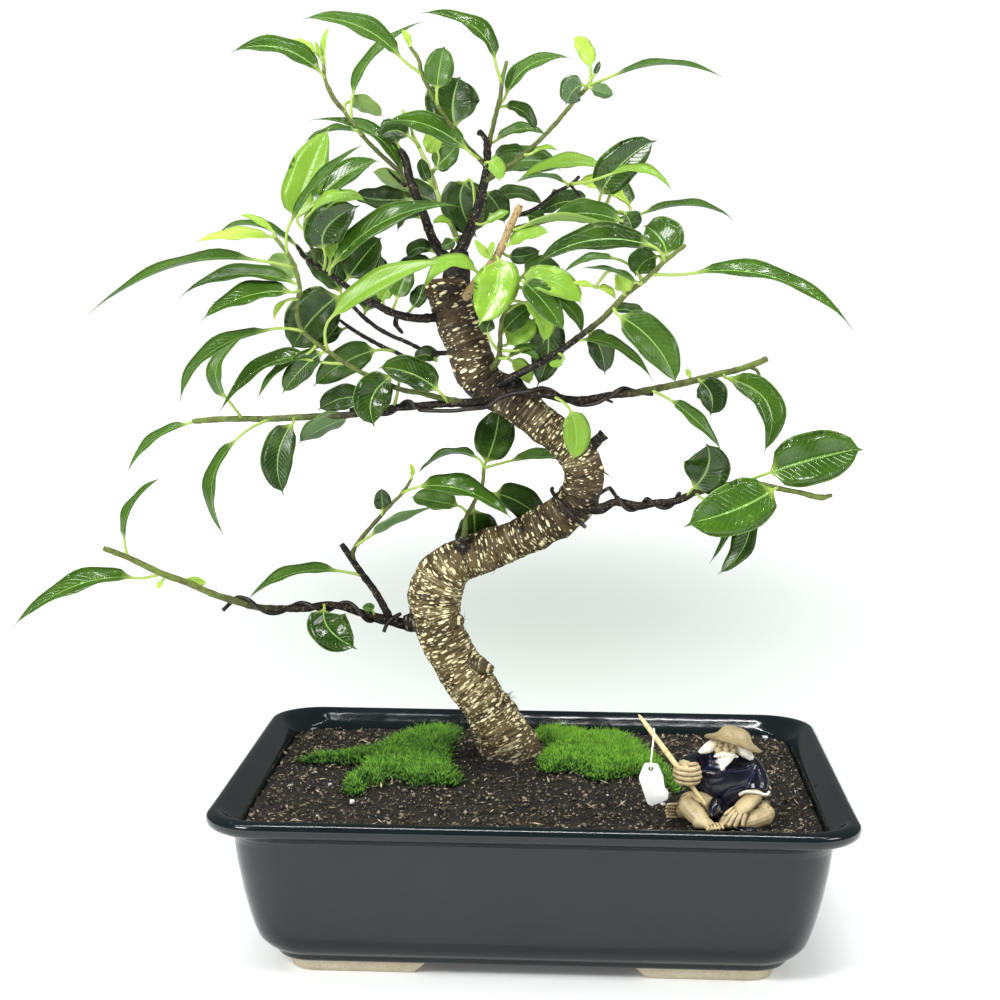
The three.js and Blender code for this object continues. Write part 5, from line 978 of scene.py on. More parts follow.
rightUpperLimb = {"node": "limb_upper_right", "bark": "tgkkk", "stems": [
    [(-36, 268, 20, 2.1), (-28, 279, 15, 2), (-20.8, 287.6, 12, 1.9), (-17.5, 294.3, 11, 1.8),
     (-15, 300.4, 10, 1.8), (-12.2, 306.5, 10, 1.7), (-10.2, 310.8, 10, 1.6)],
    [(-15, 299.6, 10, 1.3), (-5, 302.6, 12, 1.1), (4, 304.6, 14, 1), (14, 306.4, 18, 1),
     (24, 308.2, 22, 1), (34, 307.6, 26, 0.9), (40.4, 307.4, 28, 0.9)],
    [(-12.4, 306, 10, 1.1), (-7, 307.6, 13, 1), (-1, 311, 16, 0.95), (4.5, 315.7, 18, 0.9),
     (11.4, 319.6, 20, 0.85), (15.4, 323.2, 21, 0.8)],
    [(3.6, 314.9, 17.6, 1), (5, 317.4, 17, 1.1)],
    [(11.4, 319.6, 20, 0.8), (15.6, 314.8, 20, 0.6)],
], "leaves": [
    (-14.6, 299.8, -10, 301, 16, 304.4, 43.6, 293.4, 7, 118, -1, -5, "p"),
    (30, 307.9, 33.4, 304.2, 18, 307.4, 3, 304.8, 13, 40, -6, -16, "m"),
    (32, 307.7, 35.6, 307.4, 37.4, 304, 38.8, 299.8, 11, 16, -3, -5, "d"),
    (40.2, 307.4, 42.4, 307.4, 64, 311.6, 82.8, 305.5, 9, 76, -2, -10, "m"),
    (23.6, 308.1, 24.9, 315.8, 33.4, 328.4, 49, 339.8, 17, 14, -2, -12, "W"),
    (12, 319.6, 28.3, 324, 43.8, 325.8, 56, 317.1, 8, 62, -14, -22, "b"),
    (26, 308.2, 25, 327.6, 6, 328.6, -12.4, 320.8, 10, 50, 4, 3, "b"),
    (10.4, 319, 9.4, 320.6, -1, 323.6, -13, 320.4, 7, 82, -3, -6, "m"),
    (12, 319.8, 15, 320.6, 27, 318.4, 39.2, 309.3, 9, 45, 5, 6, "y"),
    (-8.6, 307, -7, 306.4, -3, 305.4, 0.8, 304.4, 8, 20, 4, 6, "m"),
    (-16.9, 295.5, -15, 293.6, -7, 297.8, 3, 299, 9, 50, -2, -6, "b"),
    (-18.5, 292.3, -15, 288.6, -8, 288.8, -1, 291.5, 8, 20, 4, 5, "d"),
    (-20.8, 287.6, -19.6, 287, -20.4, 274.6, -28.3, 258.4, 20, 6, -5, -9, "B"),
    (-26.6, 280.6, -28.9, 281.6, -42, 285.4, -53, 272.4, 9, 50, -4, -10, "b"),
    (-21.6, 286.6, -23.4, 287.8, -27, 291.4, -30.5, 296.5, 4, 20, -2, -3, "p"),
    (-21.2, 287.2, -22.6, 289, -22.6, 292, -21.4, 295.4, 3, 20, -2, -3, "p"),
    (34, 307.6, 37, 311, 30, 318, 18, 322, 12, 40, 14, 30, "d"),
    (20, 307.6, 18, 311, 8, 312, -4, 306, 12, 40, 12, 30, "d"),
]}
rightRisingLimb = {"node": "limb_rising_right", "bark": "Kp", "stems": [
    [(-22, 230, 21, 2.2), (-16.7, 233.7, 13, 2.1), (-12.6, 236, 11, 1.9), (-5.7, 239.6, 8, 1.7),
     (0.8, 243.4, 6, 1.6), (8.5, 248, 4, 1.5), (13.7, 251.9, 2, 1.5), (20, 256.7, 0, 1.4),
     (26.7, 262.2, -2, 1.4), (32.4, 268.4, -4, 1.3), (36.5, 272.6, -5, 1.2), (43.2, 277.8, -7, 1.2),
     (47.8, 281.9, -8, 1.15), (53.3, 287.1, -10, 1.05), (61.8, 294.1, -12, 0.95)],
    [(40.4, 275.7, -6, 0.85), (34, 281.5, -3, 0.8), (28.3, 282.3, -2, 0.75), (23, 275.5, -2, 0.7)],
], "leaves": [
    (53, 286.8, 47.4, 293.4, 20, 295.6, -5, 284, 16, 42, -4, -10, "W"),
    (47.2, 281.4, 65.6, 281.9, 103, 279.6, 136.3, 258.8, 14, 60, -3, -12, "w"),
    (54, 287.8, 53.5, 290, 50.8, 297, 43.6, 302.6, 20, 10, 3, 9, "w"),
    (51.6, 285.6, 49.4, 289, 42.8, 286.4, 40.3, 280.4, 13, 15, 5, 5, "w"),
    (36.2, 272.3, 35.4, 273.4, 37.2, 277.4, 31, 281.4, 9, 20, -3, -5, "p"),
    (43, 277.7, 41, 277.8, 30, 283, 16.3, 284, 7, 78, -5, -8, "g"),
    (43.6, 278.2, 31, 288, 19, 287.4, 8.6, 281.5, 7, 60, 8, 12, "m"),
    (23, 275.5, 21.6, 276, 17.6, 276.6, 12.6, 277.6, 4, 45, 0, 0, "y"),
    (23, 275.5, 24.4, 275.4, 28.4, 274, 32, 270.3, 5, 45, 0, -1, "y"),
    (31, 266.8, 33.8, 263, 49.2, 251, 59.3, 232.9, 17, 14, -3, -10, "m"),
    (27.6, 263.2, 31, 265.6, 39.6, 265, 46, 259.8, 8, 45, 4, 6, "d"),
    (8.5, 248, 17.4, 252.4, 33.8, 249, 49.3, 235, 9, 58, -3, -9, "m"),
    (20, 256.7, 20.4, 256, 25.6, 248.4, 27.7, 237.3, 12, 14, 6, 10, "d"),
    (6.6, 246.9, 8.8, 243.2, 6, 241.8, 2.8, 242.2, 3.6, 8, -4, -5, "b"),
]}
middleRightLimb = {"node": "limb_middle_right", "bark": "Kgk", "stems": [
    [(-19, 229, 21, 2), (-11.4, 229.6, 14, 1.7), (-4.4, 229, 10.5, 1.5), (2.1, 228.2, 9, 1.4),
     (8.5, 226.7, 9, 1.35), (16.3, 226, 10, 1.35), (24.1, 227, 11, 1.3), (30.6, 228.4, 12, 1.3),
     (35.7, 228.9, 14, 1.3), (40.3, 229.2, 15, 1.25), (46.1, 230.6, 17, 1.2), (52.6, 231.9, 19, 1.2),
     (60.5, 233.6, 22, 1.2), (67, 235.2, 24, 1.15), (72.2, 236.6, 26, 1.1), (78, 238.2, 28, 1.1),
     (83.9, 239.5, 30, 1), (90.5, 241.6, 32, 1), (98.4, 245, 34, 1)],
    [(90.2, 241.4, 32, 0.8), (94, 239.9, 31, 0.7), (95.8, 235.8, 30, 0.65), (97.4, 233.9, 30, 0.5)],
    [(26.4, 227.4, 11, 0.8), (31.4, 225, 10, 0.6)],
], "leaves": [
    (68.8, 235.7, 69.4, 235, 78.6, 229.4, 74, 219.8, 14, 18, -3, -7, "d"),
    (66, 235, 65, 236.6, 64, 238.6, 63.3, 240.6, 2.6, 30, 0, 0, "y"),
    (79.6, 238.5, 81, 236.4, 99.6, 224.4, 97.3, 202.6, 14, 30, -3, -12, "w"),
    (47.5, 230.9, 57, 226.2, 68.6, 217, 80, 204.4, 9, 45, -3, -6, "m"),
    (4.6, 227.6, 12.8, 221, 15.6, 210.6, 14, 199.6, 12.5, 6, -5, -6, "b"),
]}
centreLimb = {"node": "shoot_centre", "bark": "g", "stems": [
    [(-26, 236, 23, 1.6), (-19.6, 243, 13, 1.4), (-18.6, 250, 9, 1.1), (-18.4, 257, 7, 1),
     (-16, 266, 6, 0.95), (-12.2, 275, 6, 0.9), (-10, 279.4, 6, 0.8)],
], "leaves": [
    (-10.4, 278.8, -9, 279.6, 6, 277, 17.5, 268, 13, 16, -1, -6, "B"),
    (-10.6, 278, -8.6, 277.6, 0.4, 269, 10.2, 255.4, 12, 18, -4, -8, "w"),
    (-12, 275.4, 3, 271.6, 13, 265, 17.4, 254.6, 8, 35, 4, 3, "w"),
    (-16.6, 264, -2, 266, 2.8, 250, -2.5, 231.2, 16, 10, 9, 12, "d"),
    (-14.6, 269.4, -7.8, 268.4, 0.8, 262.4, 0.2, 250.6, 10, 10, 1, 0, "b"),
    (-18.5, 249.6, -15.2, 250.4, -8.6, 256, -2.5, 260.4, 12, 12, 3, 6, "b"),
    (-18.4, 254, -17.2, 255.6, -11.6, 262, -5, 267, 11, 14, 4, 7, "m"),
    (-19.4, 244.6, -15, 244.6, -8, 248, -1.5, 249.2, 7, 62, -4, -6, "d"),
    (-19, 245.6, -13.4, 243, -8, 238.4, -5.4, 232.6, 8, 20, 5, 8, "p"),
    (-18.8, 247.6, -10, 247.6, -6, 247, -1, 243.4, 5, 40, -3, -9, "m"),
    (-18.9, 247.4, -24, 255, -25, 258.6, -21.6, 261.2, 7, 15, -4, -3, "d"),
    (-11.4, 276.6, -8, 281, 0, 284.6, 8.5, 280.2, 9, 30, 5, 8, "d"),
]}

# Trunk.

trunk = {
    "rows": [
        (-8, 36, 26, 9), (-9, 50, 26, 12.5), (-10.5, 59, 26, 15.2), (-12.5, 66, 26, 14.6),
        (-15.5, 73, 26, 12.8), (-19, 80, 26, 11.4), (-25.5, 90.5, 26, 10.5), (-33.2, 101, 27, 10.5),
        (-40, 113, 28, 10.6), (-44, 121.4, 28, 10.8), (-46.6, 129.5, 29, 11.4), (-46.8, 138, 29, 11.9),
        (-44, 146.5, 29, 11.2), (-38, 152.6, 28, 9.8), (-29.9, 156, 28, 9), (-19.7, 159.8, 27, 8.8),
        (-9.5, 164.2, 26, 8.6), (0.7, 169.4, 24, 8.8), (10.8, 175.6, 22, 9.2), (17, 183.2, 20, 9),
        (18.9, 192.4, 19, 8.7), (16.6, 201, 19, 8.6), (9.6, 208.4, 20, 8), (2, 214.2, 21, 8.1),
        (-4.9, 220, 22, 8.1), (-14, 226.4, 23, 8.4), (-23, 231.4, 24, 9), (-29.4, 239, 24, 9.5),
        (-33.2, 251, 24, 9.4), (-38.6, 264.8, 25, 9.8), (-41.6, 273.6, 25, 9.6), (-42.2, 279, 25, 8.8),
    ],
    "stubs": [
        [(-38, 268, 25, 6), (-38, 278, 25, 6.2), (-37.2, 286, 25, 5.2), (-36.4, 291, 25, 3.8)],
        [(17, 200, 19, 5), (21.5, 205, 18, 3.1), (25, 208.4, 17, 2.4), (27.8, 211.2, 17, 2.6)],
        [(-48, 127, 28, 7), (-56, 125.6, 27, 4.8), (-60.5, 124.6, 26.5, 3.4)],
        [(-34.4, 155, 26, 6), (-34.2, 162, 22, 3.6), (-34, 165, 21, 2.2)],
        [(-30, 107, 24, 6), (-23, 105, 20, 2.8), (-20.6, 104.6, 19, 1.6)],
        [(-24, 94, 24, 6), (-15.4, 91.4, 20, 2.6), (-13.6, 91.6, 19, 1.4)],
        [(-42, 126, 26, 7), (-36, 126.4, 21, 3), (-34.4, 126.4, 20, 1.6)],
        [(-24, 156, 25, 6), (-21.5, 151.6, 21, 2.8), (-20.6, 149.8, 20, 1.6)],
        [(-16, 226, 22, 6), (-12, 232.2, 17, 4.2), (-10.4, 233.6, 15, 2.8)],
    ],
    "darkness": [0.0, 1.0, 1.0, 1.0, 1.0, 0.35, 0.35, 0.35, 0.35, 1.0],
    "sides": 72,
    "lump": 0.45,
    "wrinkle": 0.2,
    "bark": (0.060, 0.037, 0.012),
    "barkDark": (0.012, 0.007, 0.0035),
    "barkLight": (0.23, 0.17, 0.062),
    "lenticel": (1.0, 0.94, 0.62),
    "lenticelLow": (0.90, 0.78, 0.43),
    # near-black bark of the furrows, stubs and collars, also the painted shade at the trunk's foot
    "collar": (0.010, 0.007, 0.005),
}


def trunkRipple(points):
    # slow lumps plus fine wrinkles squeezed along z
    squeezed = points * np.array([1, 1, 2.6])
    knobs = 0.12 * waveNoise(points, 3.4, 8)
    return trunk["lump"] * waveNoise(points, 13, 5) + trunk["wrinkle"] * waveNoise(squeezed, 5, 6) + knobs


def makeTrunk():
    shapes = [tube(*seenStem(smoothPath(trunk["rows"], 8)), trunk["sides"], trunkRipple)]
    for k, stub in enumerate(trunk["stubs"]):
        rough = lambda p, k=k: 0.16 * waveNoise(p, 3.0, 40 + k)
        shapes.append(tube(*seenStem(smoothPath(stub, 6)), 24, rough))
    for shape, dark in zip(shapes, trunk["darkness"]):
        shape["dark"] = np.full((len(shape["points"]), 4), dark)
    whole = joinShapes(shapes)
    # darker round the limbs' collars, and painted shade towards the soil
    p = whole["points"]
    spots = seen([-20, -27, -38, 22, -58], [228, 224, 262, 178, 125], [16, 16, 22, 15, 27])
    near = np.exp(-(np.linalg.norm(p[:, None] - spots[None], axis=2).min(axis=1) / 6.5) ** 2)
    low = smoothStep(80, 63, p[:, 2])
    whole["dark"][:, 0] = np.clip(whole["dark"][:, 0] + 0.8 * near + 0.95 * low, 0, 1)
    # paler low down, and a painted highlight along the upper right bend where the light falls
    high = seen(8, 208, 12)
    litBend = 0.6 * np.exp(-(np.linalg.norm(p - high, axis=1) / 16) ** 2)
    whole["dark"][:, 1] = np.clip(smoothStep(176, 140, p[:, 2]) + litBend + 0.12, 0, 1)
    colours = {"barkDark": whole["dark"], "barkGrain": whole["grain"]}
    makeObject("trunk_bark", whole, makeTrunkMaterial(), ("trunk",), colours)


def makeTrunkMaterial():
    material, tree, shader = newMaterial("trunkBark")
    grain = attribute(tree, "barkGrain")["Vector"]
    # red of barkDark: the stubs' and collars' darker bark and painted shade at the trunk's foot; green:
    # paler bark low down and a painted highlight on the upper bend
    dark, pale, _ = channels(tree, "barkDark")
    mottle = mottled(tree, 120.0, 0.45)
    patches = ramp(noise(objectPlace(tree), 55.0, 2.0), 0.36, 0.62)
    amount = timesPlus(patches, 0.3, timesPlus(pale, 0.78, 0.2))
    wide = useGroup(tree, lenticelGroup, Vector=grain, Amount=amount, Across=0.24, Along=0.74)["Mask"]
    small = useGroup(tree, lenticelGroup, Vector=grain, Amount=times(amount, 0.5),
                     Across=0.45, Along=1.4)["Mask"]
    marks = mathNode("MAXIMUM", wide, times(small, 0.8))
    # thin rings round the trunk: noise stretched round it
    rings = noise(scaledVector(grain, (0.05, 0.05, 0.62)), 1.0, 3.0)
    scar = times(ramp(rings, 0.60, 0.66), timesPlus(pale, 0.25, 0.08))
    furrow = ramp(rings, 0.46, 0.40)
    bare = mix(ramp(mottle, 0.38, 0.62), trunk["barkDark"], trunk["bark"])
    # paler bark low down, and the painted highlight on the upper bend
    bare = mix(times(pale, 0.45), bare, trunk["barkLight"])
    bare = mix(times(furrow, 0.55), bare, trunk["collar"])
    # near black at the stubs and collars, and painted shade at the foot
    bare = mix(dark, bare, trunk["collar"])
    faded = times(marks, timesPlus(dark, -0.8, 0.95))
    faded = mathNode("MAXIMUM", faded, times(scar, 0.8))
    speckled = mix(ramp(mottle, 0.40, 0.66), trunk["lenticelLow"], trunk["lenticel"])
    colour = mix(faded, bare, speckled)
    dress(shader, colour, timesPlus(mottle, 0.3, 0.5), 0.3)
    relief = timesPlus(furrow, -0.7, timesPlus(marks, 0.9, mottle))
    bump(shader, relief, 1.0, 0.0014)
    return material


# Training wires.

wire = {
    "radius": 0.92,
    "standOff": 0.26,
    "colour": (0.007, 0.0055, 0.005),
    "scratched": (0.05, 0.035, 0.028),
    "metallic": 0.35,
    "roughness": 0.38,
}


def coil(rows, start, end, turns, phase):
    # path + (limb radius + stand off + wire radius) * (cos(a) side + sin(a) up) with
    # a = phase + 2 pi turns k, for k from 0 to 1
    centre, radii = seenStem(rows)
    side, up = pathFrames(centre)
    k = np.linspace(0, 1, round(abs(turns) * 24) + 1)
    at = (start + (end - start) * k) * (len(rows) - 1)
    i = np.minimum(np.floor(at).astype(int), len(rows) - 2)
    share = (at - i)[:, None]
    point = centre[i] + (centre[i + 1] - centre[i]) * share
    radius = radii[i] + (radii[i + 1] - radii[i]) * share[:, 0]
    radius = (radius + wire["standOff"] + wire["radius"])[:, None]
    sideHere = unit(side[i] + (side[i + 1] - side[i]) * share)
    upHere = unit(up[i] + (up[i + 1] - up[i]) * share)
    angle = (phase + fullTurn * turns * k)[:, None]
    return point + radius * (np.cos(angle) * sideHere + np.sin(angle) * upHere)


def trunkTurn(reach, start, end, drift, steps):
    # middle + reach * (cos(a) across - sin(a) depth) + drift along the trunk, a in degrees
    middle = seen(13.4, 179.4, 21)
    k = np.linspace(0, 1, steps)[:, None]
    angle = np.radians(start + (end - start) * k)
    point = middle + reach * np.cos(angle) * np.array([-0.76, 0, 0.65])
    return point - reach * np.sin(angle) * np.array([0, 1, 0]) + drift * k * np.array([0.65, 0, 0.76])


def makeWire(node, pieces, material):
    # all the points in one, thinned where they crowd, then rounded with Catmull-Rom
    points = np.vstack(pieces)
    thin = [points[0]]
    for point in points[1:]:
        if np.linalg.norm(point - thin[-1]) > 1.4:
            thin.append(point)
    path = smoothPath(np.array(thin), 5)
    shape = tube(path, np.full(len(path), wire["radius"]), 10)
    makeObject(node + "_coil", shape, material, (node,))


def makeWires():
    material = mottledMaterial("darkWire", wire["colour"], wire["scratched"], 300.0, 0.4, (0.4, 0.7),
                               (0.3, wire["roughness"] - 0.1), (0.3, 0.0002))
    material.node_tree.nodes["Principled BSDF"].inputs["Metallic"].default_value = wire["metallic"]
    left, right = lowerLeftLimb["stems"][0], lowerRightLimb["stems"][0]
    midLeft, midRight = middleLeftLimb["stems"][0], middleRightLimb["stems"][0]
    start = [(-69.8, 120.8, 20.4), (-68.4, 124.2, 20.8), (-65.4, 127.4, 21.2), (-62.6, 129, 24.8),
             (-65, 127.6, 29), (-69.4, 125, 28.2)]
    end = [(-135.4, 135.6, 16.4), (-138, 133.8, 17.2), (-142.6, 129.4, 15)]
    coils = [seenRows(start), coil(left, 0.2, 0.643, 2.62, 0.8), seenRows(end)]
    makeWire("wire_lower_left", coils, material)
    behind = [(20, 177, 33), (25, 183.6, 31), (30, 187, 24), (31.4, 186.2, 16)]
    coils = [trunkTurn(11, -10, 230, -4, 12), seenRows(behind), coil(right, 0.135, 0.4, 2, 1.6)]
    makeWire("wire_lower_right", coils, material)
    over = [(-40, 220.6, 12), (-33, 221.4, 10.8), (-24, 222.6, 11.4), (-18.4, 226.6, 10.6),
            (-12, 228.6, 10), (-5.4, 229.8, 7.2)]
    coils = [coil(midLeft, 0.54, 0.34, -1.5, 5.1), seenRows(over), coil(midRight, 0.14, 0.58, -1.5, 1.75)]
    makeWire("wire_middle", coils, material)
    print("made wires")


# Pot.

pot = {
    "profile": [
        (99.6, 76.1, 12, 4.8), (102.2, 78.6, 14, 4.9), (103.4, 79.8, 14.6, 5.4), (104.1, 80.5, 14.9, 6.4),
        (104.4, 80.8, 15, 7.6), (104.9, 81.1, 15.2, 8.2), (106.4, 82.1, 15.8, 8.7),
        (108.4, 83.4, 16.6, 10.2), (110.2, 84.6, 17.4, 12), (111.6, 85.4, 18, 13.8),
        (113.2, 86.4, 18.5, 18), (115, 87.5, 19, 24), (117.4, 89, 19.5, 34), (119.6, 90.4, 20, 46),
        (120.6, 91.1, 20, 54), (120.8, 91.3, 20, 55.6), (121.2, 91.7, 20.2, 56.2),
        (121.3, 91.8, 20.2, 57), (121.9, 92.3, 20.4, 57.9), (123.6, 94, 21, 58.9),
        (126.6, 97, 21.8, 60.2), (129, 99.4, 22.4, 61.5), (130.3, 100.7, 22.9, 62.9),
        (130.7, 101.1, 23, 64.6), (130.5, 100.9, 22.8, 66), (130.1, 100.5, 22.6, 66.6),
        (129.7, 100.1, 22.4, 66.92), (129.1, 99.5, 22.1, 67.38), (128.5, 98.9, 21.8, 67.7),
        (127.3, 97.7, 21.3, 68), (126.1, 96.5, 20.9, 67.75), (124.9, 95.3, 20.4, 66.9),
        (123, 93.4, 19.5, 65), (121.2, 91.6, 18.6, 63.2), (119.8, 90.2, 17.8, 61.9),
        (118.8, 89.2, 17.2, 60.6), (118.2, 88.6, 16.8, 59), (117.4, 87.8, 16.2, 56),
        (116.2, 86.6, 15.6, 52), (113.4, 84, 14.8, 36), (110.6, 81.4, 14, 22), (107.6, 78.4, 13, 14),
        (104.2, 75.2, 12, 11),
    ],
    "cornerSteps": 12,
    "sideSteps": 10,
    "drainX": 58.0,
    "drainRadius": 9.0,
    "drainSides": 28,
    "floorTop": 11.0,
    "footHeight": 4.8,
    "panelDepth": 0.35,
    "glaze": (0.0025, 0.0058, 0.0066),
    "glazeHigh": (0.0045, 0.0088, 0.0098),
    "pits": [(120.7, -8.3, 62.6), (120.9, -91.5, 67.5), (-125.5, -89, 65.5), (-117.1, -95.1, 67.1)],
    "clay": (0.43, 0.37, 0.265),
    "clayHigh": (0.55, 0.50, 0.38),
}


def atLevel(flat, z):
    return np.hstack([flat, np.full((len(flat), 1), float(z))])


def roundedRing(halfLength, halfWidth, radius, z, sideSteps):
    # quarter circles centred radius in from each corner, joined by straight runs
    points = []
    for sx, sy, turn in ((1, 1, 0), (-1, 1, 1), (-1, -1, 2), (1, -1, 3)):
        angle = (turn + np.linspace(0, 1, pot["cornerSteps"] + 1)) * math.pi / 2
        points.append(np.stack([sx * (halfLength - radius) + radius * np.cos(angle),
                                sy * (halfWidth - radius) + radius * np.sin(angle)], axis=-1))
    ring = []
    for k in range(4):
        ring.append(points[k])
        a, b = points[k][-1], points[(k + 1) % 4][0]
        t = np.linspace(0, 1, sideSteps + 1)[1:-1, None]
        ring.append(a + (b - a) * t)
    return atLevel(np.vstack(ring) + np.array([0, potDepth]), z)


def floorFaces(ring, holes, z, up):
    spots, tris = flatFaces(ring[:, :2], holes, up)
    return {"points": atLevel(spots, z), "quads": noQuads, "tris": tris, "uv": spots * 0.01}


def makePot():
    # rings of the profile carried round a rounded rectangle, the front and back panels set in
    rows = np.array(pot["profile"])
    rings = np.stack([roundedRing(*row, pot["sideSteps"]) for row in rows])
    x, z = rings[..., 0], rings[..., 2]
    onWall = smoothStep(15, 19, z) * smoothStep(53.5, 50, z) * smoothStep(95, 91, np.abs(x))
    onFront = np.abs(rings[..., 1] - potDepth) > 80
    outer = np.arange(len(rows))[:, None] < 18
    rings[..., 1] -= np.sign(rings[..., 1]) * pot["panelDepth"] * onWall * onFront * outer
    angle = roundAngles(pot["drainSides"])
    circle = pot["drainRadius"] * np.stack([np.cos(angle), np.sin(angle)], axis=-1)
    holes = [circle + np.array([sx * pot["drainX"], potDepth]) for sx in (-1, 1)]
    low, high = pot["footHeight"], pot["floorTop"]
    shapes = [ringShape(rings, capped=False)]
    shapes += [floorFaces(rings[0], holes, low, False), floorFaces(rings[-1], holes, high, True)]
    shapes += [holeWall(atLevel(hole, low), atLevel(hole, high)) for hole in holes]
    body = joinShapes(shapes)
    weld(makeObject("pot_body", body, makeGlazeMaterial(), ("pot",), sharpAngle=50))
    feet = joinShapes([footShape(sx, sy) for sx in (-1, 1) for sy in (-1, 1)])
    clay = mottledMaterial("bareClay", pot["clay"], pot["clayHigh"], 160.0, 0.5, (0.35, 0.68),
                           (0.2, 0.7), (0.4, 0.0003))
    makeObject("pot_feet", feet, clay, ("pot",), sharpAngle=40)
    print("made pot")


def footShape(sx, sy):
    # an L round one corner: outer edge with a quarter circle, inner edge square, low end smaller
    wide, radius = 10.0, 10.5
    levels = [(2.6, 2.8, 0.0), (2.0, 2.4, 0.35), (1.2, 0.4, 2.4), (0.2, -2.2, 4.9)]
    rings = []
    for inset, slant, z in levels:
        x0, x1 = 44.6 + slant, 99.8 - inset
        y0, y1 = 38 + slant, 78.6 - inset
        angle = np.linspace(math.pi / 2, 0, 11)
        arc = np.stack([x1 - radius + radius * np.cos(angle),
                        y1 - radius + radius * np.sin(angle)], axis=-1)
        corner = np.stack([x1 - wide - (radius - wide) * (1 - np.cos(angle[::-1])),
                           y1 - wide - (radius - wide) * (1 - np.sin(angle[::-1]))], axis=-1)
        inner = np.vstack([[(x1 - wide, y0)], corner, [(x0, y1 - wide)]])
        outline = np.vstack([[(x0, y1)], arc, [(x1, y0)], inner])
        outline = outline * np.array([sx, sy]) + np.array([0, potDepth])
        rings.append(atLevel(outline, z))
    shape = ringShape(np.array(rings), capped=False)
    # both ends of the L are strips between its outer and inner edge
    m = len(rings[0])
    strips = np.array([(i, i + 1, m - 1 - i) for i in range(m // 2 - 1)]
                      + [(i + 1, m - 2 - i, m - 1 - i) for i in range(m // 2 - 1)])
    shape["tris"] = np.vstack([strips, strips[:, ::-1] + (len(rings) - 1) * m])
    check = shape["points"][shape["tris"][0]]
    low = np.cross(check[1] - check[0], check[2] - check[0])[2]
    if low > 0:
        shape["tris"] = shape["tris"][:, ::-1]
    quad = shape["points"][shape["quads"][0]]
    face = np.cross(quad[1] - quad[0], quad[2] - quad[0])
    middle = np.array([sx * 94.0, potDepth + sy * 73.0, 2.4])
    if face @ (quad[0] - middle) < 0:
        shape["quads"] = shape["quads"][:, ::-1]
    return shape


def makeGlazeMaterial():
    material, tree, shader = newMaterial("blackGlaze")
    place = objectPlace(tree)
    mottle = mottled(tree, 35.0, 0.3)
    colour = mix(ramp(mottle, 0.35, 0.7), pot["glaze"], pot["glazeHigh"])
    # pinholes in the glaze on top of the rim
    pinholes = 0.0
    for spot in pot["pits"]:
        pinholes = plus(ramp(distanceTo(tree, spot), 0.0011, 0.0006), pinholes)
    colour = mix(pinholes, colour, (0.002, 0.002, 0.002))
    dress(shader, colour, timesPlus(pinholes, 0.6, timesPlus(mottle, 0.1, 0.05)), 0.4)
    relief = timesPlus(noise(place, 170.0, 1.0), 0.35, noise(place, 30.0, 2.0))
    bump(shader, timesPlus(pinholes, -3.0, relief), 0.12, 0.0012)
    return material


def makeScreens():
    # the CAD screens stay, in matt black plastic
    material = mottledMaterial("meshPlastic", (0.02, 0.02, 0.02), (0.05, 0.05, 0.048), 400.0, 0.4)
    for name in ("drain_screen_left", "drain_screen_right"):
        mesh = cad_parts[name].data
        mesh.materials.clear()
        mesh.materials.append(material)


# Soil.

soil = {
    "edge": 59.5,
    "mound": 6.5,
    "reach": 52.0,
    "trunkX": -13.0,
    "trunkY": 26.0,
    "trunkClear": 16.0,
    "grains": 8200,
    "chips": 760,
    "specks": 520,
    "dark": (0.005, 0.0045, 0.0037),
    "light": (0.026, 0.021, 0.0145),
    "grainDark": (0.006, 0.0052, 0.004),
    "grainLight": (0.42, 0.34, 0.23),
    "chipDark": (0.06, 0.045, 0.026),
    "chipLight": (0.72, 0.60, 0.40),
    "paleDark": (0.34, 0.31, 0.26),
    "paleLight": (0.75, 0.73, 0.68),
    "shadeSpot": (-24.0, 18.0, 64.0),
    "pale": [(-76, -42, 2.6), (-106, -17, 1.5), (-89, -15, 1.2), (-88, -61, 1.3), (54, -35, 1.4),
             (92, 39, 1.6), (-40, -57, 0.9), (8, -49, 0.8), (-60, -66, 0.8), (31, -25, 0.8),
             (-20, -35, 0.7), (66, 12, 0.9), (-98, 5, 0.9), (-70, -8, 0.8), (14, -70, 0.7)],
}


def soilHeight(x, y):
    # edge + mound * exp(-distance^2 / reach^2)
    away = (x - soil["trunkX"]) ** 2 + (y - soil["trunkY"]) ** 2
    return soil["edge"] + soil["mound"] * np.exp(-away / soil["reach"] ** 2)


def lumpShapes(centres, sizes, draw, squash=1.0, stretch=(1.0, 1.0, 1.0), fade=2.2):
    # pebbles of eight faces, their points pushed in and out at random
    base = np.array([(1, 0, 0), (0, 1, 0), (-1, 0, 0), (0, -1, 0), (0, 0, 1), (0, 0, -1)], float)
    faces = np.array([(0, 1, 4), (1, 2, 4), (2, 3, 4), (3, 0, 4),
                      (1, 0, 5), (2, 1, 5), (3, 2, 5), (0, 3, 5)])
    count = len(centres)
    turn, _ = np.linalg.qr(draw.normal(size=(count, 3, 3)))
    turn = turn * np.sign(np.linalg.det(turn))[:, None, None]
    scale = sizes[:, None, None] * draw.uniform(0.55, 1.25, (count, 1, 3))
    scale = scale * draw.uniform(0.75, 1.2, (count, 6, 1))
    points = np.einsum("nij,nkj->nki", turn, base[None] * scale * np.array(stretch))
    points[..., 2] *= squash
    points = points + centres[:, None]
    tris = faces[None] + np.arange(count)[:, None, None] * 6
    tone = redColour(np.repeat(draw.uniform(0, 1, count) ** fade, 6))
    shape = {"points": points.reshape(-1, 3), "quads": noQuads, "tris": tris.reshape(-1, 3)}
    return outward({**shape, "tone": tone})


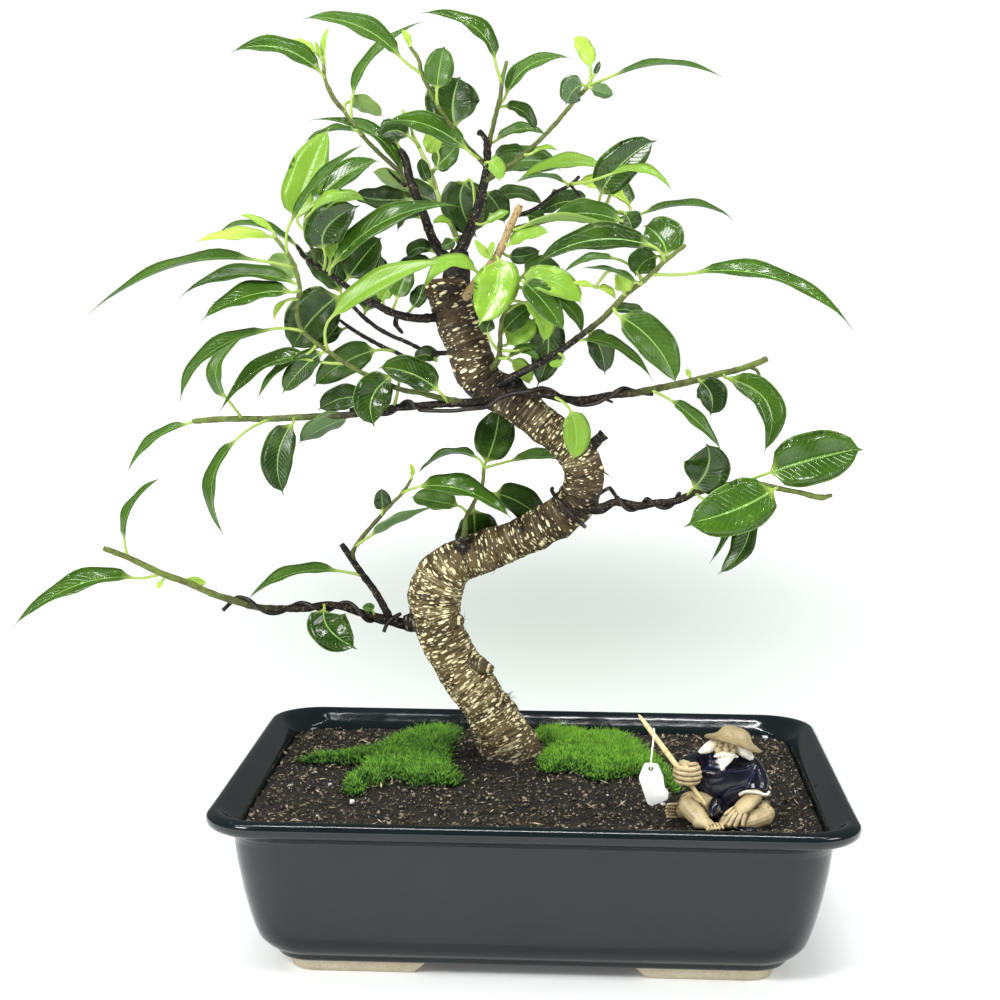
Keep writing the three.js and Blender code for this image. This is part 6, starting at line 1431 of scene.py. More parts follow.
def soilPiece(name, shape, materialName, low, high, scale):
    material, tree, shader = newMaterial(materialName)
    mottle = mottled(tree, scale, 0.5)
    light = ramp(mottle, 0.38, 0.66)
    if "tone" in shape:
        light = timesPlus(light, 0.35, times(channels(tree, "lumpTone")[0], 0.65))
    # painted shade: nearly black beside the foot of the trunk
    trunkShade = ramp(distanceTo(tree, soil["shadeSpot"]), 0.034, 0.012)
    light = times(light, timesPlus(trunkShade, -0.85, 1.0))
    dress(shader, mix(light, low, high), timesPlus(mottle, -0.3, 0.9), 0.25)
    bump(shader, mottle, 0.8, 0.0009)
    colours = {"lumpTone": shape["tone"]} if "tone" in shape else None
    makeObject(name, shape, material, ("soil",), colours)


def clearOfTrunk(x, y):
    return np.hypot(x - soil["trunkX"], y - soil["trunkY"]) > soil["trunkClear"]


def scatter(count, draw, rim=0.0):
    # random places inside the pot's rounded inside, clear of the trunk
    x, y = draw.uniform(-117, 117, count), potDepth + draw.uniform(-87.5, 87.5, count)
    corner = np.maximum(np.abs(x) - 101, 0) ** 2 + np.maximum(np.abs(y - potDepth) - 71.5, 0) ** 2
    inside = corner < (16 - rim) ** 2
    inside &= clearOfTrunk(x, y)
    return x[inside], y[inside]


def makeSoil():
    # height over a grid of rings shrunk towards the trunk, plus small random heaps
    wall = [(104.2, 75.2, 12, 12.6), (109.9, 80.7, 13.8, 22), (115.7, 86.1, 15.4, 52),
            (117.6, 88, 16.4, 58.8)]
    rings = [roundedRing(*row, 20) for row in wall]
    rim = rings[-1]
    for share in np.linspace(0.997, 0.02, 70):
        ring = rim.copy()
        ring[:, :2] = rim[:, :2] * share + np.array([soil["trunkX"], soil["trunkY"]]) * (1 - share)
        flat = ring * np.array([1, 1, 0])
        heap = 0.6 * waveNoise(flat, 11, 11) + 0.6 * waveNoise(flat, 3.4, 12)
        ring[:, 2] = soilHeight(ring[:, 0], ring[:, 1]) - 0.6 + heap
        rings.append(ring)
    soilPiece("soil_bed", ringShape(np.array(rings)), "pottingMix", soil["dark"], soil["light"], 260.0)
    draw = np.random.default_rng(21)
    x, y = scatter(soil["grains"], draw)
    size = 0.32 + 1.2 * draw.uniform(size=len(x)) ** 3.4
    lift = 0.25 * size + 0.4 * draw.uniform(size=len(x))
    centres = np.stack([x, y, soilHeight(x, y) - 0.1 + lift], axis=-1)
    grains = lumpShapes(centres, size, draw, 0.75, (1.2, 0.8, 0.6), 3.8)
    soilPiece("soil_grains", grains, "soilGrains", soil["grainDark"], soil["grainLight"], 420.0)
    # flat slivers of bark lying on top
    x, y = scatter(soil["chips"], draw, 3.0)
    size = 0.6 + 1.7 * draw.uniform(size=len(x)) ** 2.4
    centres = np.stack([x, y, soilHeight(x, y) + 0.5 + 0.1 * size], axis=-1)
    chips = lumpShapes(centres, size, draw, 0.45, (1.7, 0.34, 0.26), 1.2)
    soilPiece("soil_bark_chips", chips, "barkChips", soil["chipDark"], soil["chipLight"], 420.0)
    # white grains: the large ones where they are seen, the small ones anywhere
    pale = np.array(soil["pale"])
    x, y = scatter(soil["specks"], draw, 2.0)
    size = np.append(pale[:, 2], draw.uniform(0.22, 0.5, len(x)))
    x, y = np.append(pale[:, 0], x), np.append(pale[:, 1], y)
    centres = np.stack([x, y, soilHeight(x, y) + 0.35 + size * 0.5], axis=-1)
    white = lumpShapes(centres, size, draw, 0.8)
    soilPiece("soil_pale_grains", white, "paleGrains", soil["paleDark"], soil["paleLight"], 500.0)
    print("made soil", len(centres), "white grains")


# Moss.

moss = {
    "left": [
        (-107, 28), (-101, 33), (-93, 34), (-86, 38), (-79, 40), (-74, 52), (-70, 61), (-65, 70),
        (-59, 80), (-53, 83), (-46, 84), (-40, 84), (-40, 57), (-40, 29), (-39, 9), (-33, -8), (-33, -18),
        (-39, -19), (-46, -16), (-52, -19), (-58, -10), (-63, -5), (-66, -15), (-72, -16), (-74, -29),
        (-79, -29), (-83, -14), (-82, 0), (-78, 12), (-78, 22), (-84, 19), (-91, 21), (-98, 21),
        (-105, 22),
    ],
    "right": [
        (-2, 78), (3, 84), (9, 84), (16, 83), (23, 77), (30, 79), (38, 82), (44, 67), (50, 52), (54, 36),
        (58, 23), (60, 7), (62, -11), (59, -17), (56, -3), (52, 5), (46, 10), (39, 3), (33, -2), (28, -6),
        (23, -5), (17, 4), (10, 0), (4, -2), (0, 14), (3, 28), (5, 44), (0, 51),
    ],
    "blades": 9000,
    "height": 5.6,
    "shade": {"left": -0.26, "right": 0.08},
    "low": (0.006, 0.026, 0.003),
    "high": (0.060, 0.24, 0.004),
    "tip": (0.26, 0.56, 0.02),
}


def insideOutline(x, y, outline):
    # even-odd count of edges crossed by a ray towards +x
    a, b = outline, np.roll(outline, -1, axis=0)
    crosses = (a[:, 1][None] > y[:, None]) != (b[:, 1][None] > y[:, None])
    rise = np.where(b[:, 1] == a[:, 1], 1e-9, b[:, 1] - a[:, 1])
    at = a[:, 0] + (y[:, None] - a[:, 1]) * (b[:, 0] - a[:, 0]) / rise
    return (crosses & (x[:, None] < at)).sum(axis=1) % 2 == 1


def makeMoss(side, node, seed):
    # blades: thin three-sided spikes bent outwards, height * (0.55 to 1.1), shorter at the rim
    outline = smoothLoop(moss[side], 5)
    draw = np.random.default_rng(seed)
    centre = outline.mean(axis=0)
    lowXY, highXY = outline.min(axis=0), outline.max(axis=0)
    wanted = moss["blades"]
    x = draw.uniform(lowXY[0], highXY[0], int(wanted * 2.6))
    y = draw.uniform(lowXY[1], highXY[1], len(x))
    keep = insideOutline(x, y, outline) & clearOfTrunk(x, y)
    x, y = x[keep][:wanted], y[keep][:wanted]
    # a few blades stray over the edge
    stray = draw.normal(size=(2, len(x))) * 2.2 * (draw.uniform(size=len(x)) < 0.3)
    x, y = x + stray[0], y + stray[1]
    away = onLine(np.stack([x, y], axis=-1), np.vstack([outline, outline[:1]]))[1].min(axis=1)
    rim = away * insideOutline(x, y, outline)
    patch = waveNoise(np.stack([x, y, 0 * x], axis=-1), 11, seed + 5)
    tuft = waveNoise(np.stack([x, y, 0 * x], axis=-1), 4.5, seed + 6)
    high = moss["height"] * draw.uniform(0.55, 1.1, len(x)) * (0.6 + 0.4 * smoothStep(0, 5, rim))
    high = high * (1 + 0.12 * patch + 0.2 * tuft)
    high = high + np.minimum(0.35 * rim, 2.4)
    foot = np.stack([x, y, soilHeight(x, y) - 0.2], axis=-1)
    lean = draw.normal(size=(len(x), 2)) * 0.3
    fromMiddle = (np.stack([x, y], axis=-1) - centre) / 60
    lean = lean + fromMiddle * (0.5 * np.exp(-rim / 4))[:, None]
    tip = foot + np.stack([lean[:, 0] * high, lean[:, 1] * high, high * 0.72], axis=-1)
    middle = foot + np.stack([lean[:, 0] * high * 0.3, lean[:, 1] * high * 0.3, high * 0.42], axis=-1)
    angle = draw.uniform(0, 6.3, (len(x), 1)) + roundAngles(3)
    across = np.stack([np.cos(angle), np.sin(angle), 0 * angle], axis=-1)
    thick = draw.uniform(0.26, 0.42, (len(x), 1, 1))
    low, bent = foot[:, None] + across * thick, middle[:, None] + across * thick * 0.85
    points = np.concatenate([low, bent, tip[:, None]], axis=1)
    faces = np.array([(0, 1, 4), (0, 4, 3), (1, 2, 5), (1, 5, 4), (2, 0, 3), (2, 3, 5),
                      (3, 4, 6), (4, 5, 6), (5, 3, 6), (0, 2, 1)])
    tris = (faces[None] + np.arange(len(x))[:, None, None] * 7).reshape(-1, 3)
    tone = 0.5 + moss["shade"][side] + 0.2 * patch + 0.26 * tuft + draw.normal(size=len(x)) * 0.22
    tone = np.clip(tone, 0, 1)
    rise = np.array([0, 0, 0, 0.5, 0.5, 0.5, 1.0])
    colour = redColour(np.repeat(tone, 7))
    colour[:, 1] = np.tile(rise, len(x))
    shape = {"points": points.reshape(-1, 3), "quads": noQuads, "tris": tris}
    colours = {"mossTint": colour}
    makeObject("moss_" + side + "_blades", outward(shape), mossMaterial, (node,), colours)
    print("made moss", side, len(x), "blades")


def makeMossMaterial():
    material, tree, shader = newMaterial("mossBlade")
    mottle = mottled(tree, 240.0, 0.5)
    tint = channels(tree, "mossTint")
    shaded = timesPlus(tint[0], 0.7, 0.3)
    # darker toward each blade's foot: partly the moss's own older growth, partly painted shade down among
    # the blades
    rise = times(ramp(tint[1], 0.2, 0.8), shaded)
    colour = mix(rise, moss["low"], moss["high"])
    tips = times(ramp(tint[1], 0.5, 1.0), tint[0])
    colour = mix(tips, colour, moss["tip"])
    dress(shader, colour, timesPlus(mottle, 0.2, 0.55))
    return material


mossMaterial = makeMossMaterial()

# Figurine of a seated fisherman: lumps of each colour are fused by a voxel remesh.

figure = {
    "voxel": 0.4,
    "fineVoxel": 0.3,
    "floor": 60.0,
    "robe": (0.0025, 0.003, 0.008),
    "robeHigh": (0.008, 0.012, 0.040),
    "skin": (0.48, 0.39, 0.205),
    "skinLow": (0.10, 0.05, 0.016),
    "hair": (0.88, 0.85, 0.76),
    "hairLow": (0.40, 0.32, 0.20),
    "hat": (0.35, 0.285, 0.145),
    "hatLow": (0.13, 0.08, 0.03),
    "body": [(79, -47, 57, 15.6, 11.2), (79.5, -47, 66, 16, 11.6), (79.5, -48, 75, 14.8, 10.3),
             (79.3, -48.5, 82, 13.2, 8.6), (78.8, -49.5, 86, 8.8, 6.2), (78.6, -50.5, 88, 4.6, 4.4)],
    "leftSleeve": [(69.6, -47.5, 82.8, 4.8, 4.8), (65, -51.4, 82.6, 4.8, 4.6),
                   (62.6, -55.2, 82.4, 4.4, 4.3)],
    "rightSleeve": [(88.4, -48, 81, 5, 5.2), (91.2, -51.4, 76.6, 5, 5), (91, -55, 73.6, 4.9, 4.6)],
    "lap": [(80, -55, 62, 8, 5), (84, -63, 61, 6, 2.6), (88, -69, 60.4, 3, 1)],
    "fold": [(74.5, -60, 70.5, 2.4, 1.0), (73, -63.6, 67.6, 2.3, 0.9), (72.4, -66, 65.4, 0.8, 0.5)],
    "leftWrist": [(61.8, -55.6, 82.4, 3.7, 3.6), (62, -60.5, 82, 3.6, 3.4)],
    "rightWrist": [(90.6, -56, 72.6, 3.6, 3.4), (89.2, -58.8, 71, 3.5, 2.9)],
    "rightPalm": [(89.4, -58.4, 71.2, 3.5, 2.7), (85, -63.4, 68.6, 4.1, 2.2), (82.6, -65.4, 66.6, 3.2, 1.7)],
    "cuff": [(84, -57.6, 72), (86.2, -60.2, 74), (90, -60.8, 74), (94.4, -58.6, 72.4), (96, -55, 72.6)],
    "leftThigh": [(76, -52, 64.6, 6, 5.4), (64.6, -58, 67.8, 5.5, 5.4), (61.9, -60, 68.2, 3.2, 3.4)],
    "leftShin": [(63.2, -59, 67.6, 5.0, 4.8), (66, -63.4, 65.2, 4.2, 4), (68.6, -67.2, 63, 3.4, 3.1)],
    "leftFoot": [(67, -66.4, 63, 3.3, 2.9), (70, -68.4, 62.8, 3.4, 2.3), (71.6, -69.4, 62.4, 3, 1.5)],
    "rightThigh": [(84, -52, 64, 7, 5.4), (92.6, -56.8, 64.6, 5.4, 5.1), (95.6, -58.2, 64.2, 3.4, 3.5)],
    "rightShin": [(93.6, -58.4, 63.8, 4.8, 4.5), (85.4, -64.4, 62.4, 4.2, 3.4), (78, -62, 61.8, 3.8, 3)],
    "otherFoot": [(67, -53.4, 62.4, 3.4, 3.2), (61.4, -52, 63, 2.6, 3), (59.4, -51.6, 63.2, 1.6, 2.9)],
    "hatProfile": [(0, -0.4), (4.7, -0.45), (6.4, -0.6), (9.1, -0.9), (11.4, -1.25), (11.9, -1),
                   (11.7, -0.35), (9.8, 0.4), (8.2, 1.1), (7.1, 2), (6.5, 3.1), (5.8, 4.2), (4.7, 5.1),
                   (3.1, 5.7), (1.4, 5.9), (0, 5.9)],
    "hatTilt": (-10, 15.5),
}


def lump(rows, sides=14, steps=5):
    # ring point = path + half width * cos(a) * level side + half height * sin(a) * up, domed ends
    rows = np.asarray(rows, float)
    ends = []
    for a, b in ((rows[0], rows[1]), (rows[-1], rows[-2])):
        way = unit(a[:3] - b[:3])
        cap = []
        for turn in (30, 60, 82):
            size = math.cos(math.radians(turn))
            out = math.sin(math.radians(turn)) * min(a[3], a[4]) * 0.8
            cap.append(np.append(a[:3] + way * out, a[3:] * size))
        ends.append(np.array(cap))
    fine = smoothPath(rows, steps) if len(rows) > 2 else rows
    fine = np.vstack([ends[0][::-1], fine, ends[1]])
    along = unit(np.gradient(fine[:, :3], axis=0))
    up = np.array([0, 0, 1.0]) - along * along[:, 2:3]
    steep = np.linalg.norm(up, axis=1, keepdims=True) < 0.25
    up = unit(np.where(steep, np.array([0, 1.0, 0]) - along * along[:, 1:2], up))
    wide = np.cross(along, up)
    angle = roundAngles(sides)
    rings = fine[:, None, :3] + wide[:, None] * (fine[:, 3:4] * np.cos(angle))[..., None]
    rings = rings + up[:, None] * (fine[:, 4:5] * np.sin(angle))[..., None]
    return ringShape(rings)


def ball(x, y, z, rx, ry, rz, sides=20):
    # middle + (rx, ry, rz) * (cos(b) cos(a), cos(b) sin(a), sin(b))
    a = roundAngles(sides)
    b = np.linspace(-1.48, 1.48, sides // 2 + 1)[:, None]
    rings = np.stack([x + rx * np.cos(b) * np.cos(a), y + ry * np.cos(b) * np.sin(a),
                      z + rz * np.sin(b) * np.ones(sides)], axis=-1)
    return ringShape(rings)


def readBack(items, name, each, kind=np.float32):
    values = np.empty(len(items) * each, kind)
    items.foreach_get(name, values)
    return values


def fuse(shapes, voxel, rounds):
    # a voxel remesh makes one skin of the shapes; it is then softened and read back as arrays
    piece = makeMesh("fusing", joinShapes(shapes))
    remesh = piece.modifiers.new("fuse", "REMESH")
    remesh.mode = "VOXEL"
    remesh.voxel_size = voxel / 1000
    soften = piece.modifiers.new("soften", "SMOOTH")
    soften.iterations = rounds
    soften.factor = 0.5
    bpy.context.view_layer.update()
    mesh = bpy.data.meshes.new_from_object(piece.evaluated_get(bpy.context.evaluated_depsgraph_get()))
    points = readBack(mesh.vertices, "co", 3)
    normals = readBack(mesh.vertices, "normal", 3)
    corners = readBack(mesh.loops, "vertex_index", 1, np.int32)
    totals = readBack(mesh.polygons, "loop_total", 1, np.int32)
    starts = np.cumsum(totals) - totals
    quads = corners[starts[totals == 4][:, None] + np.arange(4)]
    tris = corners[starts[totals == 3][:, None] + np.arange(3)]
    bpy.data.objects.remove(piece)
    bpy.data.meshes.remove(mesh)
    return {"points": points.reshape(-1, 3).astype(float) * 1000 - shift, "quads": quads.astype(int),
            "tris": tris.astype(int), "normals": normals.reshape(-1, 3).astype(float)}


def finger(points, radius, tip=0.75):
    taper = [radius * (1 - (1 - tip) * k / (len(points) - 1)) for k in range(len(points))]
    return lump([(*p, r, r) for p, r in zip(points, taper)], 10, 4)


def flatBase(shape):
    # nothing hangs below the level where the figurine rests on the soil
    low = shape["points"][:, 2] < figure["floor"]
    shape["points"][low, 2] = figure["floor"]
    return shape


def crease(shape, size, depth, seed):
    # grooves: -depth * sharp valleys of a slow wave field, along the normals
    field = waveNoise(shape["points"], size, seed)
    valley = np.exp(-((field / 0.22) ** 2))
    shape["points"] = shape["points"] - shape["normals"] * (depth * valley)[:, None]
    shape["valley"] = valley
    return shape


def hollows(shape, rounds):
    # how far each point of a softened copy lies outside the skin, in mm: positive in recesses
    quads = shape["quads"]
    pairs = np.vstack([quads[:, [k, (k + 1) % 4]] for k in range(4)])
    ends = np.concatenate([pairs[:, 0], pairs[:, 1]])
    others = np.concatenate([pairs[:, 1], pairs[:, 0]])
    count = len(shape["points"])
    total = np.maximum(np.bincount(ends, minlength=count), 1)
    soft = shape["points"]
    for _ in range(rounds):
        soft = np.stack([np.bincount(ends, soft[others, axis], count) / total for axis in range(3)], axis=-1)
    return ((soft - shape["points"]) * shape["normals"]).sum(axis=1)


def shade(shape, amount=0.0, deep=0.12):
    # red: painted shade on faces turned down, more near the soil, and the dark wash that gathers in
    # recesses; on the robe the same places take its lighter navy
    p = shape["points"]
    # painted shade on faces turned down, and more near the soil
    low = 0.35 * smoothStep(65, 60, p[:, 2]) + 0.5 * smoothStep(0.3, -0.7, shape["normals"][:, 2])
    red = low + shape.get("valley", 0) * 0.25 + hollows(shape, 14) / deep * 0.8 + amount
    return redColour(np.clip(red, 0, 1))


def makeFiredMaterial(name, colour, wash, rough, coat, scale):
    material, tree, shader = newMaterial(name)
    tint = channels(tree, "figureWash")[0]
    mottle = mottled(tree, scale, 0.4)
    # the wash colour in recesses, painted shade on faces turned down and near the soil, and by mottle
    washAndShade = timesPlus(ramp(mottle, 0.42, 0.7), 0.5, tint)
    mixed = mix(times(washAndShade, 0.92, clamp=True), colour, wash)
    dress(shader, mixed, timesPlus(mottle, 0.2, rough - 0.1))
    shader.inputs["Coat Weight"].default_value = coat
    shader.inputs["Coat Roughness"].default_value = 0.15
    bump(shader, mottle, 0.3, 0.0003)
    return material


def figurePiece(name, shape, wash, material):
    makeObject("figurine_" + name, shape, material, ("figurine",), {"figureWash": wash})


def makeFigure():
    f = figure
    robeMaterial = makeFiredMaterial("navyGlaze", f["robe"], f["robeHigh"], 0.22, 0.15, 180.0)
    skinMaterial = makeFiredMaterial("biscuitSkin", f["skin"], f["skinLow"], 0.5, 0.15, 260.0)
    hairMaterial = makeFiredMaterial("whiteHair", f["hair"], f["hairLow"], 0.35, 0.3, 260.0)
    hatMaterial = makeFiredMaterial("strawHat", f["hat"], f["hatLow"], 0.5, 0.15, 220.0)
    # robe with slow folds
    robe = fuse([lump(f["body"], 28), lump(f["leftSleeve"]), lump(f["rightSleeve"]), lump(f["lap"]),
                 lump(f["fold"])], f["voxel"], 6)
    robe = flatBase(crease(robe, 17, 0.12, 3))
    figurePiece("robe", robe, shade(robe), robeMaterial)
    # head, hands and legs
    skin = [ball(78.2, -52.8, 91.2, 5.4, 5.6, 6.2), ball(78, -58.3, 90.8, 1.15, 1.5, 1.5),
            ball(78, -57.4, 92.4, 0.8, 1.3, 1.6), ball(75.2, -57, 90.2, 1.7, 1.2, 1.4),
            ball(80.8, -57, 90.2, 1.7, 1.2, 1.4), ball(75.6, -57.3, 94, 1.9, 0.9, 0.6),
            ball(80.4, -57.3, 94, 1.9, 0.9, 0.6), ball(75.7, -57.3, 92.4, 1.2, 0.7, 0.75),
            ball(80.3, -57.3, 92.4, 1.2, 0.7, 0.75),
            lump(f["leftWrist"]), lump(f["rightWrist"]), lump(f["rightPalm"]),
            ball(62, -62, 81.8, 4.4, 3.4, 3.9)]
    for k, z in enumerate((78.9, 80.8, 82.7, 84.5)):
        pull = (0.6, 0, 0.1, 0.7)[k]
        skin.append(finger([(57.4 + pull, -62, z + 0.4), (59, -65.2 + pull * 0.4, z + 0.1),
                            (62.6, -66.6 + pull * 0.5, z - 0.2), (66 - pull, -65.2, z - 0.1),
                            (67.4 - pull, -63.2, z)], 1.2, 0.85))
    skin.append(finger([(66, -60.6, 84.8), (65, -63.4, 85.8), (61.8, -65.2, 85.9)], 1.15, 0.8))
    for start, middle, tip in [((83.2, -63.6, 67.8), (79.9, -66.8, 66.2), (77, -68.9, 63)),
                               ((83.8, -64.5, 67.5), (81.1, -67.9, 65.7), (79, -69.7, 62.6)),
                               ((84.6, -65.1, 67.3), (82.8, -68.5, 65.3), (81.4, -70.1, 62.5)),
                               ((85.8, -65.1, 67.1), (85, -68.1, 65.3), (84.4, -69.7, 62.9)),
                               ((84.6, -61.7, 68.6), (80.8, -63.3, 67.5), (77.8, -65.1, 65.9))]:
        skin.append(finger([start, middle, tip], 1.2, 0.72))
    skin += [lump(f[key]) for key in ("leftThigh", "leftShin", "leftFoot",
                                      "rightThigh", "rightShin", "otherFoot")]
    for k in range(5):
        toe = (70.2 + 1.5 * k, -72.2 + 0.5 * k, 62.3)
        toeTip = (toe[0] + 0.4, toe[1] - 1.2, 61.9)
        skin.append(finger([(69.8 + 1.4 * k, -69.4 + 0.4 * k, 62.8), toe, toeTip],
                           0.84 - 0.05 * k + (0.25 if k == 0 else 0), 0.85))
        high = 60.7 + 1.3 * k
        otherToe = (54.3 + 0.35 * abs(k - 2), -52.4, high - 0.1)
        skin.append(finger([(59.4, -52, high), (56.8, -52.2, high), otherToe], 0.66, 0.85))
    skin = fuse(skin, f["fineVoxel"], 2)
    figurePiece("skin", flatBase(skin), shade(skin, 0.1, 0.075), skinMaterial)
    # beard, moustache and hair, and the white cuff
    hair = [lump([(78, -57.6, 88.8, 4.2, 1.6), (77.6, -59.2, 87.2, 3.3, 1.6), (76.8, -60.4, 85.2, 2.1, 1.2),
                  (76.3, -60.9, 83.2, 0.7, 0.6)]),
            finger([(78, -59.2, 89.3), (75.6, -59, 88.7), (73.6, -57.6, 87.8)], 1.1, 0.6),
            finger([(78, -59.2, 89.3), (80.6, -59, 88.7), (82.6, -57.6, 87.8)], 1.1, 0.6),
            lump([(73.4, -53, 91.6, 2.4, 2.3), (70.6, -53.8, 90, 2.6, 2.1), (67.9, -54.2, 88.6, 1.3, 1.0)]),
            lump([(83, -53, 92, 2.4, 2.8), (85.8, -53.8, 89.2, 3.1, 2.6), (88.4, -54.2, 86.8, 2, 1.5)]),
            finger(f["cuff"], 0.75, 1.0), ball(78.6, -48.6, 90, 5.6, 3.6, 5)]
    hair = crease(fuse(hair, f["fineVoxel"], 2), 3.0, 0.1, 15)
    figurePiece("hair", hair, shade(hair, -0.1), hairMaterial)
    # hat: profile turned about its middle, brim waved a little, then tilted
    profile = smoothPath(f["hatProfile"], 3)
    a = roundAngles(48)
    r, h = profile[:, :1], profile[:, 1:]
    h = h + 0.3 * np.sin(3 * a + 1.2) * smoothStep(6, 12, r) - 0.3 * np.cos(2 * a) * smoothStep(7, 12, r)
    rings = np.stack([np.maximum(r, 0.02) * np.cos(a), np.maximum(r, 0.02) * np.sin(a), h], axis=-1)
    a, b = (math.radians(tilt) for tilt in f["hatTilt"])
    turnX = np.array([[1, 0, 0], [0, math.cos(a), -math.sin(a)], [0, math.sin(a), math.cos(a)]])
    turnY = np.array([[math.cos(b), 0, math.sin(b)], [0, 1, 0], [-math.sin(b), 0, math.cos(b)]])
    rings = rings @ (turnX @ turnY).T + np.array([81.3, -53.5, 93.2])
    shape = ringShape(rings)
    rim = np.append(np.repeat(smoothStep(10, 11.9, profile[:, 0]), 48), [0, 0])
    figurePiece("hat", shape, redColour(0.2 + 0.4 * rim), hatMaterial)
    print("made figurine")


# Rod, tag and thread.

rod = {
    "top": np.array([42.3, -62.2, 105.6]),
    "fist": np.array([60.4, -63, 81.7]),
    "end": np.array([69.8, -63.6, 69.2]),
    "joints": [0.13, 0.42, 0.74],
    "colour": (0.76, 0.60, 0.31),
    "dark": (0.46, 0.30, 0.12),
    "tagCentre": np.array([47.8, -66.4, 78.2]),
    "tagOutline": [(-2.8, 8.4), (2.2, 8.4), (4.6, 3.4), (5.4, -1.6), (7, -3.4), (6.6, -6.4), (0.4, -9.2),
                   (-1.4, -8.4), (-5.2, 2.4)],
    "tagThick": 0.8,
    "card": (0.93, 0.94, 0.92),
    "cardLow": (0.84, 0.85, 0.81),
    "eye": (-0.4, 6.2, 1.0),
    "thread": 0.3,
    "cotton": (0.85, 0.82, 0.74),
    "cottonLow": (0.70, 0.65, 0.54),
}


def makeRod():
    # radius rises from a point at the tip, swells at each bamboo joint
    t = np.linspace(0, 1, 90)
    fistAt = 0.7
    first = rod["top"] + (rod["fist"] - rod["top"]) * np.clip(t / fistAt, 0, 1)[:, None]
    second = (rod["end"] - rod["fist"]) * np.clip((t - fistAt) / (1 - fistAt), 0, 1)[:, None]
    points = first + second
    radii = np.interp(t, [0, 0.03, 0.14, 0.42, 0.7, 1], [0.2, 0.6, 0.95, 1.1, 1.0, 0.7])
    near = np.zeros(len(t))
    for joint in rod["joints"]:
        radii = radii + 0.14 * np.exp(-(((t - joint) / 0.008) ** 2))
        near = near + np.exp(-(((t - joint - 0.012) / 0.008) ** 2))
    shape = tube(points, radii, 18)
    wash = redColour(np.clip(np.append(np.repeat(near, 18), [0, 0.8]), 0, 1))
    material = makeFiredMaterial("bambooRod", rod["colour"], rod["dark"], 0.42, 0.1, 320.0)
    makeObject("rod_bamboo", shape, material, ("fishing_rod",), {"figureWash": wash})


def standing(flat, y):
    # x and z of a flat outline, set up at depth y
    return np.stack([flat[:, 0], np.full(len(flat), y), flat[:, 1]], axis=-1)


def makeTag():
    # outline softened, both faces with the round eye left open
    rows = np.array(rod["tagOutline"])
    outline = []
    for a, b in zip(rows, np.roll(rows, -1, axis=0)):
        outline += [a + (b - a) * s for s in (0.08, 0.3, 0.5, 0.7, 0.92)]
    outline = np.array(outline)
    angle = -roundAngles(20)
    ex, ez, er = rod["eye"]
    eye = np.stack([ex + er * np.cos(angle), ez + er * np.sin(angle)], axis=-1)
    half = rod["tagThick"] / 2
    away = unit(outline - outline.mean(axis=0))
    levels = ((-half, 0.16), (-half * 0.7, 0.0), (half * 0.7, 0.0), (half, 0.16))
    rings = np.stack([standing(outline - away * inset, y) for y, inset in levels])
    shapes = [ringShape(rings, capped=False)]
    for ring, y in ((rings[0], -half), (rings[-1], half)):
        spots, tris = flatFaces(ring[:, [0, 2]], [eye], y < 0)
        shapes.append({"points": standing(spots, y), "quads": noQuads, "tris": tris, "uv": spots})
    shapes.append(holeWall(standing(eye, -half), standing(eye, half)))
    whole = joinShapes(shapes)
    whole["points"] = whole["points"] + rod["tagCentre"] + np.array([0, half, 0])
    material = mottledMaterial("tagCard", rod["card"], rod["cardLow"], 260.0, 0.3, (0.35, 0.7),
                               (0.2, 0.4), (0.2, 0.0003))
    weld(makeObject("tag_card", whole, material, ("tag",), sharpAngle=50))


def makeThread():
    # a closed loop over the rod and through the eye, two strands twisted together
    hang = rod["top"] + (rod["fist"] - rod["top"]) * 0.33
    top = hang[2] + 1.9
    y = rod["tagCentre"][1]
    z = rod["tagCentre"][2] + rod["eye"][1]
    x = rod["tagCentre"][0] + rod["eye"][0]
    loop = [(hang[0] + 0.2, hang[1], top + 0.3), (hang[0] + 0.3, hang[1] - 1.9, top - 1.8),
            (x + 0.1, y - 1.2, z + 3.6), (x, y - 1.3, z + 0.6), (x, y - 0.4, z + 0.1),
            (x, y + 0.6, z + 0.6), (x + 0.1, y + 0.6, z + 3.6), (hang[0] + 0.3, hang[1] + 1.9, top - 1.8)]
    path = smoothLoop(loop, 16)
    n, sides = len(path), 8
    along = unit(np.roll(path, -1, axis=0) - np.roll(path, 1, axis=0))
    side = unit(np.array([1.0, 0, 0]) - along * along[:, :1])
    angle = roundAngles(sides)
    radius = rod["thread"] * (0.86 + 0.16 * np.cos(2 * angle[None] + np.arange(n)[:, None] * 1.1))[..., None]
    rings = path[:, None] + radius * around(angle, side, np.cross(along, side))
    shape = outward({"points": rings.reshape(-1, 3), "quads": gridFaces(n, sides, True),
                     "tris": np.zeros((0, 3), int)})
    material = mottledMaterial("cottonThread", rod["cottonLow"], rod["cotton"], 900.0, 0.4, rough=0.8)
    makeObject("tag_thread_loop", shape, material, ("tag_thread",))
    print("made rod, tag and thread")


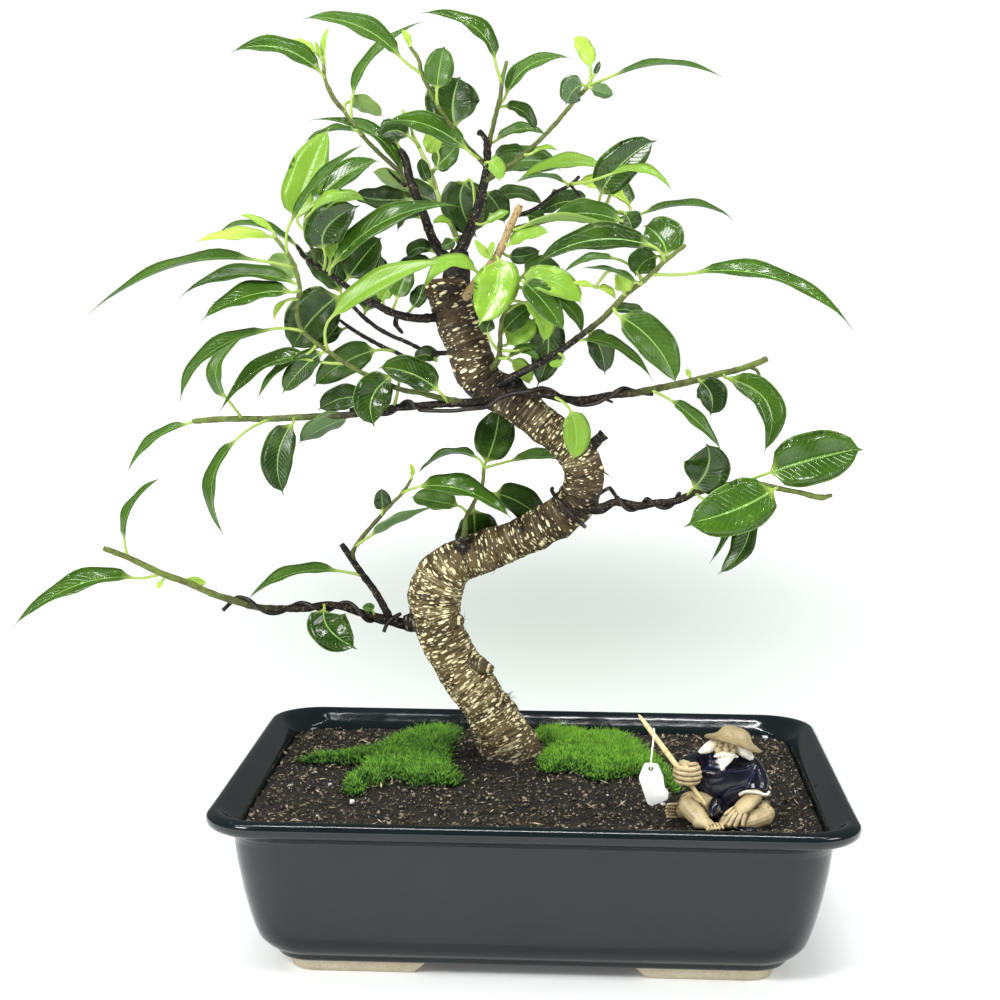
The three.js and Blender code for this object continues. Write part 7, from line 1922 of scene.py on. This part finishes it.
def makeRootHairs():
    # fine dry rootlets where a side shoot was cut from the trunk: short bent tubes
    draw = np.random.default_rng(9)
    spots = seenRows([(-13.8, 91.6, 18.6), (-14.4, 93, 18.4), (-34.2, 126.6, 19.8), (-20.4, 149.6, 19.6)])
    hairs = []
    for k in range(26):
        foot = spots[k % 2 if k < 20 else 2 + k % 2]
        way = unit(np.array([0.7, -0.6, 0.5]) * draw.uniform(0.2, 1.2, 3) + draw.normal(size=3) * 0.45)
        long = draw.uniform(1.5, 5)
        bend = foot + way * long * 0.5
        tip = bend + unit(way + draw.normal(size=3) * 0.7) * long * 0.5
        path = curve3(foot, bend, tip, np.linspace(0, 1, 7))
        hairs.append(tube(path, np.linspace(0.11, 0.04, 7), 4))
    material, tree, shader = newMaterial("rootHair")
    dress(shader, mix(noise(objectPlace(tree), 500.0), (0.05, 0.03, 0.02), (0.16, 0.11, 0.07)), 0.7)
    makeObject("trunk_root_hairs", joinShapes(hairs), material, ("trunk",))


# The floor, the white surroundings and the soft lights.

studio = {
    "room": 0.62,
    "mirrored": 0.2,
    "background": 1.05,
    "glowNear": 0.08,
    "glowFar": 0.75,
    "paleLow": (0.86, 0.88, 0.87),
    # the painted shadow of the tree on the floor behind the pot: its colour, place, stretch, reach and where
    # it starts
    "pale": (0.9, 0.91, 0.9),
    "grey": (0.427, 0.486, 0.437),
    "greyPlace": (-8.0, 650.0, 0.0),
    "greyStretch": (1.7, 1.0, 1.0),
    "greyReach": 1.27,
    "greyFrom": (0.12, 0.36),
    "lights": [
        ("topLight", (0.0, 0.2, 1.3), (0.0, 0.0, 0.15), 0.9, 0.9, 8),
        ("tubeLight", (0.0, -0.11, 1.2), (0.0, 0.0, 0.06), 1.5, 0.022, 8),
        ("keyLight", (-0.7, -0.8, 0.8), (0.0, 0, 0.18), 0.4, 0.4, 14),
        ("fillLight", (0.95, -0.45, 0.75), (0.05, 0, 0.18), 0.4, 0.4, 6),
    ],
}


def makeStudio():
    mesh = bpy.data.meshes.new("floor")
    mesh.from_pydata([(-3, -3, 0), (3, -3, 0), (3, 3, 0), (-3, 3, 0)], [], [(0, 1, 2, 3)])
    material, tree, shader = newMaterial("paleFloor")
    slow = noise(objectPlace(tree), 2.0)
    # painted shadow of the tree, greyer in one place on the floor behind the pot
    grey = ramp(distanceTo(tree, studio["greyPlace"], studio["greyStretch"]), studio["greyReach"], 0.0)
    grey = times(grey, ramp(distanceTo(tree, (0, 0, 0), (0, 1, 0)), *studio["greyFrom"]))
    pale = mix(slow, studio["paleLow"], studio["pale"])
    dress(shader, mix(grey, pale, studio["grey"]), 0.7)
    # the floor glows a little, more so far away, and so runs into the white behind it
    far = ramp(distanceTo(tree, (0, 0, 0)), 0.12, 0.6)
    # less glow inside the painted shadow
    far = times(far, timesPlus(grey, -0.95, 1.0))
    glow = mix(far, (studio["glowNear"],) * 3, (studio["glowFar"],) * 3)
    feed(shader.inputs["Emission Color"], glow)
    shader.inputs["Emission Strength"].default_value = 1
    mesh.materials.append(material)
    floor = bpy.data.objects.new("floor", mesh)
    bpy.context.scene.collection.objects.link(floor)
    world = bpy.data.worlds.new("whiteRoom")
    world.use_nodes = True
    room = world.node_tree
    room.nodes["Background"].inputs["Color"].default_value = (0.98, 1.0, 0.99, 1)
    # white behind the object, a softer light on it, and less again in its reflections
    rays = room.nodes.new("ShaderNodeLightPath").outputs
    white = studio["room"]
    strength = timesPlus(rays["Is Glossy Ray"], studio["mirrored"] - white, white)
    strength = timesPlus(rays["Is Camera Ray"], studio["background"] - white, strength)
    feed(room.nodes["Background"].inputs["Strength"], strength)
    bpy.context.scene.world = world
    bpy.context.scene.view_settings.view_transform = "Standard"
    for name, place, target, length, width, power in studio["lights"]:
        data = bpy.data.lights.new(name, "AREA")
        data.shape = "RECTANGLE"
        data.size, data.size_y = length, width
        data.energy = power
        light = bpy.data.objects.new(name, data)
        light.location = place
        # the large one makes no reflections
        light.visible_glossy = length * width < 0.5
        light.rotation_mode = "QUATERNION"
        light.rotation_quaternion = (Vector(target) - Vector(place)).to_track_quat("-Z", "Y")
        bpy.context.scene.collection.objects.link(light)


makeStudio()
makeCamera()
makePot()
makeScreens()
makeSoil()
makeMoss("left", "moss_left", 101)
makeMoss("right", "moss_right", 202)
makeTrunk()
makeRootHairs()
makeWires()
for seed, limb in enumerate((lowerLeftLimb, trunkShootLimb, lowerRightLimb, middleLeftLimb, backLeftLimb,
                             upperLeftLimb, crownLeftLimb, crownCentreLimb, rightUpperLimb,
                             rightRisingLimb, middleRightLimb, centreLimb)):
    makeLimb(limb, seed + 1)
makeFigure()
makeRod()
makeTag()
makeThread()
